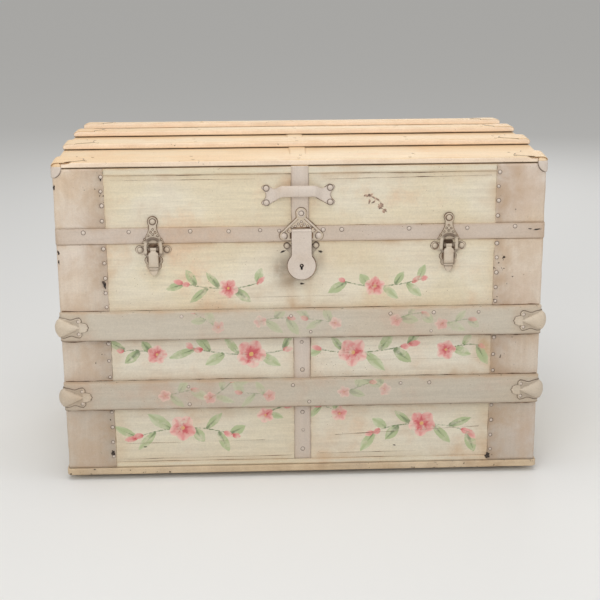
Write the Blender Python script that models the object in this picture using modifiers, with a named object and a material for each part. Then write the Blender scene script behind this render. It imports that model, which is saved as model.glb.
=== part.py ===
"""Slat top trunk: a wooden chest with sheet metal corners, slats, corner clamps, draw latches and a hasp lock.

Metres, +Z up. The front faces -Y and the origin is under the middle of the trunk, on the floor.
A level is a distance outwards from the face of the boards.
"""

import math

import bmesh
import bpy
import numpy as np
from mathutils import Euler, Vector

# Case and lid, over the corner sheets
WIDTH = 0.864
DEPTH = 0.500
CASE_HEIGHT = 0.436  # underside of the boards to the parting line
LID_HEIGHT = 0.134  # parting line to the lid's front edge
LID_CROWN = 0.010  # rise of the top's middle over its front and back edges
RUNNER_HEIGHT = 0.010

# Boards and clearances
BOARD = 0.012
TOP_BOARD = 0.009
FLOOR_BOARD = 0.012
GAP = 0.0003  # between pieces that touch on the real trunk
PARTING_GAP = 0.0006  # between case and lid
PIN_PLAY = 0.0003  # between a pin and its bore
WELD = 0.0005  # step between the faces of shapes that are joined into one
EDGE = 0.0008  # softened edge of a board
CORNER_RADIUS = 0.004

# Dust lip inside the case
LIP_THICKNESS = 0.008
LIP_PLAY = 0.0008
LIP_DEPTH = 0.050
LIP_RISE = 0.010

# Sheet metal
SHEET = 0.0010
CORNER_SHEET_WIDTH = 0.088
LID_BAND_HEIGHT = 0.028
LID_BAND = 0.0021
LID_STRIP_HEIGHT = 0.0126
STRAP_WIDTH = 0.030
STRAP = 0.0008
LID_STRAP_X = -0.002

# Rim and runners under the case
RIM_HEIGHT = 0.0126
RIM = 0.0045
RIM_ROUND = 0.0022
BASE_STRIP_HEIGHT = 0.0106
BASE_STRIP = 0.0009
RUNNER_LENGTH = 0.800
RUNNER_WIDTH = 0.045
RUNNER_INSET = 0.030

# Slats round the case
SLAT_HEIGHT = 0.052
SLAT = 0.012
SLAT_END_ROUND = 0.009
UPPER_SLAT_Z = 0.287  # middle of the slat over the case's underside
LOWER_SLAT_Z = 0.1555

# Corner clamps over the slat ends
CLAMP = 0.0015
CLAMP_REACH = 0.049  # along each leg from the middle of its bend
CLAMP_SHAPE = ((0.0, 0.0215), (0.018, 0.0148), (0.034, 0.0180), (0.049, 0.0160))  # (from the bend, half height)
CLAMP_LOBES = ((0.0, 1.0), (0.25, 0.96), (0.5, 0.73), (0.75, 0.78), (1.0, 0.67))  # (up the tip, share of the reach)
CLAMP_COLUMNS = 7
CLAMP_BEND_COLUMNS = 4
CLAMP_ROWS = 8
HORN_REACH = 0.034
HORN_RISE = 0.0078

# Slats on the lid
TOP_SLATS = 4
TOP_SLAT_WIDTH = 0.046
TOP_SLAT = 0.0105
TOP_SLAT_ROUND = 0.003
BALL_PROUD = 0.0028
BALL_WIDTH = 0.0170
BALL_DROP = 0.0144
BALL_DEPTH = 0.030
BALL_ROUND = 0.0120
BALL_BEVEL = 0.0097  # just under half the corner's narrowest side

# Grip on the lid's front
GRIP_X = -0.005
GRIP_Z = 0.0835  # middle of its end plates over the parting line
GRIP_HALF_LENGTH = 0.064
GRIP_PLATE = 0.018  # length of one end plate
GRIP_HEIGHT = 0.023
GRIP_EAR_HEIGHT = 0.040
GRIP_FLARE = 0.004  # the bar starts to widen this far before an end plate
GRIP_RISE = 0.0125
GRIP_LIFT = 0.0085  # the bridge bows up by this
GRIP_THICKNESS = 0.0022
GRIP_NOTCH = (0.0110, 0.0690)  # (radius, from the middle): the hollow between the ears of an end plate
GRIP_RIVET = (0.0560, 0.0128)  # from the middle of the grip

# Lock
LOCK_PLATE = 0.0015
LOCK_TOP = (0.0514, 0.0098)  # (over the parting line, radius)
LOCK_EAR = (0.0308, 0.0108, 0.0078)  # (sideways, over the parting line, radius)
LOCK_RIB = 0.0012
KEEPER = 0.0012
KEEPER_RIVET = 0.0034
KEEPER_EAR = (0.0257, 0.0075, 0.0055)  # (sideways, under the parting line, radius)
KEEPER_BOTTOM = (0.052, 0.014)  # (under the parting line, radius)
KEEPER_SLOT = (0.008, 0.016)
STAPLE = (0.0026, 0.0200, 0.0042)  # (thickness, height, reach over the keeper), round the slot
STAPLE_WALL = 0.0030
LOCK_CASE = (0.0215, 0.0016)  # (radius, wall) of the rim on the hasp's back, open at the bottom
LOCK_CASE_BACK = 0.0028  # level of its back edge
LOCK_CASE_OPENING = 30  # degrees to each side of straight down
HASP = 0.0026
HASP_WIDTH = 0.036
HASP_PIVOT_Z = 0.0210  # over the parting line
HASP_DISC_Z = 0.0425  # under the parting line
HASP_DISC = 0.0260
KEYHOLE = (0.0021, 0.0022, 0.0080)  # (round, width and height of the slot)
BARREL = 0.0026
LOCK_PIN = 0.0012
LOCK_LUG = 0.0032
LOCK_STAND = 0.0040  # the pivot over the lock plate's face

# Draw latches
LATCH_X = 0.261
LATCH_PLATE = 0.0010
CATCH_TOP = (0.0400, 0.0085)
CATCH_FOOT = (0.0145, 0.0065, 0.0048)
HOOK_WIDTH = 0.012
HOOK_HEIGHT = 0.0056
HOOK_Z = 0.0049
HOOK_RISE = 0.0042
BASE_PLATE = 0.0015
BASE_EAR = (0.0237, 0.0110, 0.0077)
BASE_FOOT = (0.0370, 0.0090)
BASE_WAIST = (0.0235, 0.0325, 0.0125)
LEVER_PIVOT_Z = 0.0085  # under the parting line
LEVER_STAND = 0.0090  # level of the lever's pivot
LEVER_NECK = 0.011
LEVER_WIDTH = 0.0184
LEVER_LENGTH = 0.0475
LEVER_THICKNESS = 0.0020
LEVER_SIDE = (0.0016, 0.0030, 0.0150, 0.0400)  # (wall, depth, from and to under the pivot) of its turned sides
LEVER_BARREL = 0.0028
LEVER_PIN = 0.0013
LUG_WIDTH = 0.0026
BAIL_OFFSET = 0.0115  # from the lever's pivot to the bail's
BAIL_WIRE = 0.0019
BAIL_WIDTH = 0.0270  # between the middles of its legs
BAIL_TOP_Z = 0.0128  # over the parting line
BAIL_LEAN = math.radians(3.0)
BAIL_EYE = 0.0038

# Hinges
HINGE_X = 0.250
HINGE_WIDTH = 0.050
HINGE_LEAF = 0.0015
HINGE_CASE_LEAF = 0.062
HINGE_LID_LEAF = 0.048
HINGE_STAND = 0.0072  # level of the lid's axis
KNUCKLE = 0.0032
WEB_HEIGHT = 0.0051
HINGE_PIN = 0.0016
LID_OPENS = 105.0  # degrees, where the stop tongue meets its pad
TONGUE = 0.0020
TONGUE_LENGTH = 0.0130
STOP_PAD = (0.0070, 0.0125)  # under the axis, from and to

# Carrying handles on the ends
HANDLE_DROP = 0.086  # middle of the handle under the parting line
HANDLE_SPAN = 0.196
HANDLE_STRAP_WIDTH = 0.027
HANDLE_STRAP = 0.0060
HANDLE_RISE = 0.026
HANDLE_ROOT = 0.0030
LOOP_LENGTH = 0.036
LOOP_WIDTH = 0.042
LOOP_RISE = 0.0140
LOOP_WALL = 0.0018
LOOP_GRIP = 0.026  # how far the leather goes in
LOOP_PLAY = 0.0006

RIVET = 0.0045
RIVET_RISE = 0.0016
RIVET_ROOT = 0.0006
ROUND_SIDES = 20
RIVET_SIDES = 10

# Worked out from the sizes above
BOARDS_WIDTH = WIDTH - 2 * (GAP + SHEET)
BOARDS_DEPTH = DEPTH - 2 * (GAP + SHEET)
OVER_SHEET = SHEET + 2 * GAP
OVER_BAND = LID_BAND + 2 * GAP
CASE_Z = RUNNER_HEIGHT
PARTING_Z = CASE_Z + CASE_HEIGHT
EDGE_Z = PARTING_Z + LID_HEIGHT
LID_BOTTOM = PARTING_Z + PARTING_GAP / 2
CASE_TOP = PARTING_Z - PARTING_GAP / 2
BAND_TOP = PARTING_Z + LID_BAND_HEIGHT
HINGE_Y = BOARDS_DEPTH / 2 + HINGE_STAND

FACINGS = {
    "up": (0, 0, 0),
    "front": (math.pi / 2, 0, 0),
    "back": (math.pi / 2, 0, math.pi),
    "right": (math.pi / 2, 0, math.pi / 2),
    "left": (math.pi / 2, 0, -math.pi / 2),
}
SIDES = (("left", -1), ("right", 1))
ENDS = (("front", -1), ("back", 1))


def clear_scene():
    for obj in list(bpy.data.objects):
        bpy.data.objects.remove(obj, do_unlink=True)


def make_collection(name):
    collection = bpy.data.collections.new(name)
    bpy.context.scene.collection.children.link(collection)
    return collection


def make_material(name, colour, roughness, metallic=0.0):
    material = bpy.data.materials.new(name)
    material.use_nodes = True
    shader = material.node_tree.nodes["Principled BSDF"]
    shader.inputs["Base Color"].default_value = (*colour, 1.0)
    shader.inputs["Roughness"].default_value = roughness
    shader.inputs["Metallic"].default_value = metallic
    return material


def make_pivot(name, place, parent=None):
    """An empty on a joint's axis. What rides on the joint is parented to it."""
    empty = bpy.data.objects.new(name, None)
    empty.empty_display_size = 0.02
    pieces.objects.link(empty)
    empty.parent = parent
    empty.location = Vector(place) - world_place(parent)
    return empty


def world_place(empty):
    place = Vector((0, 0, 0))
    while empty is not None:
        place += empty.location
        empty = empty.parent
    return place


def add_piece(name, mesh, material, place, facing="up", body=None):
    """One solid of the trunk, placed by its location and rotation under its body's empty."""
    obj = bpy.data.objects.new(name, mesh)
    mesh.materials.append(material)
    pieces.objects.link(obj)
    obj.parent = body
    obj.location = Vector(place) - world_place(body)
    obj.rotation_euler = FACINGS[facing]
    return obj


def add_tool(name, mesh, place, facing="up", turn=None):
    """A helper for a Boolean. It isn't part of the trunk."""
    obj = bpy.data.objects.new(name, mesh)
    tools.objects.link(obj)
    obj.location = place
    obj.rotation_euler = turn or FACINGS[facing]
    obj.hide_render = True
    obj.display_type = "WIRE"
    return obj


def use_tool(obj, tool, operation):
    modifier = obj.modifiers.new(f"{operation.lower()} {tool.name}", "BOOLEAN")
    modifier.operation = operation
    modifier.object = tool
    modifier.solver = "EXACT"


def soften(obj, width, segments=1, degrees=40):
    modifier = obj.modifiers.new("softened edges", "BEVEL")
    modifier.width = width
    modifier.segments = segments
    modifier.limit_method = "ANGLE"
    modifier.angle_limit = math.radians(degrees)
    modifier.use_clamp_overlap = True


def mesh_from(bm, name):
    mesh = bpy.data.meshes.new(name)
    bm.to_mesh(mesh)
    bm.free()
    return mesh


def box_mesh(name, size):
    bm = bmesh.new()
    bmesh.ops.create_cube(bm, size=1.0)
    bmesh.ops.scale(bm, vec=size, verts=bm.verts)
    return mesh_from(bm, name)


def drum_mesh(name, radius, length, top_radius=None, sides=ROUND_SIDES, along="z"):
    bm = bmesh.new()
    bmesh.ops.create_cone(
        bm,
        cap_ends=True,
        segments=sides,
        radius1=radius,
        radius2=radius if top_radius is None else top_radius,
        depth=length,
    )
    if along == "x":
        bmesh.ops.rotate(bm, verts=bm.verts, matrix=Euler((0, math.pi / 2, 0)).to_matrix())
    return mesh_from(bm, name)


def outline_mesh(name, loops, thickness):
    """A flat outline, with any holes, filled and given its thickness from z = 0 up."""
    curve = bpy.data.curves.new(name, "CURVE")
    curve.dimensions = "2D"
    curve.fill_mode = "BOTH"
    curve.extrude = thickness / 2
    for loop in loops:
        spline = curve.splines.new("POLY")
        spline.points.add(len(loop) - 1)
        for point, (x, y) in zip(spline.points, loop):
            point.co = (x, y, 0, 1)
        spline.use_cyclic_u = True
    guide = bpy.data.objects.new(name, curve)
    tools.objects.link(guide)
    bpy.context.view_layer.update()
    graph = bpy.context.evaluated_depsgraph_get()
    mesh = bpy.data.meshes.new_from_object(guide.evaluated_get(graph))
    bpy.data.objects.remove(guide, do_unlink=True)
    bpy.data.curves.remove(curve)
    bm = bmesh.new()
    bm.from_mesh(mesh)
    bpy.data.meshes.remove(mesh)
    bmesh.ops.remove_doubles(bm, verts=bm.verts, dist=1e-6)
    bmesh.ops.recalc_face_normals(bm, faces=bm.faces)
    bmesh.ops.translate(bm, verts=bm.verts, vec=(0, 0, thickness / 2))
    return mesh_from(bm, name)


def shell_mesh(name, grid, flip=False):
    """An open surface through a grid of points, to be given its wall by Solidify."""
    columns, rows = grid.shape[:2]
    number = np.arange(columns * rows).reshape(columns, rows)
    quads = np.stack(
        [number[:-1, :-1], number[1:, :-1], number[1:, 1:], number[:-1, 1:]], axis=-1
    ).reshape(-1, 4)
    if flip:
        quads = quads[:, ::-1]
    mesh = bpy.data.meshes.new(name)
    mesh.from_pydata(grid.reshape(-1, 3).tolist(), [], quads.tolist())
    mesh.shade_smooth()
    return mesh


def give_wall(obj, thickness):
    modifier = obj.modifiers.new("wall", "SOLIDIFY")
    modifier.thickness = thickness
    modifier.offset = 1.0
    modifier.use_even_offset = True


def arc(x, y, radius, first, last, steps):
    """Points on an arc, with its angles in degrees."""
    angles = np.radians(np.linspace(first, last, steps + 1))
    return [(x + radius * math.cos(a), y + radius * math.sin(a)) for a in angles]


def round_box(width, height, radius, steps=4):
    """A rectangle with round corners about the origin."""
    x, y = width / 2 - radius, height / 2 - radius
    return (
        arc(x, y, radius, 0, 90, steps)
        + arc(-x, y, radius, 90, 180, steps)
        + arc(-x, -y, radius, 180, 270, steps)
        + arc(x, -y, radius, 270, 360, steps)
    )


def belt(circles, sides=ROUND_SIDES):
    """The outline of a belt pulled round circles, each given as x, y and radius."""
    points = sorted(p for x, y, r in circles for p in arc(x, y, r, 0, 360 * (1 - 1 / sides), sides - 1))

    def chain(ordered):
        kept = []
        for point in ordered:
            while len(kept) > 1 and turn_of(kept[-2], kept[-1], point) <= 1e-12:
                kept.pop()
            kept.append(point)
        return kept[:-1]

    return chain(points) + chain(points[::-1])


def turn_of(a, b, c):
    return (b[0] - a[0]) * (c[1] - a[1]) - (b[1] - a[1]) * (c[0] - a[0])


def crown_z(y):
    """Height of the lid's top boards at a depth: a shallow bow."""
    return EDGE_Z + LID_CROWN * (1 - (2 * y / DEPTH) ** 2)


def crown_slope(y):
    return math.atan(-8 * LID_CROWN * y / DEPTH**2)


def front_y(level):
    return -(BOARDS_DEPTH / 2 + level)


def add_rivets(obj, name, points, level, facing="front", sign=-1, radius=RIVET):
    """Low round heads standing on a face at a level, each joined to the piece that carries it."""
    for number, (x, z) in enumerate(points, 1):
        head = drum_mesh(f"{name} head {number}", radius, RIVET_RISE + RIVET_ROOT, radius * 0.55, RIVET_SIDES)
        y = sign * (BOARDS_DEPTH / 2 + level + (RIVET_RISE - RIVET_ROOT) / 2)
        use_tool(obj, add_tool(f"{name} head {number}", head, (x, y, z), facing), "UNION")


def make_boards():
    half_width, half_depth = BOARDS_WIDTH / 2, BOARDS_DEPTH / 2
    case_boards_height = CASE_TOP - CASE_Z

    def wall_outline(length):
        x, y = length / 2, BOARD
        return (
            [(x, 0)]
            + arc(x - CORNER_RADIUS, y - CORNER_RADIUS, CORNER_RADIUS, 0, 90, 4)
            + arc(-x + CORNER_RADIUS, y - CORNER_RADIUS, CORNER_RADIUS, 90, 180, 4)
            + [(-x, 0)]
        )

    for end, sign in ENDS:
        outline = [(x, sign * y) for x, y in wall_outline(BOARDS_WIDTH)]
        inner_y = sign * (half_depth - BOARD)
        mesh = outline_mesh(f"case {end}", [outline], case_boards_height)
        board = add_piece(f"case_{end}", mesh, cream, (0, inner_y, CASE_Z))
        soften(board, EDGE)
        lid_board_height = crown_z(half_depth) - TOP_BOARD - GAP - LID_BOTTOM
        mesh = outline_mesh(f"lid {end}", [outline], lid_board_height)
        board = add_piece(f"lid_{end}", mesh, cream, (0, inner_y, LID_BOTTOM), body=lid)
        soften(board, EDGE)

    end_length = BOARDS_DEPTH - 2 * (BOARD + GAP)
    for side, sign in SIDES:
        x = sign * (half_width - BOARD / 2)
        mesh = box_mesh(f"case end {side}", (BOARD, end_length, case_boards_height))
        board = add_piece(f"case_end_{side}", mesh, cream, (x, 0, CASE_Z + case_boards_height / 2))
        soften(board, EDGE)
        ys = np.linspace(-end_length / 2, end_length / 2, 9)
        outline = [(ys[0], LID_BOTTOM), (ys[-1], LID_BOTTOM)]
        outline += [(y, crown_z(y) - TOP_BOARD - GAP) for y in ys[::-1]]
        mesh = outline_mesh(f"lid end {side}", [outline], BOARD)
        board = add_piece(f"lid_end_{side}", mesh, cream, (x - BOARD / 2, 0, 0), "right", lid)
        soften(board, EDGE)

    size = (BOARDS_WIDTH - 2 * (BOARD + GAP), end_length, FLOOR_BOARD)
    board = add_piece("case_floor", box_mesh("case floor", size), bare_wood, (0, 0, CASE_Z + FLOOR_BOARD / 2))
    soften(board, EDGE)

    ys = np.linspace(-DEPTH / 2, DEPTH / 2, 15)
    outline = [(y, crown_z(y) - TOP_BOARD) for y in ys] + [(y, crown_z(y)) for y in ys[::-1]]
    mesh = outline_mesh("lid top", [outline], WIDTH)
    top = add_piece("lid_top", mesh, top_cream, (-WIDTH / 2, 0, 0), "right", lid)
    block = outline_mesh("lid top corners", [round_box(BOARDS_WIDTH, BOARDS_DEPTH, CORNER_RADIUS)], LID_HEIGHT)
    use_tool(top, add_tool("lid top corners", block, (0, 0, EDGE_Z - LID_HEIGHT / 2)), "INTERSECT")


def make_lip():
    """The dust lip: a U of thin wood inside the front and ends that stands up into the lid."""
    x = BOARDS_WIDTH / 2 - BOARD - LIP_PLAY
    front = -(BOARDS_DEPTH / 2 - BOARD - LIP_PLAY)
    back = BOARDS_DEPTH / 2 - BOARD - LIP_PLAY
    inner_x, inner_front = x - LIP_THICKNESS, front + LIP_THICKNESS
    outline = [
        (-x, front),
        (x, front),
        (x, back),
        (inner_x, back),
        (inner_x, inner_front),
        (-inner_x, inner_front),
        (-inner_x, back),
        (-x, back),
    ]
    mesh = outline_mesh("case lip", [outline], LIP_DEPTH + LIP_RISE)
    soften(add_piece("case_lip", mesh, bare_wood, (0, 0, PARTING_Z - LIP_DEPTH)), EDGE)


def ring_loops(inner_level, outer_level, corner=CORNER_RADIUS):
    """Two rounded rectangles round the boards, at two levels."""
    return [
        round_box(BOARDS_WIDTH + 2 * level, BOARDS_DEPTH + 2 * level, corner + level)
        for level in (outer_level, inner_level)
    ]


def make_corner_sheets():
    """Folded metal over each corner of the case."""
    bottom = CASE_Z + RIM_HEIGHT + GAP
    height = CASE_TOP - bottom
    inner, outer = CORNER_RADIUS + GAP, CORNER_RADIUS + GAP + SHEET
    bend_x = BOARDS_WIDTH / 2 - CORNER_RADIUS
    bend_y = BOARDS_DEPTH / 2 - CORNER_RADIUS
    for end, end_sign in ENDS:
        for side, side_sign in SIDES:
            stop_x = WIDTH / 2 - CORNER_SHEET_WIDTH
            stop_y = DEPTH / 2 - CORNER_SHEET_WIDTH
            outline = (
                [(bend_x + outer, stop_y)]
                + arc(bend_x, bend_y, outer, 0, 90, 4)
                + [(stop_x, bend_y + outer), (stop_x, bend_y + inner)]
                + arc(bend_x, bend_y, inner, 90, 0, 4)
                + [(bend_x + inner, stop_y)]
            )
            outline = [(side_sign * x, end_sign * y) for x, y in outline]
            mesh = outline_mesh(f"corner sheet {end} {side}", [outline], height)
            add_piece(f"case_corner_sheet_{end}_{side}", mesh, greige, (0, 0, bottom))


def make_lid_sheets():
    """The lid's corner sheets with the strips that join them along the top edge, cut from one ring."""
    bottom = BAND_TOP + GAP
    loops = ring_loops(GAP, GAP + SHEET)
    mesh = outline_mesh("lid corner sheets", loops, EDGE_Z - bottom)
    sheets = add_piece("lid_corner_sheets", mesh, greige, (0, 0, bottom), body=lid)
    window_bottom = bottom - BOARD
    window = EDGE_Z - LID_STRIP_HEIGHT - window_bottom
    z = window_bottom + window / 2
    across = box_mesh("front and back windows", (WIDTH - 2 * CORNER_SHEET_WIDTH, DEPTH + BOARD, window))
    along = box_mesh("end windows", (WIDTH + BOARD, DEPTH - 2 * CORNER_SHEET_WIDTH, window))
    use_tool(sheets, add_tool("front and back windows", across, (0, 0, z)), "DIFFERENCE")
    use_tool(sheets, add_tool("end windows", along, (0, 0, z)), "DIFFERENCE")

    band = outline_mesh("lid band", ring_loops(GAP, GAP + LID_BAND), BAND_TOP - LID_BOTTOM)
    add_piece("lid_band", band, greige, (0, 0, LID_BOTTOM), body=lid)


def make_straps():
    """Thin metal down the middle of the case's front, and over the lid from front to back."""
    bottom = CASE_Z + RIM_HEIGHT + BASE_STRIP_HEIGHT + GAP
    top = CASE_Z + UPPER_SLAT_Z + SLAT_HEIGHT / 2
    size = (STRAP_WIDTH, STRAP, top - bottom)
    place = (0, front_y(GAP + STRAP / 2), (top + bottom) / 2)
    add_piece("case_center_strap", box_mesh("case center strap", size), greige, place)

    def path(level):
        end = BOARDS_DEPTH / 2 + OVER_SHEET + level
        ys = np.linspace(-BOARDS_DEPTH / 2, BOARDS_DEPTH / 2, 15)
        over = [(y, crown_z(y) + GAP + level) for y in ys]
        shoulder = EDGE_Z + GAP + level
        return [(-end, BAND_TOP + GAP), (-end, shoulder)] + over[1:-1] + [(end, shoulder), (end, BAND_TOP + GAP)]

    outline = path(STRAP) + path(0)[::-1]
    mesh = outline_mesh("lid center strap", [outline], STRAP_WIDTH)
    add_piece("lid_center_strap", mesh, greige, (LID_STRAP_X - STRAP_WIDTH / 2, 0, 0), "right", lid)


def make_base():
    """The rounded rim with its thin strips, and the two runners that the trunk stands on."""
    loops = ring_loops(GAP, GAP + RIM)
    rim = add_piece("base_rim", outline_mesh("base rim", loops, RIM_HEIGHT), greige, (0, 0, CASE_Z))
    soften(rim, RIM_ROUND, 2, 60)
    sunk = RIM_HEIGHT / 2
    height = BASE_STRIP_HEIGHT + sunk
    z = CASE_Z + RIM_HEIGHT + BASE_STRIP_HEIGHT - height / 2
    level = GAP + SHEET - BASE_STRIP / 2
    for end, sign in ENDS:
        size = (WIDTH - 2 * (CORNER_SHEET_WIDTH + GAP), BASE_STRIP, height)
        place = (0, sign * (BOARDS_DEPTH / 2 + level), z)
        use_tool(rim, add_tool(f"base strip {end}", box_mesh(f"base strip {end}", size), place), "UNION")
    for side, sign in SIDES:
        size = (BASE_STRIP, DEPTH - 2 * (CORNER_SHEET_WIDTH + GAP), height)
        place = (sign * (BOARDS_WIDTH / 2 + level), 0, z)
        use_tool(rim, add_tool(f"base strip {side}", box_mesh(f"base strip {side}", size), place), "UNION")

    for end, sign in ENDS:
        y = sign * (DEPTH / 2 - RUNNER_INSET - RUNNER_WIDTH / 2)
        size = (RUNNER_LENGTH, RUNNER_WIDTH, RUNNER_HEIGHT - GAP)
        runner = add_piece(f"runner_{end}", box_mesh(f"runner {end}", size), dark_wood, (0, y, size[2] / 2))
        soften(runner, EDGE)


def make_case_slats():
    x, y = WIDTH / 2 - SLAT_END_ROUND, SLAT - SLAT_END_ROUND
    outline = (
        [(WIDTH / 2, 0)]
        + arc(x, y, SLAT_END_ROUND, 0, 90, 4)
        + arc(-x, y, SLAT_END_ROUND, 90, 180, 4)
        + [(-WIDTH / 2, 0)]
    )
    for end, sign in ENDS:
        for row, z in (("upper", UPPER_SLAT_Z), ("lower", LOWER_SLAT_Z)):
            mesh = outline_mesh(f"case slat {end} {row}", [[(a, sign * b) for a, b in outline]], SLAT_HEIGHT)
            place = (0, sign * (BOARDS_DEPTH / 2 + OVER_SHEET), CASE_Z + z - SLAT_HEIGHT / 2)
            soften(add_piece(f"case_slat_{end}_{row}", mesh, greige, place), EDGE)


def clamp_grid(lobes):
    """Points and outward normals in plan round one corner, and each one's distance from the middle of the bend."""
    face = BOARDS_DEPTH / 2 + OVER_SHEET + SLAT + GAP
    end = BOARDS_WIDTH / 2 + OVER_SHEET
    bend = SLAT_END_ROUND + GAP
    half_bend = bend * math.pi / 4
    share = np.linspace(0, 1, CLAMP_COLUMNS)[1:, None]
    leg = share * (CLAMP_REACH * lobes - half_bend)
    turn = np.linspace(-half_bend, half_bend, CLAMP_BEND_COLUMNS + 1)[:, None] + 0 * lobes
    along = np.vstack([-(leg + half_bend)[::-1], turn, leg + half_bend])
    angle = np.clip((half_bend - along) / (2 * half_bend), 0, 1) * math.pi / 2
    past = np.maximum(np.abs(along) - half_bend, 0)
    x = end - bend + bend * np.cos(angle) - np.where(along < 0, past, 0)
    y = face - bend + bend * np.sin(angle) - np.where(along > 0, past, 0)
    return np.dstack([x, y]), np.dstack([np.cos(angle), np.sin(angle)]), np.abs(along)


def eased(value, table):
    """A smooth curve through a table of places and heights."""
    places, heights = zip(*table)
    part = np.interp(value, places, range(len(places)))
    low = np.minimum(part.astype(int), len(places) - 2)
    share = (1 - np.cos(np.pi * (part - low))) / 2
    heights = np.array(heights)
    return heights[low] * (1 - share) + heights[low + 1] * share


def make_clamps():
    """Cast clamps round each slat end: two legs with tips in three lobes, and a horn that swells over the corner."""
    across = np.linspace(-1, 1, CLAMP_ROWS + 1)[None, :]
    points, normals, distances = clamp_grid(np.interp(np.abs(across), *zip(*CLAMP_LOBES)))
    height = across * eased(distances, CLAMP_SHAPE)
    horn = np.clip(1 - distances / HORN_REACH, 0, 1)
    horn_half = CLAMP_SHAPE[0][1] * np.maximum(horn, 1e-6)
    swell = np.sqrt(np.clip(1 - (height / horn_half) ** 2, 0, 1))
    rise = HORN_RISE * np.sqrt(horn) * swell
    plan = points + normals * rise[..., None]
    for end, end_sign in ENDS:
        for row, z in (("upper", UPPER_SLAT_Z), ("lower", LOWER_SLAT_Z)):
            for side, side_sign in SIDES:
                grid = np.dstack([plan[..., 0] * side_sign, plan[..., 1] * end_sign, height])
                name = f"slat_clamp_{end}_{row}_{side}"
                mesh = shell_mesh(name, grid, flip=side_sign * end_sign > 0)
                clamp = add_piece(name, mesh, greige, (0, 0, CASE_Z + z))
                give_wall(clamp, CLAMP)


def make_top_slats():
    """Four slats along the lid. The outer two carry round corner caps over the lid's corners."""
    spacing = (DEPTH - TOP_SLAT_WIDTH) / (TOP_SLATS - 1)
    level = STRAP + 2 * GAP
    for number in range(TOP_SLATS):
        y = -DEPTH / 2 + TOP_SLAT_WIDTH / 2 + number * spacing
        tilt = crown_slope(y)
        up = level + TOP_SLAT / 2
        place = (0, y - up * math.sin(tilt), crown_z(y) + up * math.cos(tilt))
        mesh = box_mesh(f"lid slat {number + 1}", (WIDTH, TOP_SLAT_WIDTH, TOP_SLAT))
        slat = add_piece(f"lid_slat_{number + 1}", mesh, top_cream, place, body=lid)
        slat.rotation_euler = (tilt, 0, 0)
        soften(slat, TOP_SLAT_ROUND, 2)
        if number in (0, TOP_SLATS - 1):
            add_ball_corners(slat, -1 if number == 0 else 1, number + 1)


def add_ball_corners(slat, end_sign, number):
    top = EDGE_Z + STRAP + 2 * GAP + TOP_SLAT + BALL_PROUD / 4
    bottom = EDGE_Z - BALL_DROP
    plan = [round_box(WIDTH + 2 * GAP, DEPTH + 2 * GAP, CORNER_RADIUS + SHEET + 2 * GAP)]
    low = bottom - BALL_ROUND
    core_name = f"lid block {number}"
    core = add_tool(core_name, outline_mesh(core_name, plan, LID_HEIGHT), (0, 0, low))
    ys = np.linspace(-DEPTH / 2 - BALL_ROUND, DEPTH / 2 + BALL_ROUND, 17)
    outline = [(ys[0], low - EDGE), (ys[-1], low - EDGE)] + [(y, crown_z(y) + GAP + STRAP) for y in ys[::-1]]
    crown_name = f"lid block crown {number}"
    crown = add_tool(crown_name, outline_mesh(crown_name, [outline], WIDTH * 1.1), (-WIDTH * 0.55, 0, 0), "right")
    use_tool(core, crown, "INTERSECT")
    for side, sign in SIDES:
        name = f"ball corner {number} {side}"
        size = (BALL_WIDTH + BALL_PROUD, BALL_DEPTH + BALL_PROUD, top - bottom)
        bm = bmesh.new()
        bmesh.ops.create_cube(bm, size=1.0)
        bmesh.ops.scale(bm, vec=size, verts=bm.verts)
        outer = [
            e
            for e in bm.edges
            if sum(v.co.x * sign > 0 for v in e.verts) + sum(v.co.y * end_sign > 0 for v in e.verts) >= 3
        ]
        bmesh.ops.bevel(bm, geom=outer, offset=BALL_BEVEL, segments=4, affect="EDGES", profile=0.5)
        place = (
            sign * (WIDTH / 2 + BALL_PROUD - size[0] / 2),
            end_sign * (DEPTH / 2 + BALL_PROUD - size[1] / 2),
            (top + bottom) / 2,
        )
        use_tool(slat, add_tool(name, mesh_from(bm, name), place), "UNION")
    use_tool(slat, core, "DIFFERENCE")


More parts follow.
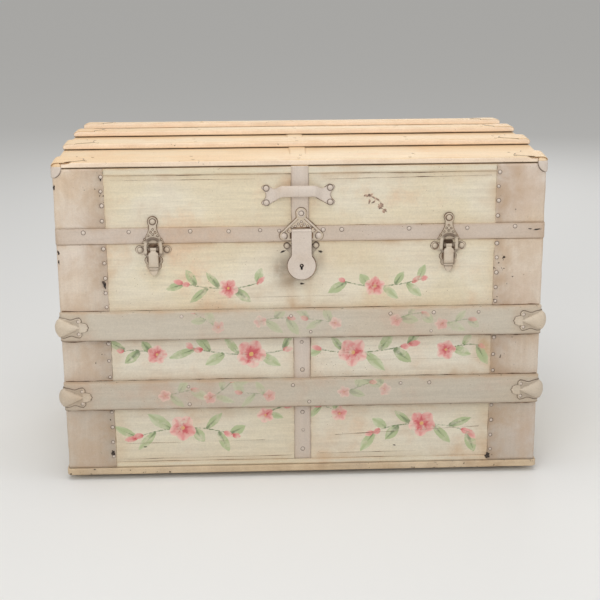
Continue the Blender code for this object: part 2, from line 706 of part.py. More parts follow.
def make_grip():
    """The fixed grip on the lid's front: a flat bar bowed out and up between two eared plates."""
    inner_end = GRIP_HALF_LENGTH - GRIP_PLATE
    along = np.concatenate(
        [
            np.linspace(-GRIP_HALF_LENGTH, -inner_end, 4),
            np.linspace(-inner_end, inner_end, 13)[1:-1],
            np.linspace(inner_end, GRIP_HALF_LENGTH, 4),
        ]
    )
    bow = np.clip(1 - np.abs(along) / inner_end, 0, 1)
    bridge = np.sin(np.pi / 2 * np.clip(bow * 2.4, 0, 1)) ** 2
    flare = np.clip((np.abs(along) - inner_end + GRIP_FLARE) / GRIP_PLATE, 0, 1)
    half = GRIP_HEIGHT / 2 + (GRIP_EAR_HEIGHT - GRIP_HEIGHT) / 2 * flare
    across = np.linspace(-1, 1, 5)
    level = GAP + bridge * GRIP_RISE
    grid = np.empty((len(along), len(across), 3))
    grid[..., 0] = along[:, None]
    grid[..., 1] = -level[:, None]
    grid[..., 2] = across[None, :] * half[:, None] + (bridge * GRIP_LIFT)[:, None]
    mesh = shell_mesh("lid grip", grid)
    place = (GRIP_X, front_y(0), PARTING_Z + GRIP_Z)
    grip = add_piece("lid_grip", mesh, greige, place, body=lid)
    give_wall(grip, GRIP_THICKNESS)
    notch_radius, notch_x = GRIP_NOTCH
    for side, sign in SIDES:
        notch = drum_mesh(f"grip notch {side}", notch_radius, BOARD)
        notch_place = (GRIP_X + sign * notch_x, front_y(0), PARTING_Z + GRIP_Z)
        use_tool(grip, add_tool(f"grip notch {side}", notch, notch_place, "front"), "DIFFERENCE")
    points = [
        (GRIP_X + a * GRIP_RIVET[0], PARTING_Z + GRIP_Z + b * GRIP_RIVET[1])
        for a in (-1, 1)
        for b in (-1, 1)
    ]
    add_rivets(grip, "grip", points, GAP + GRIP_THICKNESS)


def make_lock():
    """The lid's lock plate with the hasp hung in its lugs, and the keeper on the case."""
    lid_z, case_z = LID_BOTTOM, CASE_TOP
    face = OVER_BAND + LOCK_PLATE
    ear_x, ear_z, ear_radius = LOCK_EAR
    circles = [
        (0, LOCK_TOP[0], LOCK_TOP[1]),
        (-ear_x, ear_z, ear_radius),
        (ear_x, ear_z, ear_radius),
    ]
    mesh = outline_mesh("lock plate", [belt(circles)], LOCK_PLATE)
    plate = add_piece("lock_plate", mesh, greige, (0, front_y(OVER_BAND), PARTING_Z), "front", lid)
    for side, sign in SIDES:
        top, low = Vector((0, LOCK_TOP[0])), Vector((sign * ear_x, ear_z))
        middle = (top + low) / 2
        length = (low - top).length - LOCK_TOP[1]
        angle = math.atan2(low.y - top.y, low.x - top.x)
        rib = box_mesh(f"lock rib {side}", (length, LOCK_RIB * 2, LOCK_RIB * 2))
        outward = Vector((sign * abs(math.sin(angle)), abs(math.cos(angle)))) * (ear_radius * 0.55)
        place = (middle.x + outward.x, front_y(face), PARTING_Z + middle.y + outward.y)
        use_tool(plate, add_tool(f"lock rib {side}", rib, place, turn=(0, -angle, 0)), "UNION")
        lug_x = sign * (HASP_WIDTH / 2 + GAP + LOCK_LUG / 2)
        lug = box_mesh(f"lock lug {side}", (LOCK_LUG, LOCK_STAND + BARREL + LOCK_PLATE / 2, 2 * BARREL))
        y = front_y(face + (LOCK_STAND + BARREL - LOCK_PLATE / 2) / 2)
        use_tool(plate, add_tool(f"lock lug {side}", lug, (lug_x, y, PARTING_Z + HASP_PIVOT_Z)), "UNION")
    pivot_y, pivot_z = front_y(face + LOCK_STAND), PARTING_Z + HASP_PIVOT_Z
    pin_length = HASP_WIDTH + 2 * GAP + LOCK_LUG
    pin = drum_mesh("lock pin", LOCK_PIN, pin_length, sides=12, along="x")
    use_tool(plate, add_tool("lock pin", pin, (0, pivot_y, pivot_z)), "UNION")
    add_rivets(plate, "lock ring", [(0, PARTING_Z + LOCK_TOP[0])], face, radius=LOCK_TOP[1] * 0.62)
    add_rivets(plate, "lock ear", [(s * ear_x, PARTING_Z + ear_z) for s in (-1, 1)], face)

    disc_z = -HASP_PIVOT_Z - HASP_DISC_Z
    neck = HASP_WIDTH / 2
    join = math.degrees(math.asin(neck / HASP_DISC))
    outline = [(neck, 0), (-neck, 0)] + arc(0, disc_z, HASP_DISC, 90 + join, 450 - join, 22)
    keyhole = arc(0, disc_z, KEYHOLE[0], -60, 240, 8) + [
        (-KEYHOLE[1] / 2, disc_z - KEYHOLE[2] + KEYHOLE[0]),
        (KEYHOLE[1] / 2, disc_z - KEYHOLE[2] + KEYHOLE[0]),
    ]
    mesh = outline_mesh("lock hasp", [outline, keyhole], HASP)
    hasp_back = face + LOCK_STAND - HASP / 2
    hasp = add_piece("lock_hasp", mesh, greige, (0, front_y(hasp_back), pivot_z), "front", hasp_pivot)
    barrel = drum_mesh("hasp barrel", BARREL, HASP_WIDTH - 2 * GAP, along="x", sides=16)
    bore = drum_mesh("hasp bore", LOCK_PIN + PIN_PLAY, HASP_WIDTH * 2, along="x", sides=12)
    use_tool(hasp, add_tool("hasp barrel", barrel, (0, pivot_y, pivot_z)), "UNION")
    radius, wall = LOCK_CASE
    first, last = LOCK_CASE_OPENING - 90, 270 - LOCK_CASE_OPENING
    rim = arc(0, 0, radius, first, last, 20) + arc(0, 0, radius - wall, last, first, 20)
    mesh = outline_mesh("lock case", [rim], hasp_back - LOCK_CASE_BACK + WELD)
    place = (0, front_y(LOCK_CASE_BACK), PARTING_Z - HASP_DISC_Z)
    use_tool(hasp, add_tool("lock case", mesh, place, "front"), "UNION")
    use_tool(hasp, add_tool("hasp bore", bore, (0, pivot_y, pivot_z)), "DIFFERENCE")

    side_x, under, radius = KEEPER_EAR
    low, low_radius = KEEPER_BOTTOM
    circles = [(-side_x, -under, radius), (side_x, -under, radius), (0, -low, low_radius)]
    slot = round_box(KEEPER_SLOT[0], KEEPER_SLOT[1], KEEPER_SLOT[0] / 4)
    slot = [(x, y - HASP_DISC_Z) for x, y in slot]
    mesh = outline_mesh("lock keeper", [belt(circles), slot], KEEPER)
    keeper = add_piece("lock_keeper", mesh, greige, (0, front_y(GAP), PARTING_Z), "front")
    thickness, height, reach = STAPLE
    staple = box_mesh("staple", (thickness, reach + KEEPER / 2, height))
    opening = box_mesh("staple opening", (thickness * 2, (reach - STAPLE_WALL / 2) * 2, height - 2 * STAPLE_WALL))
    staple_z = PARTING_Z - HASP_DISC_Z
    staple_y = front_y(GAP + KEEPER / 2 + (reach + KEEPER / 2) / 2)
    staple_tool = add_tool("staple", staple, (0, staple_y, staple_z))
    opening_tool = add_tool("staple opening", opening, (0, front_y(GAP + KEEPER / 2), staple_z))
    use_tool(staple_tool, opening_tool, "DIFFERENCE")
    use_tool(keeper, staple_tool, "UNION")
    points = [(s * side_x, PARTING_Z - under) for s in (-1, 1)]
    add_rivets(keeper, "keeper", points, GAP + KEEPER, radius=KEEPER_RIVET)


def make_latch(side, sign):
    """A draw latch: a hooked catch on the lid, and on the case a base with a lever that carries a wire bail."""
    x = sign * LATCH_X
    body = lever_pivots[side]
    loop_body = bail_pivots[side]
    foot_x, foot_z, foot_radius = CATCH_FOOT
    circles = [(0, *CATCH_TOP), (-foot_x, foot_z, foot_radius), (foot_x, foot_z, foot_radius)]
    mesh = outline_mesh(f"latch catch {side}", [belt(circles)], LATCH_PLATE)
    catch = add_piece(f"latch_catch_{side}", mesh, greige, (x, front_y(OVER_BAND), PARTING_Z), "front", lid)
    face = OVER_BAND + LATCH_PLATE
    hook = box_mesh(f"latch hook {side}", (HOOK_WIDTH, HOOK_RISE + LATCH_PLATE / 2, HOOK_HEIGHT))
    place = (x, front_y(face + (HOOK_RISE - LATCH_PLATE / 2) / 2), PARTING_Z + HOOK_Z)
    hook_tool = add_tool(f"latch hook {side}", hook, place)
    soften(hook_tool, HOOK_RISE * 0.4, 2)
    use_tool(catch, hook_tool, "UNION")
    add_rivets(catch, f"catch {side}", [(x, PARTING_Z + CATCH_TOP[0])], face)

    ear_x, ear_z, ear_radius = BASE_EAR
    circles = [(-ear_x, -ear_z, ear_radius), (ear_x, -ear_z, ear_radius), (0, -BASE_FOOT[0], BASE_FOOT[1])]
    mesh = outline_mesh(f"latch base {side}", [belt(circles)], BASE_PLATE)
    base = add_piece(f"latch_base_{side}", mesh, greige, (x, front_y(GAP), PARTING_Z), "front")
    waist_x, waist_z, waist_radius = BASE_WAIST
    for part, way in SIDES:
        tool = drum_mesh(f"base waist {side} {part}", waist_radius, BASE_PLATE * 6)
        place = (x + way * waist_x, front_y(GAP), PARTING_Z - waist_z)
        use_tool(base, add_tool(f"base waist {side} {part}", tool, place, "front"), "DIFFERENCE")
    pivot_z = PARTING_Z - LEVER_PIVOT_Z
    base_face = GAP + BASE_PLATE
    for part, way in SIDES:
        lug_x = x + way * (LEVER_NECK / 2 + GAP + LUG_WIDTH / 2)
        reach = LEVER_STAND + LEVER_BARREL - base_face + BASE_PLATE / 2
        lug = box_mesh(f"base lug {side} {part}", (LUG_WIDTH, reach, 2 * LEVER_BARREL))
        y = front_y(base_face - BASE_PLATE / 2 + reach / 2)
        use_tool(base, add_tool(f"base lug {side} {part}", lug, (lug_x, y, pivot_z)), "UNION")
    pin = drum_mesh(f"lever pin {side}", LEVER_PIN, LEVER_NECK + 2 * GAP + LUG_WIDTH, sides=12, along="x")
    use_tool(base, add_tool(f"lever pin {side}", pin, (x, front_y(LEVER_STAND), pivot_z)), "UNION")
    add_rivets(base, f"base {side}", [(x + s * ear_x, PARTING_Z - ear_z) for s in (-1, 1)], base_face)

    half, neck, tail = LEVER_WIDTH / 2, LEVER_NECK / 2, LEVER_LENGTH
    shoulder = LEVER_BARREL * math.sqrt(2) + GAP
    outline = [(-neck, 0), (-neck, -shoulder), (-half, -shoulder - (half - neck))]
    outline += arc(0, half - tail, half, 180, 360, 10)
    outline += [(half, -shoulder - (half - neck)), (neck, -shoulder), (neck, 0)]
    mesh = outline_mesh(f"latch lever {side}", [outline], LEVER_THICKNESS)
    back = LEVER_STAND - LEVER_THICKNESS / 2
    lever = add_piece(f"latch_lever_{side}", mesh, greige, (x, front_y(back), pivot_z), "front", body)
    wall, depth, first, last = LEVER_SIDE
    for part, way in SIDES:
        turned = box_mesh(f"lever side {side} {part}", (wall, depth + LEVER_THICKNESS / 2, last - first))
        y = front_y(back - (depth - LEVER_THICKNESS / 2) / 2)
        place = (x + way * (half - wall / 2 - WELD / 2), y, pivot_z - (first + last) / 2)
        use_tool(lever, add_tool(f"lever side {side} {part}", turned, place), "UNION")
    y, eye_z = front_y(LEVER_STAND), pivot_z - BAIL_OFFSET
    barrel = drum_mesh(f"lever barrel {side}", LEVER_BARREL, LEVER_NECK - 2 * GAP, sides=16, along="x")
    eye = drum_mesh(f"lever eye {side}", BAIL_EYE, LEVER_WIDTH - 2 * EDGE, sides=16, along="x")
    bore = drum_mesh(f"lever bore {side}", LEVER_PIN + PIN_PLAY, LEVER_WIDTH * 2, sides=12, along="x")
    eye_bore = drum_mesh(f"lever eye bore {side}", BAIL_WIRE + PIN_PLAY, LEVER_WIDTH * 2, sides=12, along="x")
    use_tool(lever, add_tool(f"lever barrel {side}", barrel, (x, y, pivot_z)), "UNION")
    use_tool(lever, add_tool(f"lever eye {side}", eye, (x, y, eye_z)), "UNION")
    use_tool(lever, add_tool(f"lever bore {side}", bore, (x, y, pivot_z)), "DIFFERENCE")
    use_tool(lever, add_tool(f"lever eye bore {side}", eye_bore, (x, y, eye_z)), "DIFFERENCE")

    add_bail(side, x, eye_z, loop_body)


def add_bail(side, x, eye_z, body):
    """A closed loop of wire: a straight bar through the lever's eye, two legs and a round top."""
    half = BAIL_WIDTH / 2
    height = PARTING_Z + BAIL_TOP_Z - eye_z
    corner = 0.0035
    path = (
        [(-LEVER_WIDTH / 4, 0), (LEVER_WIDTH / 4, 0)]
        + arc(half - corner, corner, corner, 270, 360, 3)
        + arc(0, height - half, half, 0, 180, 12)
        + arc(-half + corner, corner, corner, 180, 270, 3)
    )
    curve = bpy.data.curves.new(f"latch bail {side}", "CURVE")
    curve.dimensions = "3D"
    curve.bevel_depth = BAIL_WIRE
    curve.bevel_resolution = 2
    spline = curve.splines.new("POLY")
    spline.points.add(len(path) - 1)
    for point, (across, up) in zip(spline.points, path):
        point.co = (across, 0, up, 1)
    spline.use_cyclic_u = True
    obj = add_piece(f"latch_bail_{side}", curve, greige, (x, front_y(LEVER_STAND), eye_z), body=body)
    obj.rotation_euler = (BAIL_LEAN, 0, 0)


def make_hinge(side, sign):
    """A stop hinge on the back: two leaves on one pin, and a tongue that meets a pad when the lid is open."""
    x = sign * HINGE_X
    y = HINGE_Y
    third = HINGE_WIDTH / 3
    outer_x = [x - third, x + third]
    knuckle_length = third - 2 * GAP
    pin_z = PARTING_Z

    height = HINGE_CASE_LEAF
    mesh = box_mesh(f"hinge case leaf {side}", (HINGE_WIDTH, HINGE_LEAF, height))
    leaf_y = BOARDS_DEPTH / 2 + GAP + HINGE_LEAF / 2
    leaf = add_piece(f"hinge_leaf_case_{side}", mesh, greige, (x, leaf_y, CASE_TOP - height / 2))
    soften(leaf, HINGE_LEAF / 4)
    web_depth = HINGE_STAND - WELD - GAP - HINGE_LEAF / 2
    for part, place_x in enumerate(outer_x, 1):
        web = box_mesh(f"hinge web {side} {part}", (knuckle_length - WELD, web_depth, WEB_HEIGHT))
        place = (place_x, BOARDS_DEPTH / 2 + GAP + HINGE_LEAF / 2 + web_depth / 2, CASE_TOP - KNUCKLE)
        use_tool(leaf, add_tool(f"hinge web {side} {part}", web, place), "UNION")
        knuckle = drum_mesh(f"hinge knuckle {side} {part}", KNUCKLE, knuckle_length, sides=16, along="x")
        use_tool(leaf, add_tool(f"hinge knuckle {side} {part}", knuckle, (place_x, y, pin_z)), "UNION")
    pin = drum_mesh(f"hinge pin {side}", HINGE_PIN, HINGE_WIDTH - third, sides=12, along="x")
    use_tool(leaf, add_tool(f"hinge pin {side}", pin, (x, y, pin_z)), "UNION")
    pad_from, pad_to = STOP_PAD
    pad_reach = HINGE_STAND - TONGUE / 2 - GAP
    pad_depth = pad_reach - GAP - HINGE_LEAF / 2
    pad = box_mesh(f"stop pad {side}", (third - 2 * GAP, pad_depth, pad_to - pad_from))
    place = (x, BOARDS_DEPTH / 2 + pad_reach - pad_depth / 2, pin_z - (pad_from + pad_to) / 2)
    use_tool(leaf, add_tool(f"stop pad {side}", pad, place), "UNION")

    mesh = box_mesh(f"hinge lid leaf {side}", (HINGE_WIDTH, HINGE_LEAF, HINGE_LID_LEAF))
    leaf_y = BOARDS_DEPTH / 2 + OVER_BAND + HINGE_LEAF / 2
    low = LID_BOTTOM + KNUCKLE + GAP
    leaf = add_piece(f"hinge_leaf_lid_{side}", mesh, greige, (x, leaf_y, low + HINGE_LID_LEAF / 2), body=lid)
    soften(leaf, HINGE_LEAF / 4)
    web_depth = HINGE_STAND + KNUCKLE / 2 - OVER_BAND - HINGE_LEAF / 4
    web_low = pin_z + HINGE_PIN
    web_high = low + KNUCKLE
    web = box_mesh(f"hinge lid web {side}", (knuckle_length - WELD, web_depth, web_high - web_low))
    place = (x, BOARDS_DEPTH / 2 + OVER_BAND + HINGE_LEAF / 4 + web_depth / 2, (web_high + web_low) / 2)
    use_tool(leaf, add_tool(f"hinge lid web {side}", web, place), "UNION")
    knuckle = drum_mesh(f"hinge lid knuckle {side}", KNUCKLE, knuckle_length, sides=16, along="x")
    use_tool(leaf, add_tool(f"hinge lid knuckle {side}", knuckle, (x, y, pin_z)), "UNION")
    lift = math.radians(LID_OPENS - 90)
    middle = TONGUE_LENGTH / 2 + HINGE_PIN
    tongue = box_mesh(f"stop tongue {side}", (knuckle_length - 2 * WELD, TONGUE_LENGTH, TONGUE))
    place = (x, y + middle * math.cos(lift), pin_z + middle * math.sin(lift))
    use_tool(leaf, add_tool(f"stop tongue {side}", tongue, place, turn=(lift, 0, 0)), "UNION")
    bore = drum_mesh(f"hinge bore {side}", HINGE_PIN + PIN_PLAY, HINGE_WIDTH, sides=12, along="x")
    use_tool(leaf, add_tool(f"hinge bore {side}", bore, (x, y, pin_z)), "DIFFERENCE")


def make_end_handle(side, sign):
    """A leather strap bowed out between two metal loops."""
    z = PARTING_Z - HANDLE_DROP
    base_x = BOARDS_WIDTH / 2
    half = HANDLE_SPAN / 2
    mouth = half - LOOP_LENGTH / 2
    along = np.linspace(-mouth - LOOP_GRIP, mouth + LOOP_GRIP, 25)
    bow = np.cos(np.pi / 2 * np.clip(np.abs(along) / (mouth * 0.98), 0, 1))
    rise = HANDLE_ROOT + HANDLE_RISE * np.sin(np.pi / 2 * bow) ** 1.4
    slope = np.gradient(rise, along)
    thick = HANDLE_STRAP / np.cos(np.arctan(slope))
    inner = [(sign * (base_x + r), y) for r, y in zip(rise, along)]
    outer = [(sign * (base_x + r + t), y) for r, t, y in zip(rise, thick, along)]
    mesh = outline_mesh(f"end handle {side}", [inner + outer[::-1]], HANDLE_STRAP_WIDTH)
    strap = add_piece(f"end_handle_{side}", mesh, leather, (0, 0, z - HANDLE_STRAP_WIDTH / 2))
    soften(strap, HANDLE_STRAP / 4, 1, 60)

    for end, end_sign in ENDS:
        name = f"handle_loop_{side}_{end}"
        y = end_sign * half
        cup = box_mesh(name, (LOOP_RISE, LOOP_LENGTH, LOOP_WIDTH))
        loop = add_piece(name, cup, greige, (sign * (base_x + GAP + LOOP_RISE / 2), y, z))
        soften(loop, LOOP_WALL, 2)
        slot_size = (HANDLE_STRAP + 2 * LOOP_PLAY, LOOP_LENGTH, HANDLE_STRAP_WIDTH + 2 * LOOP_PLAY)
        slot_y = end_sign * (mouth + LOOP_GRIP + LOOP_PLAY - LOOP_LENGTH / 2)
        slot = box_mesh(f"{name} slot", slot_size)
        place = (sign * (base_x + HANDLE_ROOT + HANDLE_STRAP / 2), slot_y, z)
        use_tool(loop, add_tool(f"{name} slot", slot, place), "DIFFERENCE")


clear_scene()
pieces = make_collection("slat_top_trunk")
tools = make_collection("boolean_tools")

cream = make_material("aged cream paint on pine", (0.72, 0.67, 0.50), 0.62)
top_cream = make_material("warm cream paint on the top", (0.80, 0.66, 0.44), 0.60)
greige = make_material("pinkish greige paint on metal", (0.60, 0.51, 0.43), 0.52)
bare_wood = make_material("old bare pine", (0.42, 0.28, 0.15), 0.75)
dark_wood = make_material("stained runner", (0.10, 0.07, 0.045), 0.80)
leather = make_material("worn leather", (0.16, 0.075, 0.035), 0.65)

lid = make_pivot("lid_pivot", (0, HINGE_Y, PARTING_Z))
hasp_pivot = make_pivot(
    "hasp_pivot", (0, front_y(OVER_BAND + LOCK_PLATE + LOCK_STAND), PARTING_Z + HASP_PIVOT_Z), lid
)
lever_pivots, bail_pivots = {}, {}
for side_name, side_sign in SIDES:
    lever_place = (side_sign * LATCH_X, front_y(LEVER_STAND), PARTING_Z - LEVER_PIVOT_Z)
    bail_place = (side_sign * LATCH_X, front_y(LEVER_STAND), PARTING_Z - LEVER_PIVOT_Z - BAIL_OFFSET)
    lever_pivots[side_name] = make_pivot(f"lever_pivot_{side_name}", lever_place)
    bail_pivots[side_name] = make_pivot(f"bail_pivot_{side_name}", bail_place, lever_pivots[side_name])

make_boards()
make_lip()
make_corner_sheets()
make_lid_sheets()
make_straps()
make_base()
make_case_slats()
make_clamps()
make_top_slats()
make_grip()
make_lock()
for side_name, side_sign in SIDES:
    make_latch(side_name, side_sign)
    make_hinge(side_name, side_sign)
    make_end_handle(side_name, side_sign)
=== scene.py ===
# Looks of the slat top trunk: aged paint over boards, slats, sheet metal and cast hardware.
import math

import bpy
import numpy as np
from mathutils import Matrix, Vector


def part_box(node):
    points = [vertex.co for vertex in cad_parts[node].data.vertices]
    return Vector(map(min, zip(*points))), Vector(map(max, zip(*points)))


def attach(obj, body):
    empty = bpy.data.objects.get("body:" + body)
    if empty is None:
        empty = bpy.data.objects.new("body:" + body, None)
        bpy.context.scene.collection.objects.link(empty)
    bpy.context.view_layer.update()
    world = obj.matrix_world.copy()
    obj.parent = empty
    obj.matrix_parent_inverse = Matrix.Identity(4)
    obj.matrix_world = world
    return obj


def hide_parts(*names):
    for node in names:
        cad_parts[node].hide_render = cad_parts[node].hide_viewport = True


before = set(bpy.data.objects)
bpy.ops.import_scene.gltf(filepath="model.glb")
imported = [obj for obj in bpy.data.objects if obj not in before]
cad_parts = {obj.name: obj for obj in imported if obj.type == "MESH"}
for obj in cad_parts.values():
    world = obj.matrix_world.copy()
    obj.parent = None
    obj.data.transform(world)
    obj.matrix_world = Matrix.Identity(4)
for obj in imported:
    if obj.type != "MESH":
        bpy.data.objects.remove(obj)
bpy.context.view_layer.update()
scene = bpy.context.scene
signs = {"left": -1, "right": 1, "front": -1, "back": 1}
forward = (0, -1, 0)


# Sizes read from the frame, in metres
def nodeBox(node):  # the lowest and the highest corner of a node
    return [np.array(corner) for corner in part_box(node)]


trunk = {
    "boardX": nodeBox("case_front")[1][0],  # outer face of the boards
    "boardY": -nodeBox("case_front")[0][1],
    "sheetX": nodeBox("case_corner_sheet_front_right")[1][0],  # outer face of the corner metal
    "sheetY": -nodeBox("case_corner_sheet_front_right")[0][1],
    "caseBottom": nodeBox("case_front")[0][2],
    "caseTop": nodeBox("case_front")[1][2],
    "lidBottom": nodeBox("lid_front")[0][2],
    "edgeZ": nodeBox("lid_corner_sheets")[1][2],  # top edge of the lid's front
    "bandTop": nodeBox("lid_band")[1][2],
    "stripHigh": 0.0126,  # height of the strips along the lid's top edge
    "topZ": nodeBox("lid_top")[1][2],
}
trunk["crown"] = trunk["topZ"] - trunk["edgeZ"]
partingZ = (trunk["caseTop"] + trunk["lidBottom"]) / 2


def frontY(level):  # y of a plane or points at a level over the front boards
    return -(trunk["boardY"] + level)


def crownZ(y):  # the top boards bow as a shallow parabola over the depth
    return trunk["edgeZ"] + trunk["crown"] * (1 - (y / trunk["sheetY"]) ** 2)


def smoothStep(low, high, value):  # an s-curve from 0 at low to 1 at high
    part = np.clip((value - low) / (high - low), 0, 1)
    return part * part * (3 - 2 * part)


def ripple(points, seed, size):
    # sum of seven sine waves in seeded directions, each about size long, scaled to lie mostly within -1 and 1
    random = np.random.default_rng(seed)
    terms = 7
    total = np.zeros(points.shape[:-1])
    for _ in range(terms):
        direction = random.normal(size=3)
        direction /= np.linalg.norm(direction)
        length = size * random.uniform(0.6, 1.7)
        total += np.sin(points @ direction * (2 * math.pi / length) + random.uniform(0, 2 * math.pi))
    return total / terms ** 0.7


def arcPoints(x, y, radius, first, last, steps):  # points on an arc, angles in degrees
    angle = np.radians(np.linspace(first, last, steps + 1))
    return np.stack([x + radius * np.cos(angle), y + radius * np.sin(angle)], axis=1)


def alongLoop(corners, spacing, closed=True):
    # splits each side of a polyline into equal steps no longer than spacing
    corners = np.asarray(corners, float)
    ends = np.roll(corners, -1, axis=0) if closed else corners[1:]
    starts = corners if closed else corners[:-1]
    made = []
    for start, end in zip(starts, ends):
        steps = max(1, math.ceil(np.linalg.norm(end - start) / spacing - 1e-6))
        made.append(start + (end - start) * np.arange(steps)[:, None] / steps)
    if not closed:
        made.append(corners[-1:])
    return np.vstack(made)


def roundBox(width, height, radius, steps=4):  # a rectangle with round corners about the origin
    x, y = width / 2 - radius, height / 2 - radius
    return np.vstack([
        arcPoints(x, y, radius, 0, 90, steps),
        arcPoints(-x, y, radius, 90, 180, steps),
        arcPoints(-x, -y, radius, 180, 270, steps),
        arcPoints(x, -y, radius, 270, 360, steps),
    ])


def gridFaces(rows, columns, wrap):  # four-sided faces between neighbours of a grid of points
    number = np.arange(rows * columns).reshape(rows, columns)
    if "r" in wrap:
        number = np.vstack([number, number[:1]])
    if "c" in wrap:
        number = np.hstack([number, number[:, :1]])
    sides = (number[:-1, :-1], number[1:, :-1], number[1:, 1:], number[:-1, 1:])
    return np.stack(sides, axis=-1).reshape(-1, 4)


def surface(points, wrap="", caps=False, outward=None, **marks):
    # a grid of points (rows, columns, 3), closed along r or c, whose faces are turned to point outwards:
    # by the sign of its volume where it is closed, and otherwise by the direction outward
    points = np.asarray(points, float)
    rows, columns = points.shape[:2]
    flat = points.reshape(-1, 3)
    quads = gridFaces(rows, columns, wrap)
    lids = [np.arange(columns), (rows - 1) * columns + np.arange(columns)[::-1]] if caps else []
    a, b, c, d = (flat[quads[:, k]] for k in range(4))
    if outward is None:
        size = (a * np.cross(b, c)).sum() + (a * np.cross(c, d)).sum()
        for lid in lids:
            ring = flat[lid]
            size += (ring[0] * np.cross(ring[1:-1], ring[2:])).sum()
    else:
        size = (np.cross(c - a, d - b) @ np.asarray(outward, float)).sum()
    if size < 0:
        quads = quads[:, ::-1]
        lids = [lid[::-1] for lid in lids]
    values = {name: np.broadcast_to(value, (rows, columns)).reshape(-1) for name, value in marks.items()}
    return {"points": flat, "quads": quads, "lids": lids, "marks": values}


def loft(points, **marks):  # a surface of closed sections, capped at both ends
    return surface(points, "c", caps=True, **marks)


slots = {  # what a finish stands for, where that isn't painted metal
    "panel": "cream_paint",
    "artPanel": "cream_paint",
    "endPanel": "cream_paint",
    "bruise": "cream_paint",
    "top": "warm_cream_paint",
    "slat": "greige_paint_wood",
    "leather": "handle_leather",
    "thread": "handle_leather",
    "pine": "bare_pine",
    "paper": "bare_pine",
    "darkWood": "stained_wood",
}


def makePiece(name, surfaces, look, body, replaces=(), slot=None, wall=0.0):
    # joins surfaces into one mesh at the origin, with their marks as attributes, and hands it to the frame
    surfaces = surfaces if isinstance(surfaces, list) else [surfaces]
    slot = slot or slots.get(look, "greige_paint_metal")
    sharp = 35  # degrees between faces that meet in a hard edge
    counts = np.cumsum([0] + [len(part["points"]) for part in surfaces])
    faces = []
    for part, start in zip(surfaces, counts):
        faces += (part["quads"] + start).tolist()
        faces += [(lid + start).tolist() for lid in part["lids"]]
    mesh = bpy.data.meshes.new(name)
    mesh.from_pydata(np.vstack([part["points"] for part in surfaces]).tolist(), [], faces)
    for mark in sorted({key for part in surfaces for key in part["marks"]}):
        values = [part["marks"].get(mark, np.zeros(len(part["points"]))) for part in surfaces]
        layer = mesh.attributes.new(mark, "FLOAT", "POINT")
        layer.data.foreach_set("value", np.concatenate(values).astype(np.float32))
    mesh.polygons.foreach_set("use_smooth", np.ones(len(mesh.polygons), bool))
    mesh.set_sharp_from_angle(angle=math.radians(sharp))
    mesh.materials.append(finish[look])
    piece = bpy.data.objects.new(name, mesh)
    scene.collection.objects.link(piece)
    if wall:
        solid = piece.modifiers.new("wall", "SOLIDIFY")
        solid.thickness = wall
        solid.offset = -1
    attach(piece, body)
    if replaces:
        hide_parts(*([replaces] if isinstance(replaces, str) else replaces))
    return piece


# Camera and stage
view = {
    "spot": (-0.079, -2.465, 0.964),
    "yaw": 1.96,  # degrees to the right
    "pitch": 15.76,  # degrees down
    "roll": -0.40,
    "lens": 77.2,
    "sensor": 36.0,
}


def makeCamera():
    # the view direction turned by yaw and pitch, its right and up axes then rolled about it
    yaw, pitch, roll = (math.radians(view[key]) for key in ("yaw", "pitch", "roll"))
    ahead = np.array([math.sin(yaw) * math.cos(pitch), math.cos(yaw) * math.cos(pitch), -math.sin(pitch)])
    level = np.array([math.cos(yaw), -math.sin(yaw), 0.0])
    above = np.cross(level, ahead)
    right = level * math.cos(roll) + above * math.sin(roll)
    up = above * math.cos(roll) - level * math.sin(roll)
    data = bpy.data.cameras.new("photoCamera")
    data.lens = view["lens"]
    data.sensor_width = view["sensor"]
    camera = bpy.data.objects.new("photoCamera", data)
    scene.collection.objects.link(camera)
    matrix = np.eye(4)
    matrix[:3, :3] = np.stack([right, up, -ahead], axis=1)
    matrix[:3, 3] = view["spot"]
    camera.matrix_world = Matrix(matrix.tolist())
    scene.camera = camera


studio = {
    "floorColour": (0.86, 0.86, 0.85),
    "floorReach": 40.0,
    "seenColour": (0.93, 0.93, 0.92),  # the world as the camera and mirror-like faces see it
    "worldColour": (1.0, 0.985, 0.96),
    "worldStrength": 0.45,
    "lamps": (  # name, place, size, watts
        ("overhead", (-0.3, -0.7, 2.9), 2.2, 29.0),
        ("frontFill", (-1.1, -3.3, 1.9), 1.8, 33.5),
        ("rightFill", (2.6, -1.2, 1.5), 1.6, 11.5),
        ("backFill", (0.6, 2.9, 2.0), 1.8, 17.0),
    ),
}


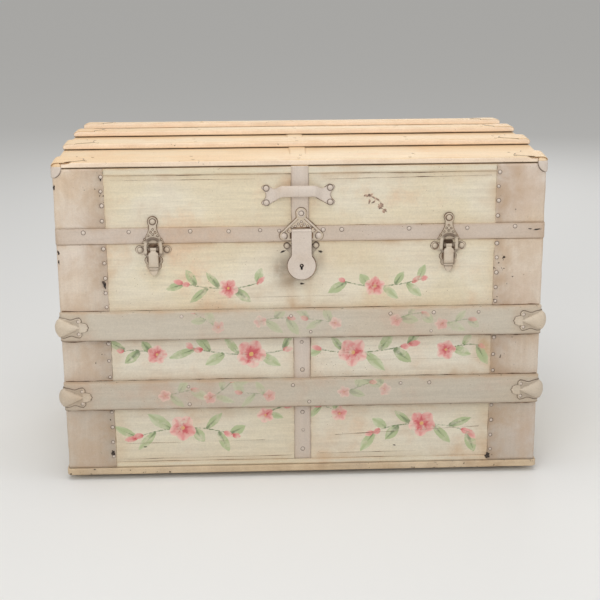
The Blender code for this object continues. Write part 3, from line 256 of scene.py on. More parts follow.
def makeStage():
    # a pale floor, a world that cameras see as near white, and area lamps that face the trunk
    data = bpy.data.meshes.new("floor")
    reach = studio["floorReach"]
    places = [(x * reach, y * reach, 0) for x, y in ((-1, -1), (1, -1), (1, 1), (-1, 1))]
    data.from_pydata(places, [], [(0, 1, 2, 3)])
    floor = bpy.data.objects.new("floor", data)
    scene.collection.objects.link(floor)
    material = bpy.data.materials.new("paleFloor")
    material.use_nodes = True
    tree = material.node_tree
    tree.nodes.clear()
    out = put(tree, "ShaderNodeOutputMaterial")
    plain = put(tree, "ShaderNodeBsdfDiffuse", {"Color": (*studio["floorColour"], 1)})
    tree.links.new(plain.outputs[0], out.inputs["Surface"])
    data.materials.append(material)
    world = bpy.data.worlds.new("studio")
    scene.world = world
    world.use_nodes = True
    tree = world.node_tree
    tree.nodes.clear()
    out = put(tree, "ShaderNodeOutputWorld")
    path = put(tree, "ShaderNodeLightPath")
    seen = mathNode(tree, "MAXIMUM", path.outputs["Is Camera Ray"], path.outputs["Is Glossy Ray"])
    seen = mathNode(tree, "MAXIMUM", seen, path.outputs["Is Transmission Ray"])
    soft = put(
        tree, "ShaderNodeBackground",
        {"Color": (*studio["worldColour"], 1), "Strength": studio["worldStrength"]},
    )
    white = put(tree, "ShaderNodeBackground", {"Color": (*studio["seenColour"], 1), "Strength": 1.0})
    both = put(tree, "ShaderNodeMixShader", {0: seen, 1: soft.outputs[0], 2: white.outputs[0]})
    tree.links.new(both.outputs[0], out.inputs["Surface"])
    middle = np.array([0, 0, 0.3])
    for name, place, size, watts in studio["lamps"]:
        lamp = bpy.data.lights.new(name, "AREA")
        lamp.energy = watts
        lamp.size = size
        holder = bpy.data.objects.new(name, lamp)
        scene.collection.objects.link(holder)
        holder.location = place
        holder.rotation_mode = "QUATERNION"
        holder.rotation_quaternion = Vector(middle - np.array(place)).to_track_quat("-Z", "Y")
    scene.view_settings.view_transform = "Standard"


def put(tree, kind, inputs=None, **settings):
    # adds a node, sets its settings, and fills its inputs with values or with links from other nodes' sockets
    made = tree.nodes.new(kind)
    for key, value in settings.items():
        setattr(made, key, value)
    for key, value in (inputs or {}).items():
        if isinstance(value, bpy.types.NodeSocket):
            tree.links.new(value, made.inputs[key])
        else:
            made.inputs[key].default_value = value
    return made


def newGroup(name, inputs, outputs):
    # an empty node group with named sockets; each is a name, a kind and, on an input, its value
    group = bpy.data.node_groups.new(name, "ShaderNodeTree")
    for label, kind, value in inputs:
        socket = group.interface.new_socket(label, in_out="INPUT", socket_type=f"NodeSocket{kind}")
        if value is not None:
            socket.default_value = value
    for label, kind in outputs:
        group.interface.new_socket(label, in_out="OUTPUT", socket_type=f"NodeSocket{kind}")
    return group, put(group, "NodeGroupInput"), put(group, "NodeGroupOutput")


def mathNode(tree, operation, *values, clamp=False):  # one sum in the node tree
    made = put(tree, "ShaderNodeMath", dict(enumerate(values)), operation=operation)
    made.use_clamp = clamp
    return made.outputs[0]


def mixColour(tree, share, first, second, blend="MIX"):  # two colours mixed by a share
    made = put(tree, "ShaderNodeMix", data_type="RGBA", blend_type=blend)
    for socket, value in ((made.inputs[0], share), (made.inputs[6], first), (made.inputs[7], second)):
        if isinstance(value, bpy.types.NodeSocket):
            tree.links.new(value, socket)
        else:
            socket.default_value = value if isinstance(value, (int, float)) else (*value, 1)
    return made.outputs[2]


def band(tree, value, low, high):  # 0 below low, 1 above high
    made = put(
        tree, "ShaderNodeMapRange", {"Value": value, "From Min": low, "From Max": high},
        interpolation_type="SMOOTHSTEP",
    )
    return made.outputs[0]


def noise(tree, vector, scale, detail, roughness=0.5, distortion=0.0):  # one noise texture's value
    values = {
        "Vector": vector,
        "Scale": scale,
        "Detail": detail,
        "Roughness": roughness,
        "Distortion": distortion,
    }
    return put(tree, "ShaderNodeTexNoise", values).outputs[0]


def readMark(tree, name):  # a float attribute of the mesh
    return put(tree, "ShaderNodeAttribute", attribute_name=name).outputs["Fac"]


def startMaterial(name):  # an empty material, its node tree and the object's own coordinates
    material = bpy.data.materials.new(name)
    material.use_nodes = True
    tree = material.node_tree
    tree.nodes.clear()
    return material, tree, put(tree, "ShaderNodeTexCoord").outputs["Object"]


def endMaterial(tree, inputs):  # a Principled BSDF with these inputs as the material's surface
    shader = put(tree, "ShaderNodeBsdfPrincipled", inputs)
    out = put(tree, "ShaderNodeOutputMaterial")
    tree.links.new(shader.outputs[0], out.inputs["Surface"])


def makeGrain():
    # long brush strokes and wood grain: noise on coordinates squeezed along the run of the board
    group, given, out = newGroup(
        "brushedGrain",
        [("Vector", "Vector", None), ("Fine", "Float", 1.0)],
        [("Tone", "Float"), ("Height", "Float")],
    )

    def streaks(scale, detail, roughness, distortion):  # noise on coordinates times scale
        values = {0: given.outputs["Vector"], 1: scale}
        squeezed = put(group, "ShaderNodeVectorMath", values, operation="MULTIPLY").outputs[0]
        return noise(group, squeezed, 1.0, detail, roughness, distortion)

    broad = streaks((9.0, 150.0, 150.0), 4.0, 0.55, 0.4)
    fine = mathNode(group, "MULTIPLY", streaks((42.0, 900.0, 900.0), 3.0, 0.6, 0.0), given.outputs["Fine"])
    group.links.new(mathNode(group, "MULTIPLY_ADD", fine, 0.5, broad), out.inputs["Tone"])
    group.links.new(mathNode(group, "MULTIPLY_ADD", fine, 0.8, broad), out.inputs["Height"])
    return group


def makeChips():
    # flaked paint: small noise over a threshold that falls near edges, and tiny specks between
    group, given, out = newGroup(
        "flakedPaint",
        [("Vector", "Vector", None), ("Edge", "Float", 0.0), ("Amount", "Float", 0.3)],
        [("Chip", "Float"), ("Speck", "Float")],
    )
    place, amount = given.outputs["Vector"], given.outputs["Amount"]
    cluster = noise(group, place, 9.0, 2.0)
    lift = mathNode(group, "MULTIPLY_ADD", given.outputs["Edge"], 0.15, noise(group, place, 115.0, 5.0, 0.62))
    lift = mathNode(group, "MULTIPLY_ADD", cluster, 0.16, lift)
    lift = mathNode(group, "MULTIPLY_ADD", amount, 0.10, lift)
    group.links.new(band(group, lift, 0.90, 0.92), out.inputs["Chip"])
    dots = put(group, "ShaderNodeTexVoronoi", {"Vector": place, "Scale": 120.0, "Randomness": 1.0})
    pick = mathNode(group, "MULTIPLY_ADD", amount, 0.04, 0.055)
    near = mathNode(group, "LESS_THAN", dots.outputs["Distance"], pick)
    some = band(group, cluster, 0.50, 0.62)
    group.links.new(mathNode(group, "MULTIPLY", near, some), out.inputs["Speck"])
    return group


def makeStains():
    # warm brown bleeding that gathers where the stain mark is high, broken up by clouds of two sizes
    group, given, out = newGroup(
        "oldStains",
        [("Vector", "Vector", None), ("Stain", "Float", 0.0), ("Amount", "Float", 0.5)],
        [("Mask", "Float"), ("Cloud", "Float"), ("Mottle", "Float")],
    )
    cloud = noise(group, given.outputs["Vector"], 5.5, 4.0, 0.6)
    mottle = noise(group, given.outputs["Vector"], 22.0, 6.0, 0.6, 0.3)
    uneven = mathNode(group, "MULTIPLY_ADD", mottle, 1.4, -0.25)
    near = mathNode(group, "MULTIPLY", given.outputs["Stain"], uneven)
    blot = mathNode(group, "MULTIPLY", band(group, cloud, 0.50, 0.72), uneven)
    both = mathNode(group, "MULTIPLY_ADD", blot, 0.72, near)
    mask = mathNode(group, "MULTIPLY", both, given.outputs["Amount"], clamp=True)
    for name, value in (("Mask", mask), ("Cloud", cloud), ("Mottle", mottle)):
        group.links.new(value, out.inputs[name])
    return group


paints = {
    "cream": {
        "base": (0.755, 0.665, 0.49),
        "pale": (0.80, 0.75, 0.625),
        "warm": (0.74, 0.55, 0.38),
        "faded": (0.80, 0.76, 0.66),
        "stain": (0.54, 0.335, 0.165),
        "stains": 0.80,
        "grain": 0.34,
        "lowShade": 0.09,
    },
    "warmCream": {
        "base": (0.815, 0.59, 0.36),
        "pale": (0.835, 0.665, 0.455),
        "warm": (0.80, 0.55, 0.33),
        "faded": (0.94, 0.785, 0.63),
        "stain": (0.60, 0.35, 0.17),
        "stains": 0.38,
        "grain": 0.20,
    },
    "greige": {
        "base": (0.63, 0.52, 0.425),
        "pale": (0.655, 0.565, 0.49),
        "warm": (0.62, 0.46, 0.34),
        "stain": (0.44, 0.29, 0.17),
        "stains": 0.55,
        "grain": 0.18,
    },
    "sheet": {
        "base": (0.775, 0.675, 0.565),
        "pale": (0.79, 0.71, 0.645),
        "warm": (0.74, 0.585, 0.435),
        "stain": (0.50, 0.315, 0.165),
        "stains": 0.72,
        "grain": 0.20,
        "lowShade": 0.24,
    },
    "strap": {
        "base": (0.70, 0.595, 0.50),
        "pale": (0.72, 0.635, 0.57),
        "warm": (0.68, 0.53, 0.40),
        "stain": (0.46, 0.30, 0.175),
        "stains": 0.66,
        "grain": 0.20,
    },
    "slat": {
        "base": (0.595, 0.515, 0.41),
        "pale": (0.60, 0.55, 0.46),
        "warm": (0.585, 0.445, 0.345),
        "stain": (0.52, 0.34, 0.20),
        "stains": 0.50,
        "grain": 0.26,
    },
    "rim": {
        "base": (0.80, 0.63, 0.425),
        "pale": (0.82, 0.68, 0.50),
        "warm": (0.64, 0.45, 0.28),
        "stain": (0.30, 0.18, 0.09),
        "stains": 0.55,
        "grain": 0.18,
    },
    "grip": {
        "base": (0.70, 0.605, 0.525),
        "pale": (0.72, 0.635, 0.56),
        "warm": (0.68, 0.565, 0.465),
        "stain": (0.40, 0.27, 0.17),
        "stains": 0.30,
        "grain": 0.10,
    },
    "casting": {
        "base": (0.66, 0.555, 0.43),
        "pale": (0.70, 0.615, 0.505),
        "warm": (0.62, 0.48, 0.345),
        "stain": (0.30, 0.185, 0.105),
        "stains": 0.50,
        "grain": 0.10,
    },
}
flakes = {"dark": (0.055, 0.035, 0.022), "rust": (0.20, 0.095, 0.04), "grimeAndShade": (0.085, 0.048, 0.028)}
artColours = {
    "petal": (0.74, 0.29, 0.28),
    "petalDeep": (0.60, 0.075, 0.10),
    "petalPale": (0.84, 0.56, 0.49),
    "heart": (0.72, 0.47, 0.17),
    "leaf": (0.42, 0.49, 0.27),
    "leafDeep": (0.17, 0.235, 0.115),
    "leafPale": (0.58, 0.62, 0.42),
}


def addArt(tree, colour, coordinates, strength):
    # thin flower paint: the marks hold how far a point lies inside a petal, leaf or stem, cut by fine noise
    dab = noise(tree, coordinates, 240.0, 3.0, 0.6)
    thin = noise(tree, coordinates, 60.0, 4.0, 0.6)
    rag = mathNode(tree, "MULTIPLY_ADD", dab, 0.36, -0.18)
    cover = mathNode(tree, "MULTIPLY", band(tree, thin, 0.22, 0.56), strength)

    def layer(under, mark, paint):  # paint over what is under it, where its mark is high
        inside = band(tree, mathNode(tree, "ADD", readMark(tree, mark), rag), 0.44, 0.58)
        return mixColour(tree, mathNode(tree, "MULTIPLY", inside, cover), under, paint)

    def toned(kind, dark, pale):  # the colour, its deep shade at low tones and its pale one at high tones
        tone = readMark(tree, f"{kind}Tone")
        paint = mixColour(tree, band(tree, tone, *dark), artColours[kind], artColours[f"{kind}Deep"])
        return mixColour(tree, band(tree, tone, *pale), paint, artColours[f"{kind}Pale"])

    colour = layer(colour, "leafMark", toned("leaf", (0.35, 0.0), (0.6, 1.0)))
    colour = layer(colour, "stemMark", artColours["leafDeep"])
    colour = layer(colour, "petalMark", toned("petal", (0.45, 0.05), (0.55, 0.95)))
    return layer(colour, "heartMark", artColours["heart"])


def agedPaint(name, look, flake, metal=False, art=0.0, run="x", rough=0.56):
    # base paint, cloudy tint, brush grain, painted shade towards the bottom, brown stains, dark flakes and
    # specks, over one Principled BSDF
    material, tree, place = startMaterial(name)
    paint = paints[look]
    edge = readMark(tree, "edge")
    turned = place
    if run != "x":
        parts = put(tree, "ShaderNodeSeparateXYZ", {0: place})
        order = {"y": (1, 0, 2), "z": (2, 1, 0)}[run]
        turned = put(tree, "ShaderNodeCombineXYZ", {k: parts.outputs[order[k]] for k in range(3)}).outputs[0]
    given = {"Vector": turned, "Fine": 0.4 if metal else 1.0}
    grain = put(tree, "ShaderNodeGroup", given, node_tree=groups["grain"])
    given = {"Vector": place, "Stain": readMark(tree, "stain"), "Amount": paint["stains"]}
    marks = put(tree, "ShaderNodeGroup", given, node_tree=groups["stains"])
    given = {"Vector": place, "Edge": edge, "Amount": flake}
    chips = put(tree, "ShaderNodeGroup", given, node_tree=groups["chips"])
    mottle, chip = marks.outputs["Mottle"], chips.outputs["Chip"]
    colour = mixColour(tree, band(tree, marks.outputs["Cloud"], 0.40, 0.66), paint["base"], paint["pale"])
    drift = noise(tree, turned, 8.0, 5.0, 0.62)
    colour = mixColour(tree, band(tree, drift, 0.50, 0.74), colour, paint["warm"])
    if "faded" in paint:
        colour = mixColour(tree, readMark(tree, "fade"), colour, paint["faded"])
    streak = mathNode(tree, "MULTIPLY_ADD", grain.outputs["Tone"], paint["grain"], 1 - 0.76 * paint["grain"])
    # painted shade: darker towards the bottom by the paint's lowShade, standing for less light on the lower
    # parts
    low = band(tree, put(tree, "ShaderNodeSeparateXYZ", {0: place}).outputs[2], 0.40, 0.02)
    shade = mathNode(tree, "MULTIPLY_ADD", low, -paint.get("lowShade", 0.13), 1.0)
    streak = mathNode(tree, "MULTIPLY", streak, shade)
    tooth = mathNode(tree, "MULTIPLY_ADD", noise(tree, place, 380.0, 3.0, 0.7), 0.34, 0.83)
    streak = mathNode(tree, "MULTIPLY", streak, tooth)
    grey = put(tree, "ShaderNodeCombineColor", {0: streak, 1: streak, 2: streak}).outputs[0]
    colour = mixColour(tree, 1.0, colour, grey, "MULTIPLY")
    colour = mixColour(tree, mathNode(tree, "MULTIPLY", marks.outputs["Mask"], 0.85), colour, paint["stain"])
    if art:
        colour = addArt(tree, colour, place, art)
    worn = mathNode(tree, "MULTIPLY", edge, band(tree, mottle, 0.38, 0.62))
    colour = mixColour(tree, mathNode(tree, "MULTIPLY", worn, 0.32), colour, paint["stain"])
    # the seam mark: dirt in joints, and in places painted shade and shadow, under slats, on the levers'
    # sides, behind the bails and beside the hasp
    seam = mathNode(tree, "MULTIPLY", readMark(tree, "seam"), band(tree, mottle, 0.20, 0.50))
    colour = mixColour(tree, mathNode(tree, "MULTIPLY", seam, 0.85), colour, flakes["grimeAndShade"])
    colour = mixColour(tree, chips.outputs["Speck"], colour, flakes["rust"])
    colour = mixColour(tree, chip, colour, flakes["dark"])
    rougher = mathNode(tree, "MULTIPLY_ADD", mottle, 0.22, rough - 0.11)
    rougher = mathNode(tree, "MULTIPLY_ADD", chip, 0.2, rougher)
    height = mathNode(tree, "MULTIPLY_ADD", grain.outputs["Height"], 0.12 if metal else 0.35, mottle)
    height = mathNode(tree, "MULTIPLY_ADD", chip, -1.6, height)
    bump = put(tree, "ShaderNodeBump", {"Height": height, "Strength": 0.35, "Distance": 0.0006})
    endMaterial(tree, {
        "Base Color": colour,
        "Roughness": rougher,
        "Normal": bump.outputs[0],
        "Specular IOR Level": 0.34,
    })
    return material


groups = {"grain": makeGrain(), "chips": makeChips(), "stains": makeStains()}
makeCamera()
makeStage()
finish = {
    "panel": agedPaint("creamPanelPaint", "cream", flake=0.25),
    "artPanel": agedPaint("flowerPanelPaint", "cream", art=0.92, flake=0.3),
    "endPanel": agedPaint("creamEndPaint", "cream", run="y", flake=0.3),
    "top": agedPaint("warmTopPaint", "warmCream", flake=0.4),
    "sheet": agedPaint("greigeSheetPaint", "sheet", metal=True, run="z", flake=0.12),
    "strap": agedPaint("greigeStrapPaint", "strap", metal=True, run="z", flake=0.12),
    "bandPaint": agedPaint("greigeBandPaint", "greige", metal=True, flake=0.3),
    "slat": agedPaint("greigeSlatPaint", "slat", art=0.5, flake=0.3),
    "casting": agedPaint("castingPaint", "casting", metal=True, flake=0.35, rough=0.5),
}
print("stage and finishes ready")


# Painted flowers: marks worked out on the front boards' grids
art = {
    "seed": 23,
    "blossom": 0.0125,  # radius of an open flower
    "leaf": (0.0125, 0.0052),  # half length and half width
    "stem": 0.0008,
}


class Painting:
    # fields over a regular grid of x and z; each dab keeps the higher of the old and the new value
    def __init__(self, xs, zs):
        self.xs, self.zs = xs, zs
        names = ("leafMark", "leafTone", "stemMark", "petalMark", "petalTone", "heartMark")
        self.fields = {name: np.zeros((len(xs), len(zs))) for name in names}

    def dab(self, kind, x, z, angle, long, wide, tone=0.5, pointed=0.0, vein=0.0, over=False):
        # an oval, or with pointed a lance: 1 less the distance from its middle as a share of its half sizes
        reach = 1.4 * max(long, wide)
        rows = slice(*np.searchsorted(self.xs, (x - reach, x + reach)))
        columns = slice(*np.searchsorted(self.zs, (z - reach, z + reach)))
        across, up = np.meshgrid(self.xs[rows] - x, self.zs[columns] - z, indexing="ij")
        along = (across * math.cos(angle) + up * math.sin(angle)) / long
        side = (up * math.cos(angle) - across * math.sin(angle)) / wide
        narrowing = 1 - pointed * np.clip(along, -1, 1) ** 2 * (0.55 + 0.45 * np.clip(along, -1, 1))
        inside = 1 - np.sqrt(along ** 2 + (side / np.maximum(narrowing, 0.12)) ** 2)
        value = np.clip(0.5 + inside * min(long, wide) / 0.006, 0, 1)
        old = self.fields[f"{kind}Mark"][rows, columns]
        if kind in ("leaf", "petal"):
            shade = tone + 0.34 * along - vein * np.exp(-((side * 5) ** 2)) + 0.16 * np.abs(side)
            tones = self.fields[f"{kind}Tone"]
            newer = (value > 0.5) if over else (value > old)
            tones[rows, columns] = np.where(newer, np.clip(shade, 0, 1), tones[rows, columns])
        self.fields[f"{kind}Mark"][rows, columns] = np.maximum(old, value)

    def stem(self, points):
        # a thin line: dabs in a row, each turned along it
        for start, end in zip(points[:-1], points[1:]):
            middle = (start + end) / 2
            step = end - start
            length = np.linalg.norm(step)
            self.dab("stem", *middle, math.atan2(step[1], step[0]), length * 0.75, art["stem"] * 1.6)

    def blossom(self, x, z, size, turn, random):
        # five broad petals round a small heart; a large flower has a second, darker ring of five between them
        petals = 5
        # distance out, half length, half width, lowest and highest tone
        rings = [(0.54, 0.49, 0.46, 0.42, 0.80)]
        if size > 0.018:
            rings.append((0.36, 0.32, 0.22, 0.05, 0.32))
        for ring, (away, long, wide, pale, deep) in enumerate(rings):
            for number in range(petals):
                angle = turn + 2 * math.pi * (number + 0.5 * ring) / petals + random.uniform(-0.12, 0.12)
                far = size * away * random.uniform(0.92, 1.06)
                place = (x + far * math.cos(angle), z + far * math.sin(angle))
                tone = random.uniform(pale, deep)
                across = size * wide * random.uniform(0.9, 1.08)
                self.dab("petal", *place, angle, size * long, across, tone, vein=0.25, over=ring)
        self.dab("heart", x, z, turn, size * 0.15, size * 0.15)

    def sprig(self, x, z, heading, length, bend, random, leaves, flower, buds, size):
        # a stem that bends evenly, leaves left and right of it, a flower at its root and buds at its tip
        share = np.linspace(0, 1, 13)
        turned = heading + bend * share
        steps = np.stack([np.cos(turned), np.sin(turned)], axis=1) * length / 12
        line = np.array([x, z]) + np.vstack([[0, 0], np.cumsum(steps[:-1], axis=0)])
        self.stem(line)
        for number in range(leaves):
            at = 2 + int(9 * number / max(leaves - 1, 1))
            side = 1 if number % 2 else -1
            angle = turned[at] + side * random.uniform(0.55, 0.95)
            long = art["leaf"][0] * size * random.uniform(0.75, 1.25)
            wide = art["leaf"][1] * size * random.uniform(0.8, 1.25)
            place = line[at] + long * 1.05 * np.array([math.cos(angle), math.sin(angle)])
            self.dab("leaf", *place, angle, long, wide, random.uniform(0.25, 0.75), 0.75, 0.45)
        for number in range(buds):
            at = line[-1 - 2 * number]
            angle = turned[-1 - 2 * number] + random.uniform(-0.5, 0.5)
            far = at + 0.005 * np.array([math.cos(angle), math.sin(angle)])
            long = 0.0062 * size * random.uniform(0.8, 1.2)
            self.dab("petal", *far, angle, long, 0.0034 * size, random.uniform(0.2, 0.6), 0.5)
        if flower:
            self.blossom(x, z, art["blossom"] * flower, random.uniform(0, 1.2), random)


def paintCaseFront(painting):
    # sprigs and small blossoms spread as a loose border, mirrored about the strap with small differences
    random = np.random.default_rng(art["seed"])
    for side in (-1, 1):
        lean = math.pi / 2 - side * math.pi / 2
        shift = side * 0.003
        painting.sprig(side * 0.128 + shift, 0.362, lean, 0.085, side * 0.3, random, 4, 0, 2, 1.45)
        painting.sprig(
            side * 0.128 + shift, 0.362, math.pi - lean, 0.056, side * -0.4, random, 2, 1.45, 1, 1.35
        )
        painting.sprig(side * 0.096, 0.238, lean, 0.105, side * 0.30, random, 4, 0, 2, 1.7)
        painting.sprig(side * 0.088, 0.238, math.pi - lean, 0.058, side * -0.3, random, 2, 0, 1, 1.5)
        painting.blossom(side * 0.092, 0.238, art["blossom"] * 2.15, 0.4 + 0.5 * side, random)
        painting.sprig(side * 0.262, 0.240, lean + side * 0.4, 0.062, side * -0.6, random, 3, 1.45, 1, 1.4)
        painting.sprig(side * 0.225, 0.096, lean, 0.088, side * -0.45, random, 3, 0, 2, 1.7)
        painting.sprig(side * 0.215, 0.098, math.pi - lean, 0.090, side * 0.4, random, 4, 0, 2, 1.6)
        painting.blossom(side * 0.220, 0.098, art["blossom"] * 2.0, 0.9, random)
        painting.sprig(
            side * 0.068, 0.120, math.pi / 2 + side * 0.9, 0.040, side * 0.5, random, 2, 1.2, 1, 1.3
        )


def stainsNear(x, z, uprights, levels, spread=0.014):
    # 1 on a line and fading off it: upright lines at places in x, level ones at places in z
    value = np.zeros(np.broadcast(x, z).shape)
    for place in uprights:
        value = np.maximum(value, np.exp(-np.abs(x - place) / spread))
    for place in levels:
        value = np.maximum(value, 0.9 * np.exp(-np.abs(z - place) / spread))
    return value


def spread(low, high, step):  # even places from low to high, about a step apart
    return np.linspace(low, high, max(2, int(round((high - low) / step)) + 1))


boards = {
    "thickness": 0.012,
    "edge": 0.0009,  # radius of the softened edges
    "grid": 0.0023,  # spacing of points on the two painted fronts
    "plainGrid": 0.006,
    "ripple": 0.00022,
    "topThickness": 0.009,
    "gap": 0.0003,
    "cornerRadius": 0.004,
}
caseLines = {
    "sheetX": 0.3445,  # inner edge of the corner metal
    "stripTop": nodeBox("base_rim")[1][2],
    "slats": [nodeBox(f"case_slat_front_{row}")[k][2] for row in ("lower", "upper") for k in (0, 1)],
    "strapX": 0.0155,
}


def faceSection(front, back, low, high, step, edge):
    # a closed outline in depth and height: a face split into steps, its softened edges and a plain back
    sign = 1 if back > front else -1
    heights = spread(low + edge, high - edge, step)
    face = np.stack([np.full(len(heights), front), heights], axis=1)
    rear = np.stack([np.full(2, back), [high, low]], axis=1)
    top = arcPoints(0, 0, 1, 0, 90, 2)[1:] * edge
    upper = np.stack([front + sign * (edge - top[:, 0]), high - edge + top[:, 1]], axis=1)
    lower = np.stack([front + sign * (edge - top[::-1, 0]), low + edge - top[::-1, 1]], axis=1)
    return np.vstack([face, upper, rear, lower]), len(heights)


def carried(stations, outline, axis):
    # a closed outline of two coordinates repeated at stations along an axis
    stations = np.asarray(stations, float)
    along = np.broadcast_to(stations[:, None], (len(stations), len(outline)))
    first = np.broadcast_to(outline[:, 0], along.shape)
    second = np.broadcast_to(outline[:, 1], along.shape)
    order = {"x": (along, first, second), "y": (first, along, second), "z": (first, second, along)}
    return np.stack(order[axis], axis=-1)


def roundCorners(points, limit, radius, face, back):
    # draws the face of a board back near its ends, on a quarter circle seen from above
    over = np.clip(np.abs(points[..., 0]) - (limit - radius), 0, radius)
    backOff = radius - np.sqrt(np.maximum(radius ** 2 - over ** 2, 0))
    share = np.clip((points[..., 1] - back) / (face - back), 0, 1)
    points[..., 1] += np.sign(back - face) * backOff * share
    return points


smears = {  # on the case's front: x, z, half width, half height and strength
    "shadowSmudges": (  # left of the lock and right of its keeper: dirt and painted shadow beside the hasp's disc
        (-0.034, 0.398, 0.017, 0.026, 0.62),
        (-0.022, 0.374, 0.026, 0.014, 0.50),
        (0.034, 0.412, 0.009, 0.020, 0.30),
    ),
    "clouds": (  # warm stains under the lid, beside the metal and above the base
        (0.06, 0.425, 0.16, 0.040, 0.62),
        (-0.16, 0.432, 0.09, 0.026, 0.45),
        (0.20, 0.418, 0.07, 0.030, 0.45),
        *((side * 0.338, level, 0.020, 0.050, 0.95) for side in (-1, 1) for level in (0.055, 0.125, 0.235)),
        *((place, 0.034, 0.11, 0.016, 0.80) for place in (-0.24, 0.02, 0.25)),
    ),
}


def softSpots(x, z, spots):  # a bell curve about each spot's middle, the strongest kept
    made = [
        share * np.exp(-((x - spotX) / wide) ** 2 - ((z - spotZ) / tall) ** 2)
        for spotX, spotZ, wide, tall, share in spots
    ]
    return np.max(made, axis=0)


def makeFrontBoard(name, node, body, painter, low, high, seams, smudged=False):
    # a face of many points with a painting's marks on it, soft edges and round ends
    edge, step = boards["edge"], boards["grid"]
    face = -trunk["boardY"]
    back = face + boards["thickness"]
    outline, count = faceSection(face, back, low, high, step, edge)
    xs = spread(-trunk["boardX"], trunk["boardX"], step)
    points = carried(xs, outline, "x")
    points = roundCorners(points, trunk["boardX"], boards["cornerRadius"], face, back)
    x, z = points[..., 0], points[..., 2]
    skin = np.zeros(x.shape)
    skin[:, :count] = 1
    points[..., 1] += skin * boards["ripple"] * (
        ripple(points, 5, 0.12) + 0.6 * ripple(points * (1, 1, 6), 6, 0.09)
    )
    painting = Painting(xs, outline[:count, 1])
    painter(painting)
    marks = {}
    for key, field in painting.fields.items():
        marks[key] = np.zeros(x.shape)
        marks[key][:, :count] = field
    marks["stain"] = stainsNear(x, z, *seams)
    marks["edge"] = smoothStep(0.006, 0.0, np.minimum(z - low, high - z)) * 0.8
    if smudged:
        # the smudges beside the hasp go in through the seam mark: dirt and painted shadow
        marks["seam"] = softSpots(x, z, smears["shadowSmudges"])
        marks["stain"] = np.maximum(marks["stain"], softSpots(x, z, smears["clouds"]))
        lowSlat, midLow, midHigh = caseLines["slats"][:3]
        marks["fade"] = 0.60 * (z > midLow) * (z < midHigh) + 0.22 * (z < lowSlat)
    board = loft(points, **marks)
    makePiece(name, board, "artPanel", body, node)


def makePlainBoard(name, node, body, look, low, high, end=False):
    # a back or an end: the same outline carried along x, or along y for an end
    edge, step = boards["edge"], boards["plainGrid"]
    box = nodeBox(node)
    sign = 1 if box[0][0 if end else 1] > 0 else -1
    outer, inner = (box[1], box[0]) if sign > 0 else (box[0], box[1])
    axis = 0 if end else 1
    outline, count = faceSection(outer[axis], inner[axis], low, high, step, edge)
    along = 1 - axis
    points = carried(spread(box[0][along], box[1][along], step), outline, "y" if end else "x")
    if end:
        z = points[..., 2]
        if high > trunk["caseTop"]:
            rise = crownZ(points[..., 1]) - boards["topThickness"] - boards["gap"] - high
            points[..., 2] = z + rise * smoothStep(low, high, z)
    else:
        points = roundCorners(points, trunk["boardX"], boards["cornerRadius"], outer[1], inner[1])
    points[..., axis] += sign * boards["ripple"] * ripple(points, 11 + axis, 0.1) * (
        np.arange(len(outline)) < count
    )
    uprights = [side * (trunk["sheetY" if end else "sheetX"] - 0.088) for side in (-1, 1)]
    levels = [low, high]
    if high < partingZ:
        levels += caseLines["slats"]
    stain = stainsNear(points[..., along], points[..., 2], uprights, levels)
    makePiece(name, loft(points, stain=stain, edge=stain * 0.2), look, body, node)


def makeLidTop():
    # a slab bowed over its depth: the bow follows the crown, and its plan has round corners
    thickness, step = boards["topThickness"], boards["plainGrid"]
    ys = spread(-1, 1, step / trunk["boardY"])
    outline = np.vstack([
        np.stack([ys, np.zeros(len(ys))], axis=1),
        [[1, -thickness / 2]],
        np.stack([ys[::-4], np.full(len(ys[::-4]), -thickness)], axis=1),
        [[-1, -thickness / 2]],
    ])
    xs = np.concatenate(
        [
            [-trunk["boardX"]], spread(-trunk["boardX"] + 0.0005, trunk["boardX"] - 0.0005, step),
            [trunk["boardX"]],
        ]
    )
    points = carried(xs, outline, "x")
    radius = boards["cornerRadius"]
    over = np.clip(np.abs(xs) - (trunk["boardX"] - radius), 0, radius)
    half = trunk["boardY"] - radius + np.sqrt(radius ** 2 - over ** 2)
    points[..., 1] *= half[:, None]
    points[..., 2] += crownZ(points[..., 1]) + 0.0002 * ripple(points, 17, 0.1) - 0.0002
    stain = stainsNear(
        points[..., 0], points[..., 1], (-trunk["boardX"], trunk["boardX"]), topSlats["edges"], 0.008
    )
    makePiece("lidTopBoards", loft(points, stain=stain), "top", "lid", "lid_top")


topSlats = {
    "width": 0.046,
    "thickness": 0.0105,
    "round": 0.0026,
    "count": 4,
    "level": 0.0014,  # over the top boards, to clear the strap
    "step": 0.007,
    "nose": (0.010, 0.0058),  # how far from its ends a slat's top falls off, and how deep
}
slatPitch = (2 * trunk["sheetY"] - topSlats["width"]) / (topSlats["count"] - 1)
topSlats["middles"] = [
    -trunk["sheetY"] + topSlats["width"] / 2 + k * slatPitch for k in range(topSlats["count"])
]
topSlats["edges"] = [m + s * topSlats["width"] / 2 for m in topSlats["middles"] for s in (-1, 1)]


def onSlat(y, across, up):
    # a place on a top slat: across from its middle line and up from the boards, turned with the crown
    tilt = math.atan(-2 * trunk["crown"] * y / trunk["sheetY"] ** 2)
    deep = y + across * math.cos(tilt) - up * math.sin(tilt)
    return deep, crownZ(y) + across * math.sin(tilt) + up * math.cos(tilt)


def denseBox(width, height, radius, step):  # a round-cornered rectangle with its sides split into steps
    return alongLoop(roundBox(width, height, radius, 3), step)


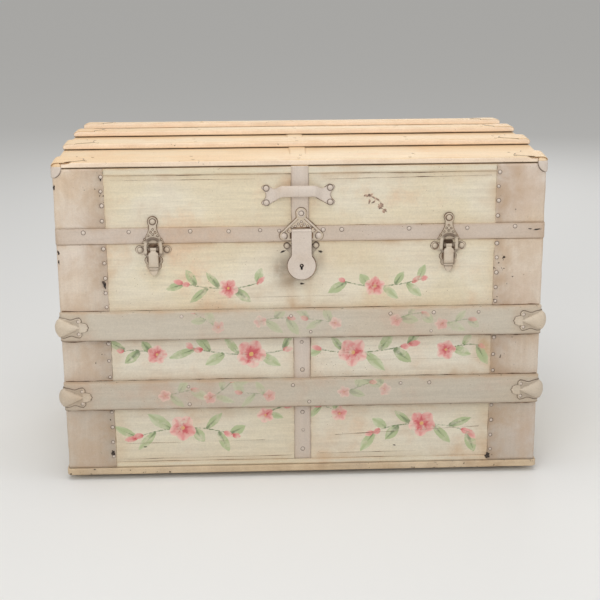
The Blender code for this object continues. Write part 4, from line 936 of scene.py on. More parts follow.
def makeTopSlats():
    # a round-cornered box carried along x and laid on the crown: its line wanders, ripples wear its upper
    # edges, and its top falls off at the ends on a quarter oval
    for number, middle in enumerate(topSlats["middles"], 1):
        outline = denseBox(topSlats["width"], topSlats["thickness"], topSlats["round"], 0.0045)
        xs = spread(-trunk["sheetX"] + 0.0008, trunk["sheetX"] - 0.0008, topSlats["step"])
        nosing = trunk["sheetX"] - np.array([0.0, 0.0004, 0.0012, 0.0025, 0.0045])
        xs = np.concatenate([-nosing, xs[np.abs(xs) < nosing[-1] - 0.001], nosing[::-1]])
        points = carried(xs, outline, "x")
        shrink = np.where(np.abs(xs) >= trunk["sheetX"] - 1e-6, 0.86, 1)[:, None]
        reach, depth = topSlats["nose"]
        nose = np.clip((np.abs(xs) - trunk["sheetX"] + reach) / reach, 0, 1)
        drop = depth * (1 - np.sqrt(1 - nose ** 2))[:, None] * (points[..., 2] > 0)
        wander = 0.0005 * ripple(points * (1, 0, 0), 40 + number, 0.16)
        across = points[..., 1] * shrink + wander
        up = points[..., 2] * shrink + topSlats["level"] + topSlats["thickness"] / 2 - drop
        worn = smoothStep(0.004, 0.0, topSlats["width"] / 2 - np.abs(points[..., 1])) * (points[..., 2] > 0)
        up -= 0.0007 * worn * np.clip(ripple(points, 60 + number, 0.03) + 0.2, 0, 1)
        points[..., 1], points[..., 2] = onSlat(middle, across, up)
        # the foot of the slat, where it meets the boards, is darkened through the seam and stain marks: dirt
        # and painted shade
        low = smoothStep(0.0018, 0.0, up - topSlats["level"])
        upright = smoothStep(0.0012, 0.0004, topSlats["width"] / 2 - np.abs(across))
        marks = {
            "edge": worn * 0.5, "stain": np.maximum(0.6 * low, 0.15 * worn), "seam": low,
            "fade": 0.8 * upright,
        }
        slat = loft(points, **marks)
        makePiece(f"lidSlat{number}", slat, "top", "lid", f"lid_slat_{number}")


caseSlats = {
    "endRound": 0.009,
    "edge": 0.0016,
    "step": 0.0045,
    "frontStep": 0.0026,
    "wander": 0.0006,
}


def paintSlat(painting, row):
    # five small sprigs in a row, at places mirrored on the lower slat
    random = np.random.default_rng(art["seed"] + (7 if row == "upper" else 8))
    middle = (painting.zs[0] + painting.zs[-1]) / 2
    for x, heading in ((-0.150, 2.6), (-0.075, 0.3), (0.060, 2.9), (0.168, 0.5), (0.250, 0.2)):
        x = -x if row == "lower" else x
        level = middle + random.uniform(-0.006, 0.006)
        painting.sprig(x, level, heading, 0.052, random.uniform(-0.6, 0.6), random, 3, 0.95, 1, 1.35)


def makeCaseSlat(end, row, seed):
    # a face of many steps carried along x between ends that are quarter circles in plan; its height wanders,
    # and ripples dent its face and wear its edges
    node = f"case_slat_{end}_{row}"
    low, high = nodeBox(node)
    sign = signs[end]
    back, face = (high[1], low[1]) if sign < 0 else (low[1], high[1])
    step = caseSlats["frontStep"] if sign < 0 else caseSlats["step"] * 1.6
    outline, count = faceSection(face, back, low[2], high[2], step, caseSlats["edge"])
    ends = np.radians(np.linspace(0, 90, 5)[:-1])
    tips = high[0] - caseSlats["endRound"] * (1 - np.cos(ends))
    inner = spread(-(high[0] - caseSlats["endRound"]), high[0] - caseSlats["endRound"], step)
    xs = np.concatenate([-tips, inner, tips[::-1]])
    points = carried(xs, outline, "x")
    points = roundCorners(points, high[0], caseSlats["endRound"], face, back)
    x, z = points[..., 0].copy(), points[..., 2].copy()
    points[..., 2] += caseSlats["wander"] * ripple(
        points * (1, 0, 0), seed, 0.2
    ) * (np.abs(x) < high[0] - 0.05)
    border = np.minimum(z - low[2], high[2] - z)
    worn = smoothStep(0.005, 0.0, border)
    front = np.zeros(x.shape)
    front[:, :count] = 1
    dents = np.clip(ripple(points, seed + 3, 0.05) - 0.5, 0, 1)
    points[..., 1] -= sign * front * (
        0.0004 * dents + 0.0003 * worn * np.clip(ripple(points, seed + 5, 0.03), 0, 1)
    )
    marks = {
        "edge": worn * 0.9,
        "stain": np.maximum(np.exp(-border / 0.006), np.exp(-(high[0] - 0.046 - np.abs(x)).clip(0) / 0.01)),
    }
    # the lower edge darkened with the seam mark: dirt and painted shadow along the slat's underside
    marks["seam"] = 0.85 * smoothStep(0.0024, 0.0006, z - low[2])
    if sign < 0:
        painting = Painting(xs, outline[:count, 1])
        paintSlat(painting, row)
        for key, field in painting.fields.items():
            marks[key] = np.zeros(x.shape)
            marks[key][:, :count] = field
    slat = loft(points, **marks)
    makePiece(f"caseSlat{end.title()}{row.title()}", slat, "slat", "case", node)


def makeWood():
    # boards and slats, with stains along the metal and the slats that lie on the boards
    sheets = (-caseLines["sheetX"], -caseLines["strapX"], caseLines["strapX"], caseLines["sheetX"])
    levels = caseLines["slats"] + [caseLines["stripTop"], trunk["caseTop"]]
    span = (trunk["caseBottom"], trunk["caseTop"])
    makeFrontBoard("caseFrontBoard", "case_front", "case", paintCaseFront, *span, (sheets, levels), True)
    lidHigh = nodeBox("lid_front")[1][2]
    levels = (trunk["bandTop"], trunk["edgeZ"] - trunk["stripHigh"])
    makeFrontBoard(
        "lidFrontBoard", "lid_front", "lid", lambda painting: None, trunk["lidBottom"], lidHigh,
        (sheets, levels),
    )
    makePlainBoard("caseBackBoard", "case_back", "case", "panel", *span)
    makePlainBoard("lidBackBoard", "lid_back", "lid", "panel", trunk["lidBottom"], lidHigh)
    for side in ("left", "right"):
        top = nodeBox(f"lid_end_{side}")[1][2]
        label = side.title()
        makePlainBoard(f"caseEnd{label}", f"case_end_{side}", "case", "endPanel", *span, True)
        makePlainBoard(f"lidEnd{label}", f"lid_end_{side}", "lid", "endPanel", trunk["lidBottom"], top, True)
    makeLidTop()
    makeTopSlats()
    for number, (end, row) in enumerate(
        (end, row) for end in ("front", "back") for row in ("upper", "lower")
    ):
        makeCaseSlat(end, row, 70 + 10 * number)


makeWood()
print("boards and slats ready")


# Sheet metal, bands, rim and nails
metal = {
    "wall": 0.0010,
    "bendRadius": 0.0053,  # outer radius of the fold over a corner
    "reach": 0.088,  # from the corner to the inner edge
    "step": 0.0045,
    "buckle": 0.00045,
    "cornerDent": 0.0011,
    "edgeWander": 0.0009,
    "curl": 0.0006,
    "stripLevel": 0.0012,  # over the boards
    "rimHigh": 0.0126,
}


def foldPlan():
    # plan of a folded sheet about its corner: along the front, round the bend, along the end; x and y are
    # distances inwards from the outer corner, with outward normals and the distance to the nearer free edge
    radius, reach = metal["bendRadius"], metal["reach"]
    front = spread(reach, radius, metal["step"])
    bend = np.radians(np.linspace(90, 0, 7))[1:-1]
    side = spread(radius, reach, metal["step"])
    x = np.concatenate([front, radius - radius * np.cos(bend), np.zeros(len(side))])
    y = np.concatenate([np.zeros(len(front)), radius - radius * np.sin(bend), side])
    normalX = np.concatenate([np.zeros(len(front)), np.cos(bend), np.ones(len(side))])
    normalY = np.concatenate([np.ones(len(front)), np.sin(bend), np.zeros(len(side))])
    free = np.concatenate([reach - front, np.full(len(bend), reach), reach - side])
    return x, y, normalX, normalY, free


def foldedSheet(end, side, low, high, seed):
    # the fold's plan carried up in steps, buckled by ripples, dented on the corner, with wandering free edges
    signX, signY = signs[side], signs[end]
    x, y, normalX, normalY, free = foldPlan()
    zs = spread(low, high, metal["step"])
    grid = np.empty((len(zs), len(x), 3))
    grid[..., 0] = signX * (trunk["sheetX"] - x)
    grid[..., 1] = signY * (trunk["sheetY"] - y)
    grid[..., 2] = zs[:, None]
    normal = np.stack([signX * normalX, signY * normalY, np.zeros(len(x))], axis=1)
    nearFree = np.exp(-free / 0.006)
    onBend = np.exp(-np.hypot(x, y) / 0.012)
    rise = metal["buckle"] * ripple(grid, seed, 0.07) - metal["buckle"]
    lift = nearFree * metal["curl"] * np.clip(ripple(grid, seed + 1, 0.05) - 0.2, 0, 1.2)
    dent = onBend * metal["cornerDent"] * np.clip(ripple(grid * (0.3, 0.3, 1), seed + 2, 0.035) - 0.1, 0, 1.4)
    moved = np.clip(rise + lift, -0.0006, 0.0004) - dent
    wander = nearFree * metal["edgeWander"] * ripple(grid * (0, 0, 1), seed + 3, 0.06)
    grid += normal * moved[..., None]
    grid[..., 0] += -signX * np.where(normalY > 0.5, wander, 0)
    grid[..., 1] += -signY * np.where(normalY <= 0.5, wander, 0)
    border = np.minimum(np.minimum(zs - low, high - zs)[:, None], free[None, :])
    marks = {
        "edge": np.maximum(smoothStep(0.0035, 0.0, border), 0.9 * onBend),
        "stain": np.maximum(np.exp(-border / 0.012), 0.75 * onBend),
    }
    return surface(grid, outward=(signX, signY, 0), **marks)


def flatStrip(axis, sign, reach, low, high, seed):
    # a thin strip on one of the four sides, as far each way of its middle, between two heights
    along, up = spread(-reach, reach, 0.005), spread(low, high, 0.0026)
    across, heights = np.meshgrid(along, up, indexing="ij")
    face = np.full(across.shape, sign * (trunk["boardY" if axis == "y" else "boardX"] + metal["stripLevel"]))
    grid = np.stack((across, face, heights) if axis == "y" else (face, across, heights), axis=-1)
    outward = (0, sign, 0) if axis == "y" else (sign, 0, 0)
    rise = 0.0003 * ripple(grid, seed, 0.05) - 0.0002
    grid = grid + np.array(outward) * rise[..., None]
    grid[..., 2] += 0.0004 * ripple(grid * (1, 1, 0), seed + 1, 0.1)
    border = np.minimum(heights - low, high - heights)
    return surface(
        grid, outward=outward, edge=0.8 * smoothStep(0.003, 0, border), stain=np.exp(-border / 0.003)
    )


def ringPath(step):
    # a round-cornered rectangle round the boards, split into steps, with its outward normals
    plan = roundBox(2 * trunk["boardX"], 2 * trunk["boardY"], boards["cornerRadius"], 4)
    points = alongLoop(plan, step)
    ahead = np.roll(points, -1, axis=0) - np.roll(points, 1, axis=0)
    normal = np.stack([ahead[:, 1], -ahead[:, 0]], axis=1)
    return points, normal / np.linalg.norm(normal, axis=1, keepdims=True)


def carriedRing(outline, step, seed, buckle, dents):
    # a closed outline of level and height carried round the boards, with ripples and dents outwards; and how
    # near each point is to a corner
    path, normal = ringPath(step)
    points = np.empty((len(path), len(outline), 3))
    points[..., :2] = path[:, None] + normal[:, None] * outline[None, :, :1]
    points[..., 2] = outline[None, :, 1]
    outer = (outline[:, 0] - outline[:, 0].min()) / np.ptp(outline[:, 0])
    push = buckle * ripple(points, seed, 0.06)
    push -= dents * np.clip(ripple(points * (1, 1, 0.3), seed + 1, 0.045) - 0.55, 0, 1)
    offX, offY = trunk["boardX"] - np.abs(points[..., 0]), trunk["boardY"] - np.abs(points[..., 1])
    corner = np.exp(-np.hypot(offX, offY) / 0.02)
    points[..., :2] += normal[:, None] * (outer * (push - buckle))[..., None]
    return points, corner


def makeLidBand():
    # a thin round-cornered section carried round the lid's lower edge
    low, high = trunk["lidBottom"], trunk["bandTop"]
    inner, outer = 0.0003, 0.0024
    outline = denseBox(high - low, outer - inner, 0.0009, 0.003)[:, ::-1]
    outline = outline + ((outer + inner) / 2, (high + low) / 2)
    points, corner = carriedRing(outline, 0.005, 101, 0.0002, 0.0006)
    border = np.minimum(points[..., 2] - low, high - points[..., 2])
    edge = np.maximum(smoothStep(0.003, 0, border) * 0.8, corner)
    stain = np.maximum(np.exp(-border / 0.004), corner)
    makePiece("lidBand", surface(points, "rc", edge=edge, stain=stain), "bandPaint", "lid", "lid_band")


def makeStrips(low, high, gap, seed):  # one on each of the four sides, between the corner sheets
    made = []
    for number, (axis, sign) in enumerate((("y", -1), ("y", 1), ("x", -1), ("x", 1))):
        reach = trunk["sheetX" if axis == "y" else "sheetY"] - metal["reach"] - gap
        made.append(flatStrip(axis, sign, reach, low, high, seed + 3 * number))
    return made


def makeBaseRim():
    # a rounded section carried round the case's foot, and thin strips over it
    box = nodeBox("base_rim")
    low, high = trunk["caseBottom"], trunk["caseBottom"] + metal["rimHigh"]
    inner, outer = 0.0003, box[1][1] - trunk["boardY"]
    outline = denseBox(high - low, outer - inner, 0.0021, 0.0016)[:, ::-1]
    outline = outline + ((outer + inner) / 2, (high + low) / 2)
    points, corner = carriedRing(outline, 0.004, 111, 0.0003, 0.0022)
    edge = np.maximum(0.55 + 0.35 * smoothStep(0.004, 0, points[..., 2] - low), corner)
    makePiece("baseRim", surface(points, "rc", edge=edge, stain=0.7), "rim", "case", "base_rim")
    strips = makeStrips(high + 0.0004, box[1][2], 0.0006, 120)
    makePiece("baseStrips", strips, "panel", "case", "base_rim", wall=0.0008)


def makeSheets():
    # folded corner sheets on the case and the lid, and the strips between the lid's
    low, high = nodeBox("case_corner_sheet_front_left")[0][2], trunk["caseTop"]
    lidLow = nodeBox("lid_corner_sheets")[0][2]
    sheets, wall = [], metal["wall"]
    corners = [(end, side) for end in ("front", "back") for side in ("left", "right")]
    for number, (end, side) in enumerate(corners):
        label = f"caseCornerSheet{end.title()}{side.title()}"
        sheet = foldedSheet(end, side, low, high - 0.0003, 130 + 5 * number)
        makePiece(label, sheet, "sheet", "case", f"case_corner_sheet_{end}_{side}", wall=wall)
        sheets.append(foldedSheet(end, side, lidLow, trunk["edgeZ"] - 0.0002, 150 + 5 * number))
    strips = makeStrips(trunk["edgeZ"] - trunk["stripHigh"], trunk["edgeZ"] - 0.0004, 0.0004, 170)
    makePiece("lidCornerSheets", sheets, "sheet", "lid", "lid_corner_sheets", wall=wall)
    makePiece("lidTopStrips", strips, "panel", "lid", "lid_corner_sheets", wall=wall)


straps = {
    "width": 0.030,
    "wall": 0.0008,
    "lidX": nodeBox("lid_center_strap")[0][0] / 2 + nodeBox("lid_center_strap")[1][0] / 2,
}


def strapGrid(path, middle, seed):
    # a path in depth and height carried over the strap's width, its sides wandering a little
    across = np.linspace(-1, 1, 9) * straps["width"] / 2
    grid = np.empty((len(path), len(across), 3))
    grid[..., 0] = middle + across * (1 + 0.018 * ripple(path[:, None] * (0, 1, 1), seed, 0.12))
    grid[..., 1:] = path[:, None, 1:]
    border = straps["width"] / 2 - np.abs(across)
    marks = {"edge": 0.85 * smoothStep(0.003, 0, border)[None, :], "stain": np.exp(-border / 0.005)[None, :]}
    return grid, marks


def makeStraps():
    # flat strips: one down the case's front, and one that goes up the lid's front, back over the crown and
    # down behind it
    box = nodeBox("case_center_strap")
    zs = spread(box[0][2], box[1][2], 0.004)
    path = np.stack([np.zeros(len(zs)), np.full(len(zs), box[0][1]), zs], axis=1)
    grid, marks = strapGrid(path, 0.0, 180)
    grid[..., 1] += 0.00025 * np.clip(ripple(grid, 181, 0.04), -1, 1) + 0.0001
    strap = surface(grid, outward=(0, -1, 0), **marks)
    makePiece("caseCenterStrap", strap, "strap", "case", "case_center_strap", wall=straps["wall"])
    box = nodeBox("lid_center_strap")
    depth = -box[0][1]
    ys = spread(-trunk["boardY"], trunk["boardY"], 0.006)
    over = np.stack([np.zeros(len(ys)), ys, crownZ(ys) + 0.0003 + straps["wall"]], axis=1)
    shoulder = trunk["edgeZ"] + 0.0003 + straps["wall"]
    up = spread(box[0][2], shoulder - 0.001, 0.004)
    front = np.stack([np.zeros(len(up)), np.full(len(up), -depth), up], axis=1)
    bend = np.array([[0, -depth + 0.0004, shoulder - 0.0004]])
    made = []
    for way, outward in ((1, (0, -1, 0)), (-1, (0, 1, 0))):
        grid, marks = strapGrid(np.vstack([front, bend]) * (1, way, 1), straps["lidX"], 183)
        grid[:-1, :, 1] += way * 0.0002 * (1 + ripple(grid[:-1], 184, 0.04))
        made.append(surface(grid, outward=outward, **marks))
    node, wall = "lid_center_strap", straps["wall"]
    makePiece("lidCenterStrap", made, "strap", "lid", node, wall=wall)
    grid, marks = strapGrid(np.vstack([bend, over[1:-1], bend * (1, -1, 1)]), straps["lidX"], 183)
    marks = {name: 0.4 * value for name, value in marks.items()}
    strap = surface(grid, outward=(0, 0, 1), **marks)
    makePiece("lidTopStrap", strap, "top", "lid", node, wall=wall)


nails = {
    "radius": 0.0029,
    "rise": 0.0015,
    "sides": 10,
    "pitch": 0.030,
    "inset": 0.0042,  # from the free edge of a sheet to its row of nails
    "bandFront": (
        -0.3825, -0.3017, -0.1962, -0.1277, -0.0733, -0.0385, 0.0385, 0.0717, 0.1912, 0.2946, 0.3788
    ),
    "slatHigh": {
        "upper": (-0.214, -0.0206, 0.1587, 0.236, 0.3168), "lower": (-0.2068, -0.0188, 0.178, 0.2307)
    },
    "slatLow": {"upper": (0.0146, 0.2325), "lower": (-0.205, 0.012)},
}


def facingFrame(facing):
    # outward, sideways and upward directions of a side
    outward = {
        "front": (0, -1, 0), "back": (0, 1, 0), "left": (-1, 0, 0), "right": (1, 0, 0), "up": (0, 0, 1)
    }[facing]
    outward = np.array(outward, float)
    up = np.array((0, 1.0, 0)) if facing == "up" else np.array((0, 0, 1.0))
    return outward, np.cross(up, outward), up


def turnedHead(place, facing, radius, rise, sides, root=0.001, tilt=(0.0, 0.0)):
    # a low dome: rings of falling radius whose height follows a circle, over a short root in the face
    stand = (1.0, 0.86, 0.55, 0.16)  # radii of the dome's rings, as shares of the head's
    outward, across, up = facingFrame(facing)
    outward = outward + across * tilt[0] + up * tilt[1]
    outward = outward / np.linalg.norm(outward)
    angle = 2 * math.pi * np.arange(sides) / sides
    radii = np.array((1.0, 1.36, 1.04, *stand)) * radius
    heights = np.array((-root, 0.00012, 0.00022, *(0.0002 + rise * np.sqrt(1 - np.array(stand) ** 2))))
    ring = np.cos(angle)[:, None] * across + np.sin(angle)[:, None] * up
    grid = np.asarray(place, float) + radii[:, None, None] * ring[None] + heights[:, None, None] * outward
    rim = np.array([0, 0, 0, *np.linspace(0.6, 0.2, len(stand))])[:, None]
    dirt = np.array([1, 1, 0.9] + [0.0] * len(stand))[:, None]
    return loft(grid, edge=rim, stain=0.6 - rim, seam=dirt)


def nailRow(facing, fixed, places, seed, share=1.0):
    # nails at places along a row, each a little off it and turned: fixed is the row's other coordinate
    random = np.random.default_rng(seed)
    outward, across, up = facingFrame(facing)
    made = []
    for along, high in places:
        along = along + random.normal(0, 0.0006)
        high = high + random.normal(0, 0.0006)
        place = outward * fixed + across * along + up * high
        size = nails["radius"] * share * random.uniform(0.86, 1.12)
        tilt = random.normal(0, 0.06, 2)
        rise = nails["rise"] * random.uniform(0.8, 1.15)
        made.append(turnedHead(place, facing, size, rise, nails["sides"], tilt=tilt))
    return made


def nailColumn(x, low, high):  # places between two heights, about a pitch apart
    count = max(2, int(round((high - low - 0.014) / nails["pitch"])) + 1)
    return [(x, z) for z in np.linspace(low + 0.008, high - 0.008, count)]


def makeNails():
    # heads in rows down the corner sheets, along the band and on slats and strap, and in pairs on top
    slats = caseLines["slats"]
    gaps = [(caseLines["stripTop"] + 0.004, slats[0]), (slats[1], slats[2]), (slats[3], trunk["caseTop"])]
    caseHeads, lidHeads = [], []
    for number, facing in enumerate(("front", "back", "left", "right")):
        deep = facing in ("front", "back")
        fixed, wide = trunk["sheetY" if deep else "sheetX"], trunk["sheetX" if deep else "sheetY"]
        for side in (-1, 1):
            x = side * (wide - metal["reach"] + nails["inset"])
            for low, high in gaps:
                caseHeads += nailRow(facing, fixed, nailColumn(x, low, high), 200 + number)
            places = nailColumn(x, trunk["bandTop"] + 0.006, trunk["edgeZ"] - 0.006)
            lidHeads += nailRow(facing, fixed, places, 210 + number)
        bandFace = trunk["boardY" if deep else "boardX"] + 0.0023
        row = np.linspace(0.045 - wide, wide - 0.045, 11 if deep else 6)
        if facing == "front":
            row = nails["bandFront"]
        if facing == "back":  # none under the hinges
            row = [x for x in row if abs(abs(x) - 0.250) > 0.035]
        lidHeads += nailRow(facing, bandFace, [(x, trunk["bandTop"] - 0.0065) for x in row], 230 + number)
    slatFace = -nodeBox("case_slat_front_upper")[0][1]
    for number, facing in enumerate(("front", "back")):
        for row, (name, low, high) in enumerate(
            (("lower", slats[0], slats[1]), ("upper", slats[2], slats[3]))
        ):
            places = [(x, high - 0.009) for x in nails["slatHigh"][name]]
            places += [(x, low + 0.010) for x in nails["slatLow"][name]]
            caseHeads += nailRow(facing, slatFace, places, 240 + 2 * number + row, 0.85)
    strapFace = -nodeBox("case_center_strap")[0][1]
    levels = (slats[2] - 0.011, slats[1] + 0.016, slats[0] - 0.014, slats[0] - 0.050, slats[0] - 0.087)
    places = [(0.0, z) for z in levels]
    caseHeads += nailRow("front", strapFace, places, 250)
    topHeads = []
    for number, middle in enumerate(topSlats["middles"]):
        random = np.random.default_rng(260 + number)
        for x in (-0.375, -0.19, straps["lidX"], 0.20, 0.372):
            for across in (-0.012, 0.013):
                y, z = onSlat(
                    middle, across + random.normal(0, 0.001), topSlats["level"] + topSlats["thickness"]
                )
                spot = (x + random.normal(0, 0.004), y, z)
                topHeads.append(turnedHead(spot, "up", 0.0021, 0.0006, 8))
    makePiece("caseNails", caseHeads, "nail", "case")
    makePiece("lidNails", lidHeads, "nail", "lid")
    makePiece("topNails", topHeads, "top", "lid")


seams = {
    "width": 0.0019,
    "rise": 0.00022,
    "step": 0.0030,
}


def grimePaint():
    # dirt that has settled in a joint, and painted shadow under and behind parts: dark brown, broken by noise
    # into lighter stretches
    material, tree, place = startMaterial("jointGrimeAndPaintedShade")
    spots = band(tree, noise(tree, place, 60.0, 4.0, 0.65), 0.36, 0.66)
    colour = mixColour(tree, spots, (0.11, 0.062, 0.036), (0.34, 0.215, 0.13))
    endMaterial(tree, {"Base Color": colour, "Roughness": 0.8})
    return material


def seamPath(path, outward, seed, width, closed=False, sunk=0.0004):
    # a low dark ridge along a path, for dirt and for painted shadow, tent-shaped across, whose width wanders
    # and in places falls to nothing
    path, outward = np.asarray(path, float), np.asarray(outward, float)
    ahead = np.roll(path, -1, axis=0) - np.roll(path, 1, axis=0)
    if not closed:
        ahead[0], ahead[-1] = path[1] - path[0], path[-1] - path[-2]
    sideways = np.cross(outward, ahead)
    sideways /= np.linalg.norm(sideways, axis=1, keepdims=True)
    broad = np.clip(0.75 + 0.75 * ripple(path, seed, 0.035), 0.12, 1.7) * seams["width"] * width / 2
    across = np.array([-1, 0, 1])
    up = np.array([-sunk, seams["rise"], -sunk])
    grid = (
        path[:, None] + across[None, :, None] * (broad[:, None] * sideways)[:, None]
        + up[None, :, None] * outward
    )
    return surface(grid, "r" if closed else "", outward=outward)


def seamLine(start, end, outward, seed, width=1.0):  # the same along a straight line, with a slight wander
    start, end = np.asarray(start, float), np.asarray(end, float)
    count = max(2, int(np.linalg.norm(end - start) / seams["step"]) + 1)
    path = start + (end - start) * np.linspace(0, 1, count)[:, None]
    sideways = np.cross(outward, end - start) / np.linalg.norm(end - start)
    path = path + sideways * (0.0002 * ripple(path, seed + 1, 0.06))[:, None]
    return seamPath(path, outward, seed, width)


def makeSeams():
    # dirt lines along the metal's edges, beside the straps and under the lid's slats, and broader lines under
    # the case's slats that are dirt and painted shadow
    caseMade, lidMade = [], []
    slats = caseLines["slats"]
    reachX, reachY = trunk["sheetX"] - metal["reach"], trunk["sheetY"] - metal["reach"]
    caseGaps = [(caseLines["stripTop"], slats[0]), (slats[1], slats[2]), (slats[3], trunk["caseTop"])]
    seed = 500
    for facing in ("front", "back", "left", "right"):
        outward, across, up = facingFrame(facing)
        deep = facing in ("front", "back")
        plane = trunk["boardY" if deep else "boardX"]
        reach = reachX if deep else reachY

        def line(made, x0, z0, x1, z1, width=1.0, level=0.0):  # one dark line on this side: dirt, and painted shadow where it lies under a slat
            nonlocal seed
            seed += 3
            ends = [outward * (plane + level) + across * x + up * z for x, z in ((x0, z0), (x1, z1))]
            made.append(seamLine(*ends, outward, seed, width))

        for side in (-1, 1):
            x = side * (reach - 0.0006)
            for low, high in caseGaps if deep else [(caseGaps[0][0], trunk["caseTop"])]:
                line(caseMade, x, low, x, high)
            line(lidMade, x, trunk["bandTop"], x, trunk["edgeZ"] - 0.013)
        level = trunk["bandTop"] + 0.0005
        line(lidMade, -reach, level, reach, level, 0.9)
        level = trunk["edgeZ"] - 0.0132
        line(lidMade, -reach, level, reach, level, 0.8)
        level = caseLines["stripTop"] + 0.0004
        line(caseMade, -reach, level, reach, level, 0.8)
        if deep:
            wide = trunk["sheetX"] - 0.004
            for number, edge in enumerate(slats):  # lower edges get a broader line that lies below them: dirt and painted shadow under the slat
                shift, thick = (0.0006, 1.3) if number % 2 else (-0.0034, 1.7)
                level = edge + shift
                line(caseMade, -reach, level, reach, level, thick)
                for side in (-1, 1):
                    line(caseMade, side * reach, level, side * wide, level, thick, 0.0013)
    face = frontY(0)
    for side in (-1, 1):
        x = side * (straps["width"] / 2 + 0.0004)
        for low, high in caseGaps[:2]:
            caseMade.append(seamLine((x, face, low), (x, face, high), forward, 700 + side))
        x = straps["lidX"] + x
        ends = ((x, face, trunk["bandTop"]), (x, face, trunk["edgeZ"] - 0.013))
        lidMade.append(seamLine(*ends, forward, 704 + side))
    makePiece("caseGrimeAndShadow", caseMade, "grimeAndShade", "case")
    makePiece("lidGrime", lidMade, "grimeAndShade", "lid")


finish["rim"] = agedPaint("rimPaint", "rim", metal=True, flake=0.8)
finish["nail"] = agedPaint("nailPaint", "grip", metal=True, flake=0.4, rough=0.45)
finish["grimeAndShade"] = grimePaint()
makeSheets()
makeLidBand()
makeBaseRim()
makeStraps()
makeNails()
makeSeams()
print("sheet metal and nails ready")


# Cast and pressed hardware
def castRays(outline, centre, angles):
    # how far each angle's ray runs from the centre to a closed outline: the farthest crossing with its sides
    start = np.asarray(outline, float) - centre
    step = np.roll(start, -1, axis=0) - start
    ray = np.stack([np.cos(angles), np.sin(angles)], axis=1)
    cross = ray[:, None, 0] * step[None, :, 1] - ray[:, None, 1] * step[None, :, 0]
    safe = np.where(np.abs(cross) < 1e-12, 1e-12, cross)
    far = (start[None, :, 0] * step[None, :, 1] - start[None, :, 1] * step[None, :, 0]) / safe
    place = (start[None, :, 0] * ray[:, None, 1] - start[None, :, 1] * ray[:, None, 0]) / safe
    good = (place > -1e-6) & (place < 1 + 1e-6) & (far > 0) & (np.abs(cross) > 1e-12)
    return np.where(good, far, 0).max(axis=1)


def rayAngles(outline, centre, count):
    # even angles, with those of the outline's own corners added so that they stay sharp
    start = np.asarray(outline, float) - centre
    own = np.arctan2(start[:, 1], start[:, 0])
    even = np.linspace(-math.pi, math.pi, count, endpoint=False)
    both = np.sort(np.concatenate([own, even]))
    return both[np.concatenate([[True], np.diff(both) > 1e-4])]


def plateRows(thick, ridge, width, field):
    # rows of (share of the way out, inset, height): up the side, over a rim ridge, and in over a sunk field
    soften = 0.0005
    return [
        (1, 0.0, 0.0),
        (1, 0.0, thick - soften),
        (1, soften * 0.4, thick - soften * 0.3),
        (1, soften, thick + ridge * 0.5),
        (1, soften + width * 0.5, thick + ridge),
        (1, soften + width, thick + ridge * 0.35),
        (1, soften + width * 1.4, thick - field),
        (0.55, 0.0, thick - field),
        (0.25, 0.0, thick - field),
        (0.04, 0.0, thick - field),
    ]


def frontPlate(outline, centre, rows, level, place, count, hole=None):
    # a plate facing forward: each row of the profile is the outline drawn in about the centre, at its height;
    # with a hole the rows run on round its edge and back behind the plate, and otherwise the middle is shut
    outline = np.asarray(outline, float)
    angles = rayAngles(outline, centre, count)
    outer = castRays(outline, centre, angles)
    inner = castRays(hole, centre, angles) if hole is not None else np.zeros(len(angles))
    grid = np.empty((len(rows), len(angles), 3))
    mark = np.zeros((len(rows), len(angles)))
    for number, (share, inset, height) in enumerate(rows):
        far = np.maximum(inner + (outer - inner) * share - inset, inner + 1e-5)
        x = place[0] + centre[0] + far * np.cos(angles)
        z = place[1] + centre[1] + far * np.sin(angles)
        grid[number] = np.stack([x, np.full(len(angles), frontY(level + height)), z], axis=1)
        mark[number] = 0.85 if share == 1 and inset < 0.0016 else 0.25
    low = np.array([[1.0 if share == 1 and inset < 0.0004 else 0.0] for share, inset, height in rows])
    marks = {"edge": mark, "stain": 0.12 + 0.35 * mark, "seam": low}
    return loft(grid, **marks) if hole is None else surface(grid, "rc", **marks)


def plateGrime(outline, centre, level, place, seed, width, out):
    # a dirt line round a front plate's outline, standing a little outside it
    angles = rayAngles(outline, centre, 90)
    far = castRays(outline, centre, angles) + out
    x = place[0] + centre[0] + far * np.cos(angles)
    z = place[1] + centre[1] + far * np.sin(angles)
    path = np.stack([x, np.full(len(x), frontY(level)), z], axis=1)
    return seamPath(path, forward, seed, width, closed=True, sunk=0.0006)


def frontRing(x, z, level, radius, count):  # a circle of points facing forward
    turn = np.linspace(0, 2 * math.pi, count, endpoint=False)
    return np.stack(
        [x + radius * np.cos(turn), np.full(count, frontY(level)), z + radius * np.sin(turn)], axis=1
    )


def beads(places, level, origin, seed):
    # low round bosses cast on a front plate, each in a ring of settled dirt; places are x, z and radius
    domes, dirt = [], []
    for number, (x, z, radius) in enumerate(places):
        x, z = origin[0] + x, origin[1] + z
        domes.append(turnedHead((x, frontY(level), z), "front", radius, 0.0008, 8, root=0.0006))
        ring = frontRing(x, z, level + 0.0002, radius + 0.0007, 12)
        dirt.append(seamPath(ring, forward, seed + number, 0.8, closed=True))
    return domes, dirt


def mirrored(lobes):  # circles of x, z and radius, left and right of the middle
    return [(sign * x, z, radius) for sign in (-1, 1) for x, z, radius in lobes]


def beltOutline(circles):
    # the outline of a belt pulled round circles: the convex hull of points on each
    count = 26
    angle = 2 * math.pi * np.arange(count) / count
    points = np.vstack(
        [np.stack([x + r * np.cos(angle), y + r * np.sin(angle)], axis=1) for x, y, r in circles]
    )
    points = points[np.lexsort((points[:, 1], points[:, 0]))]

    def chain(ordered):  # half of the hull: a point goes where the outline would turn inwards
        kept = []
        for point in ordered:
            while len(kept) > 1 and np.cross(kept[-1] - kept[-2], point - kept[-1]) <= 1e-12:
                kept.pop()
            kept.append(point)
        return kept[:-1]

    return np.array(chain(points) + chain(points[::-1]))


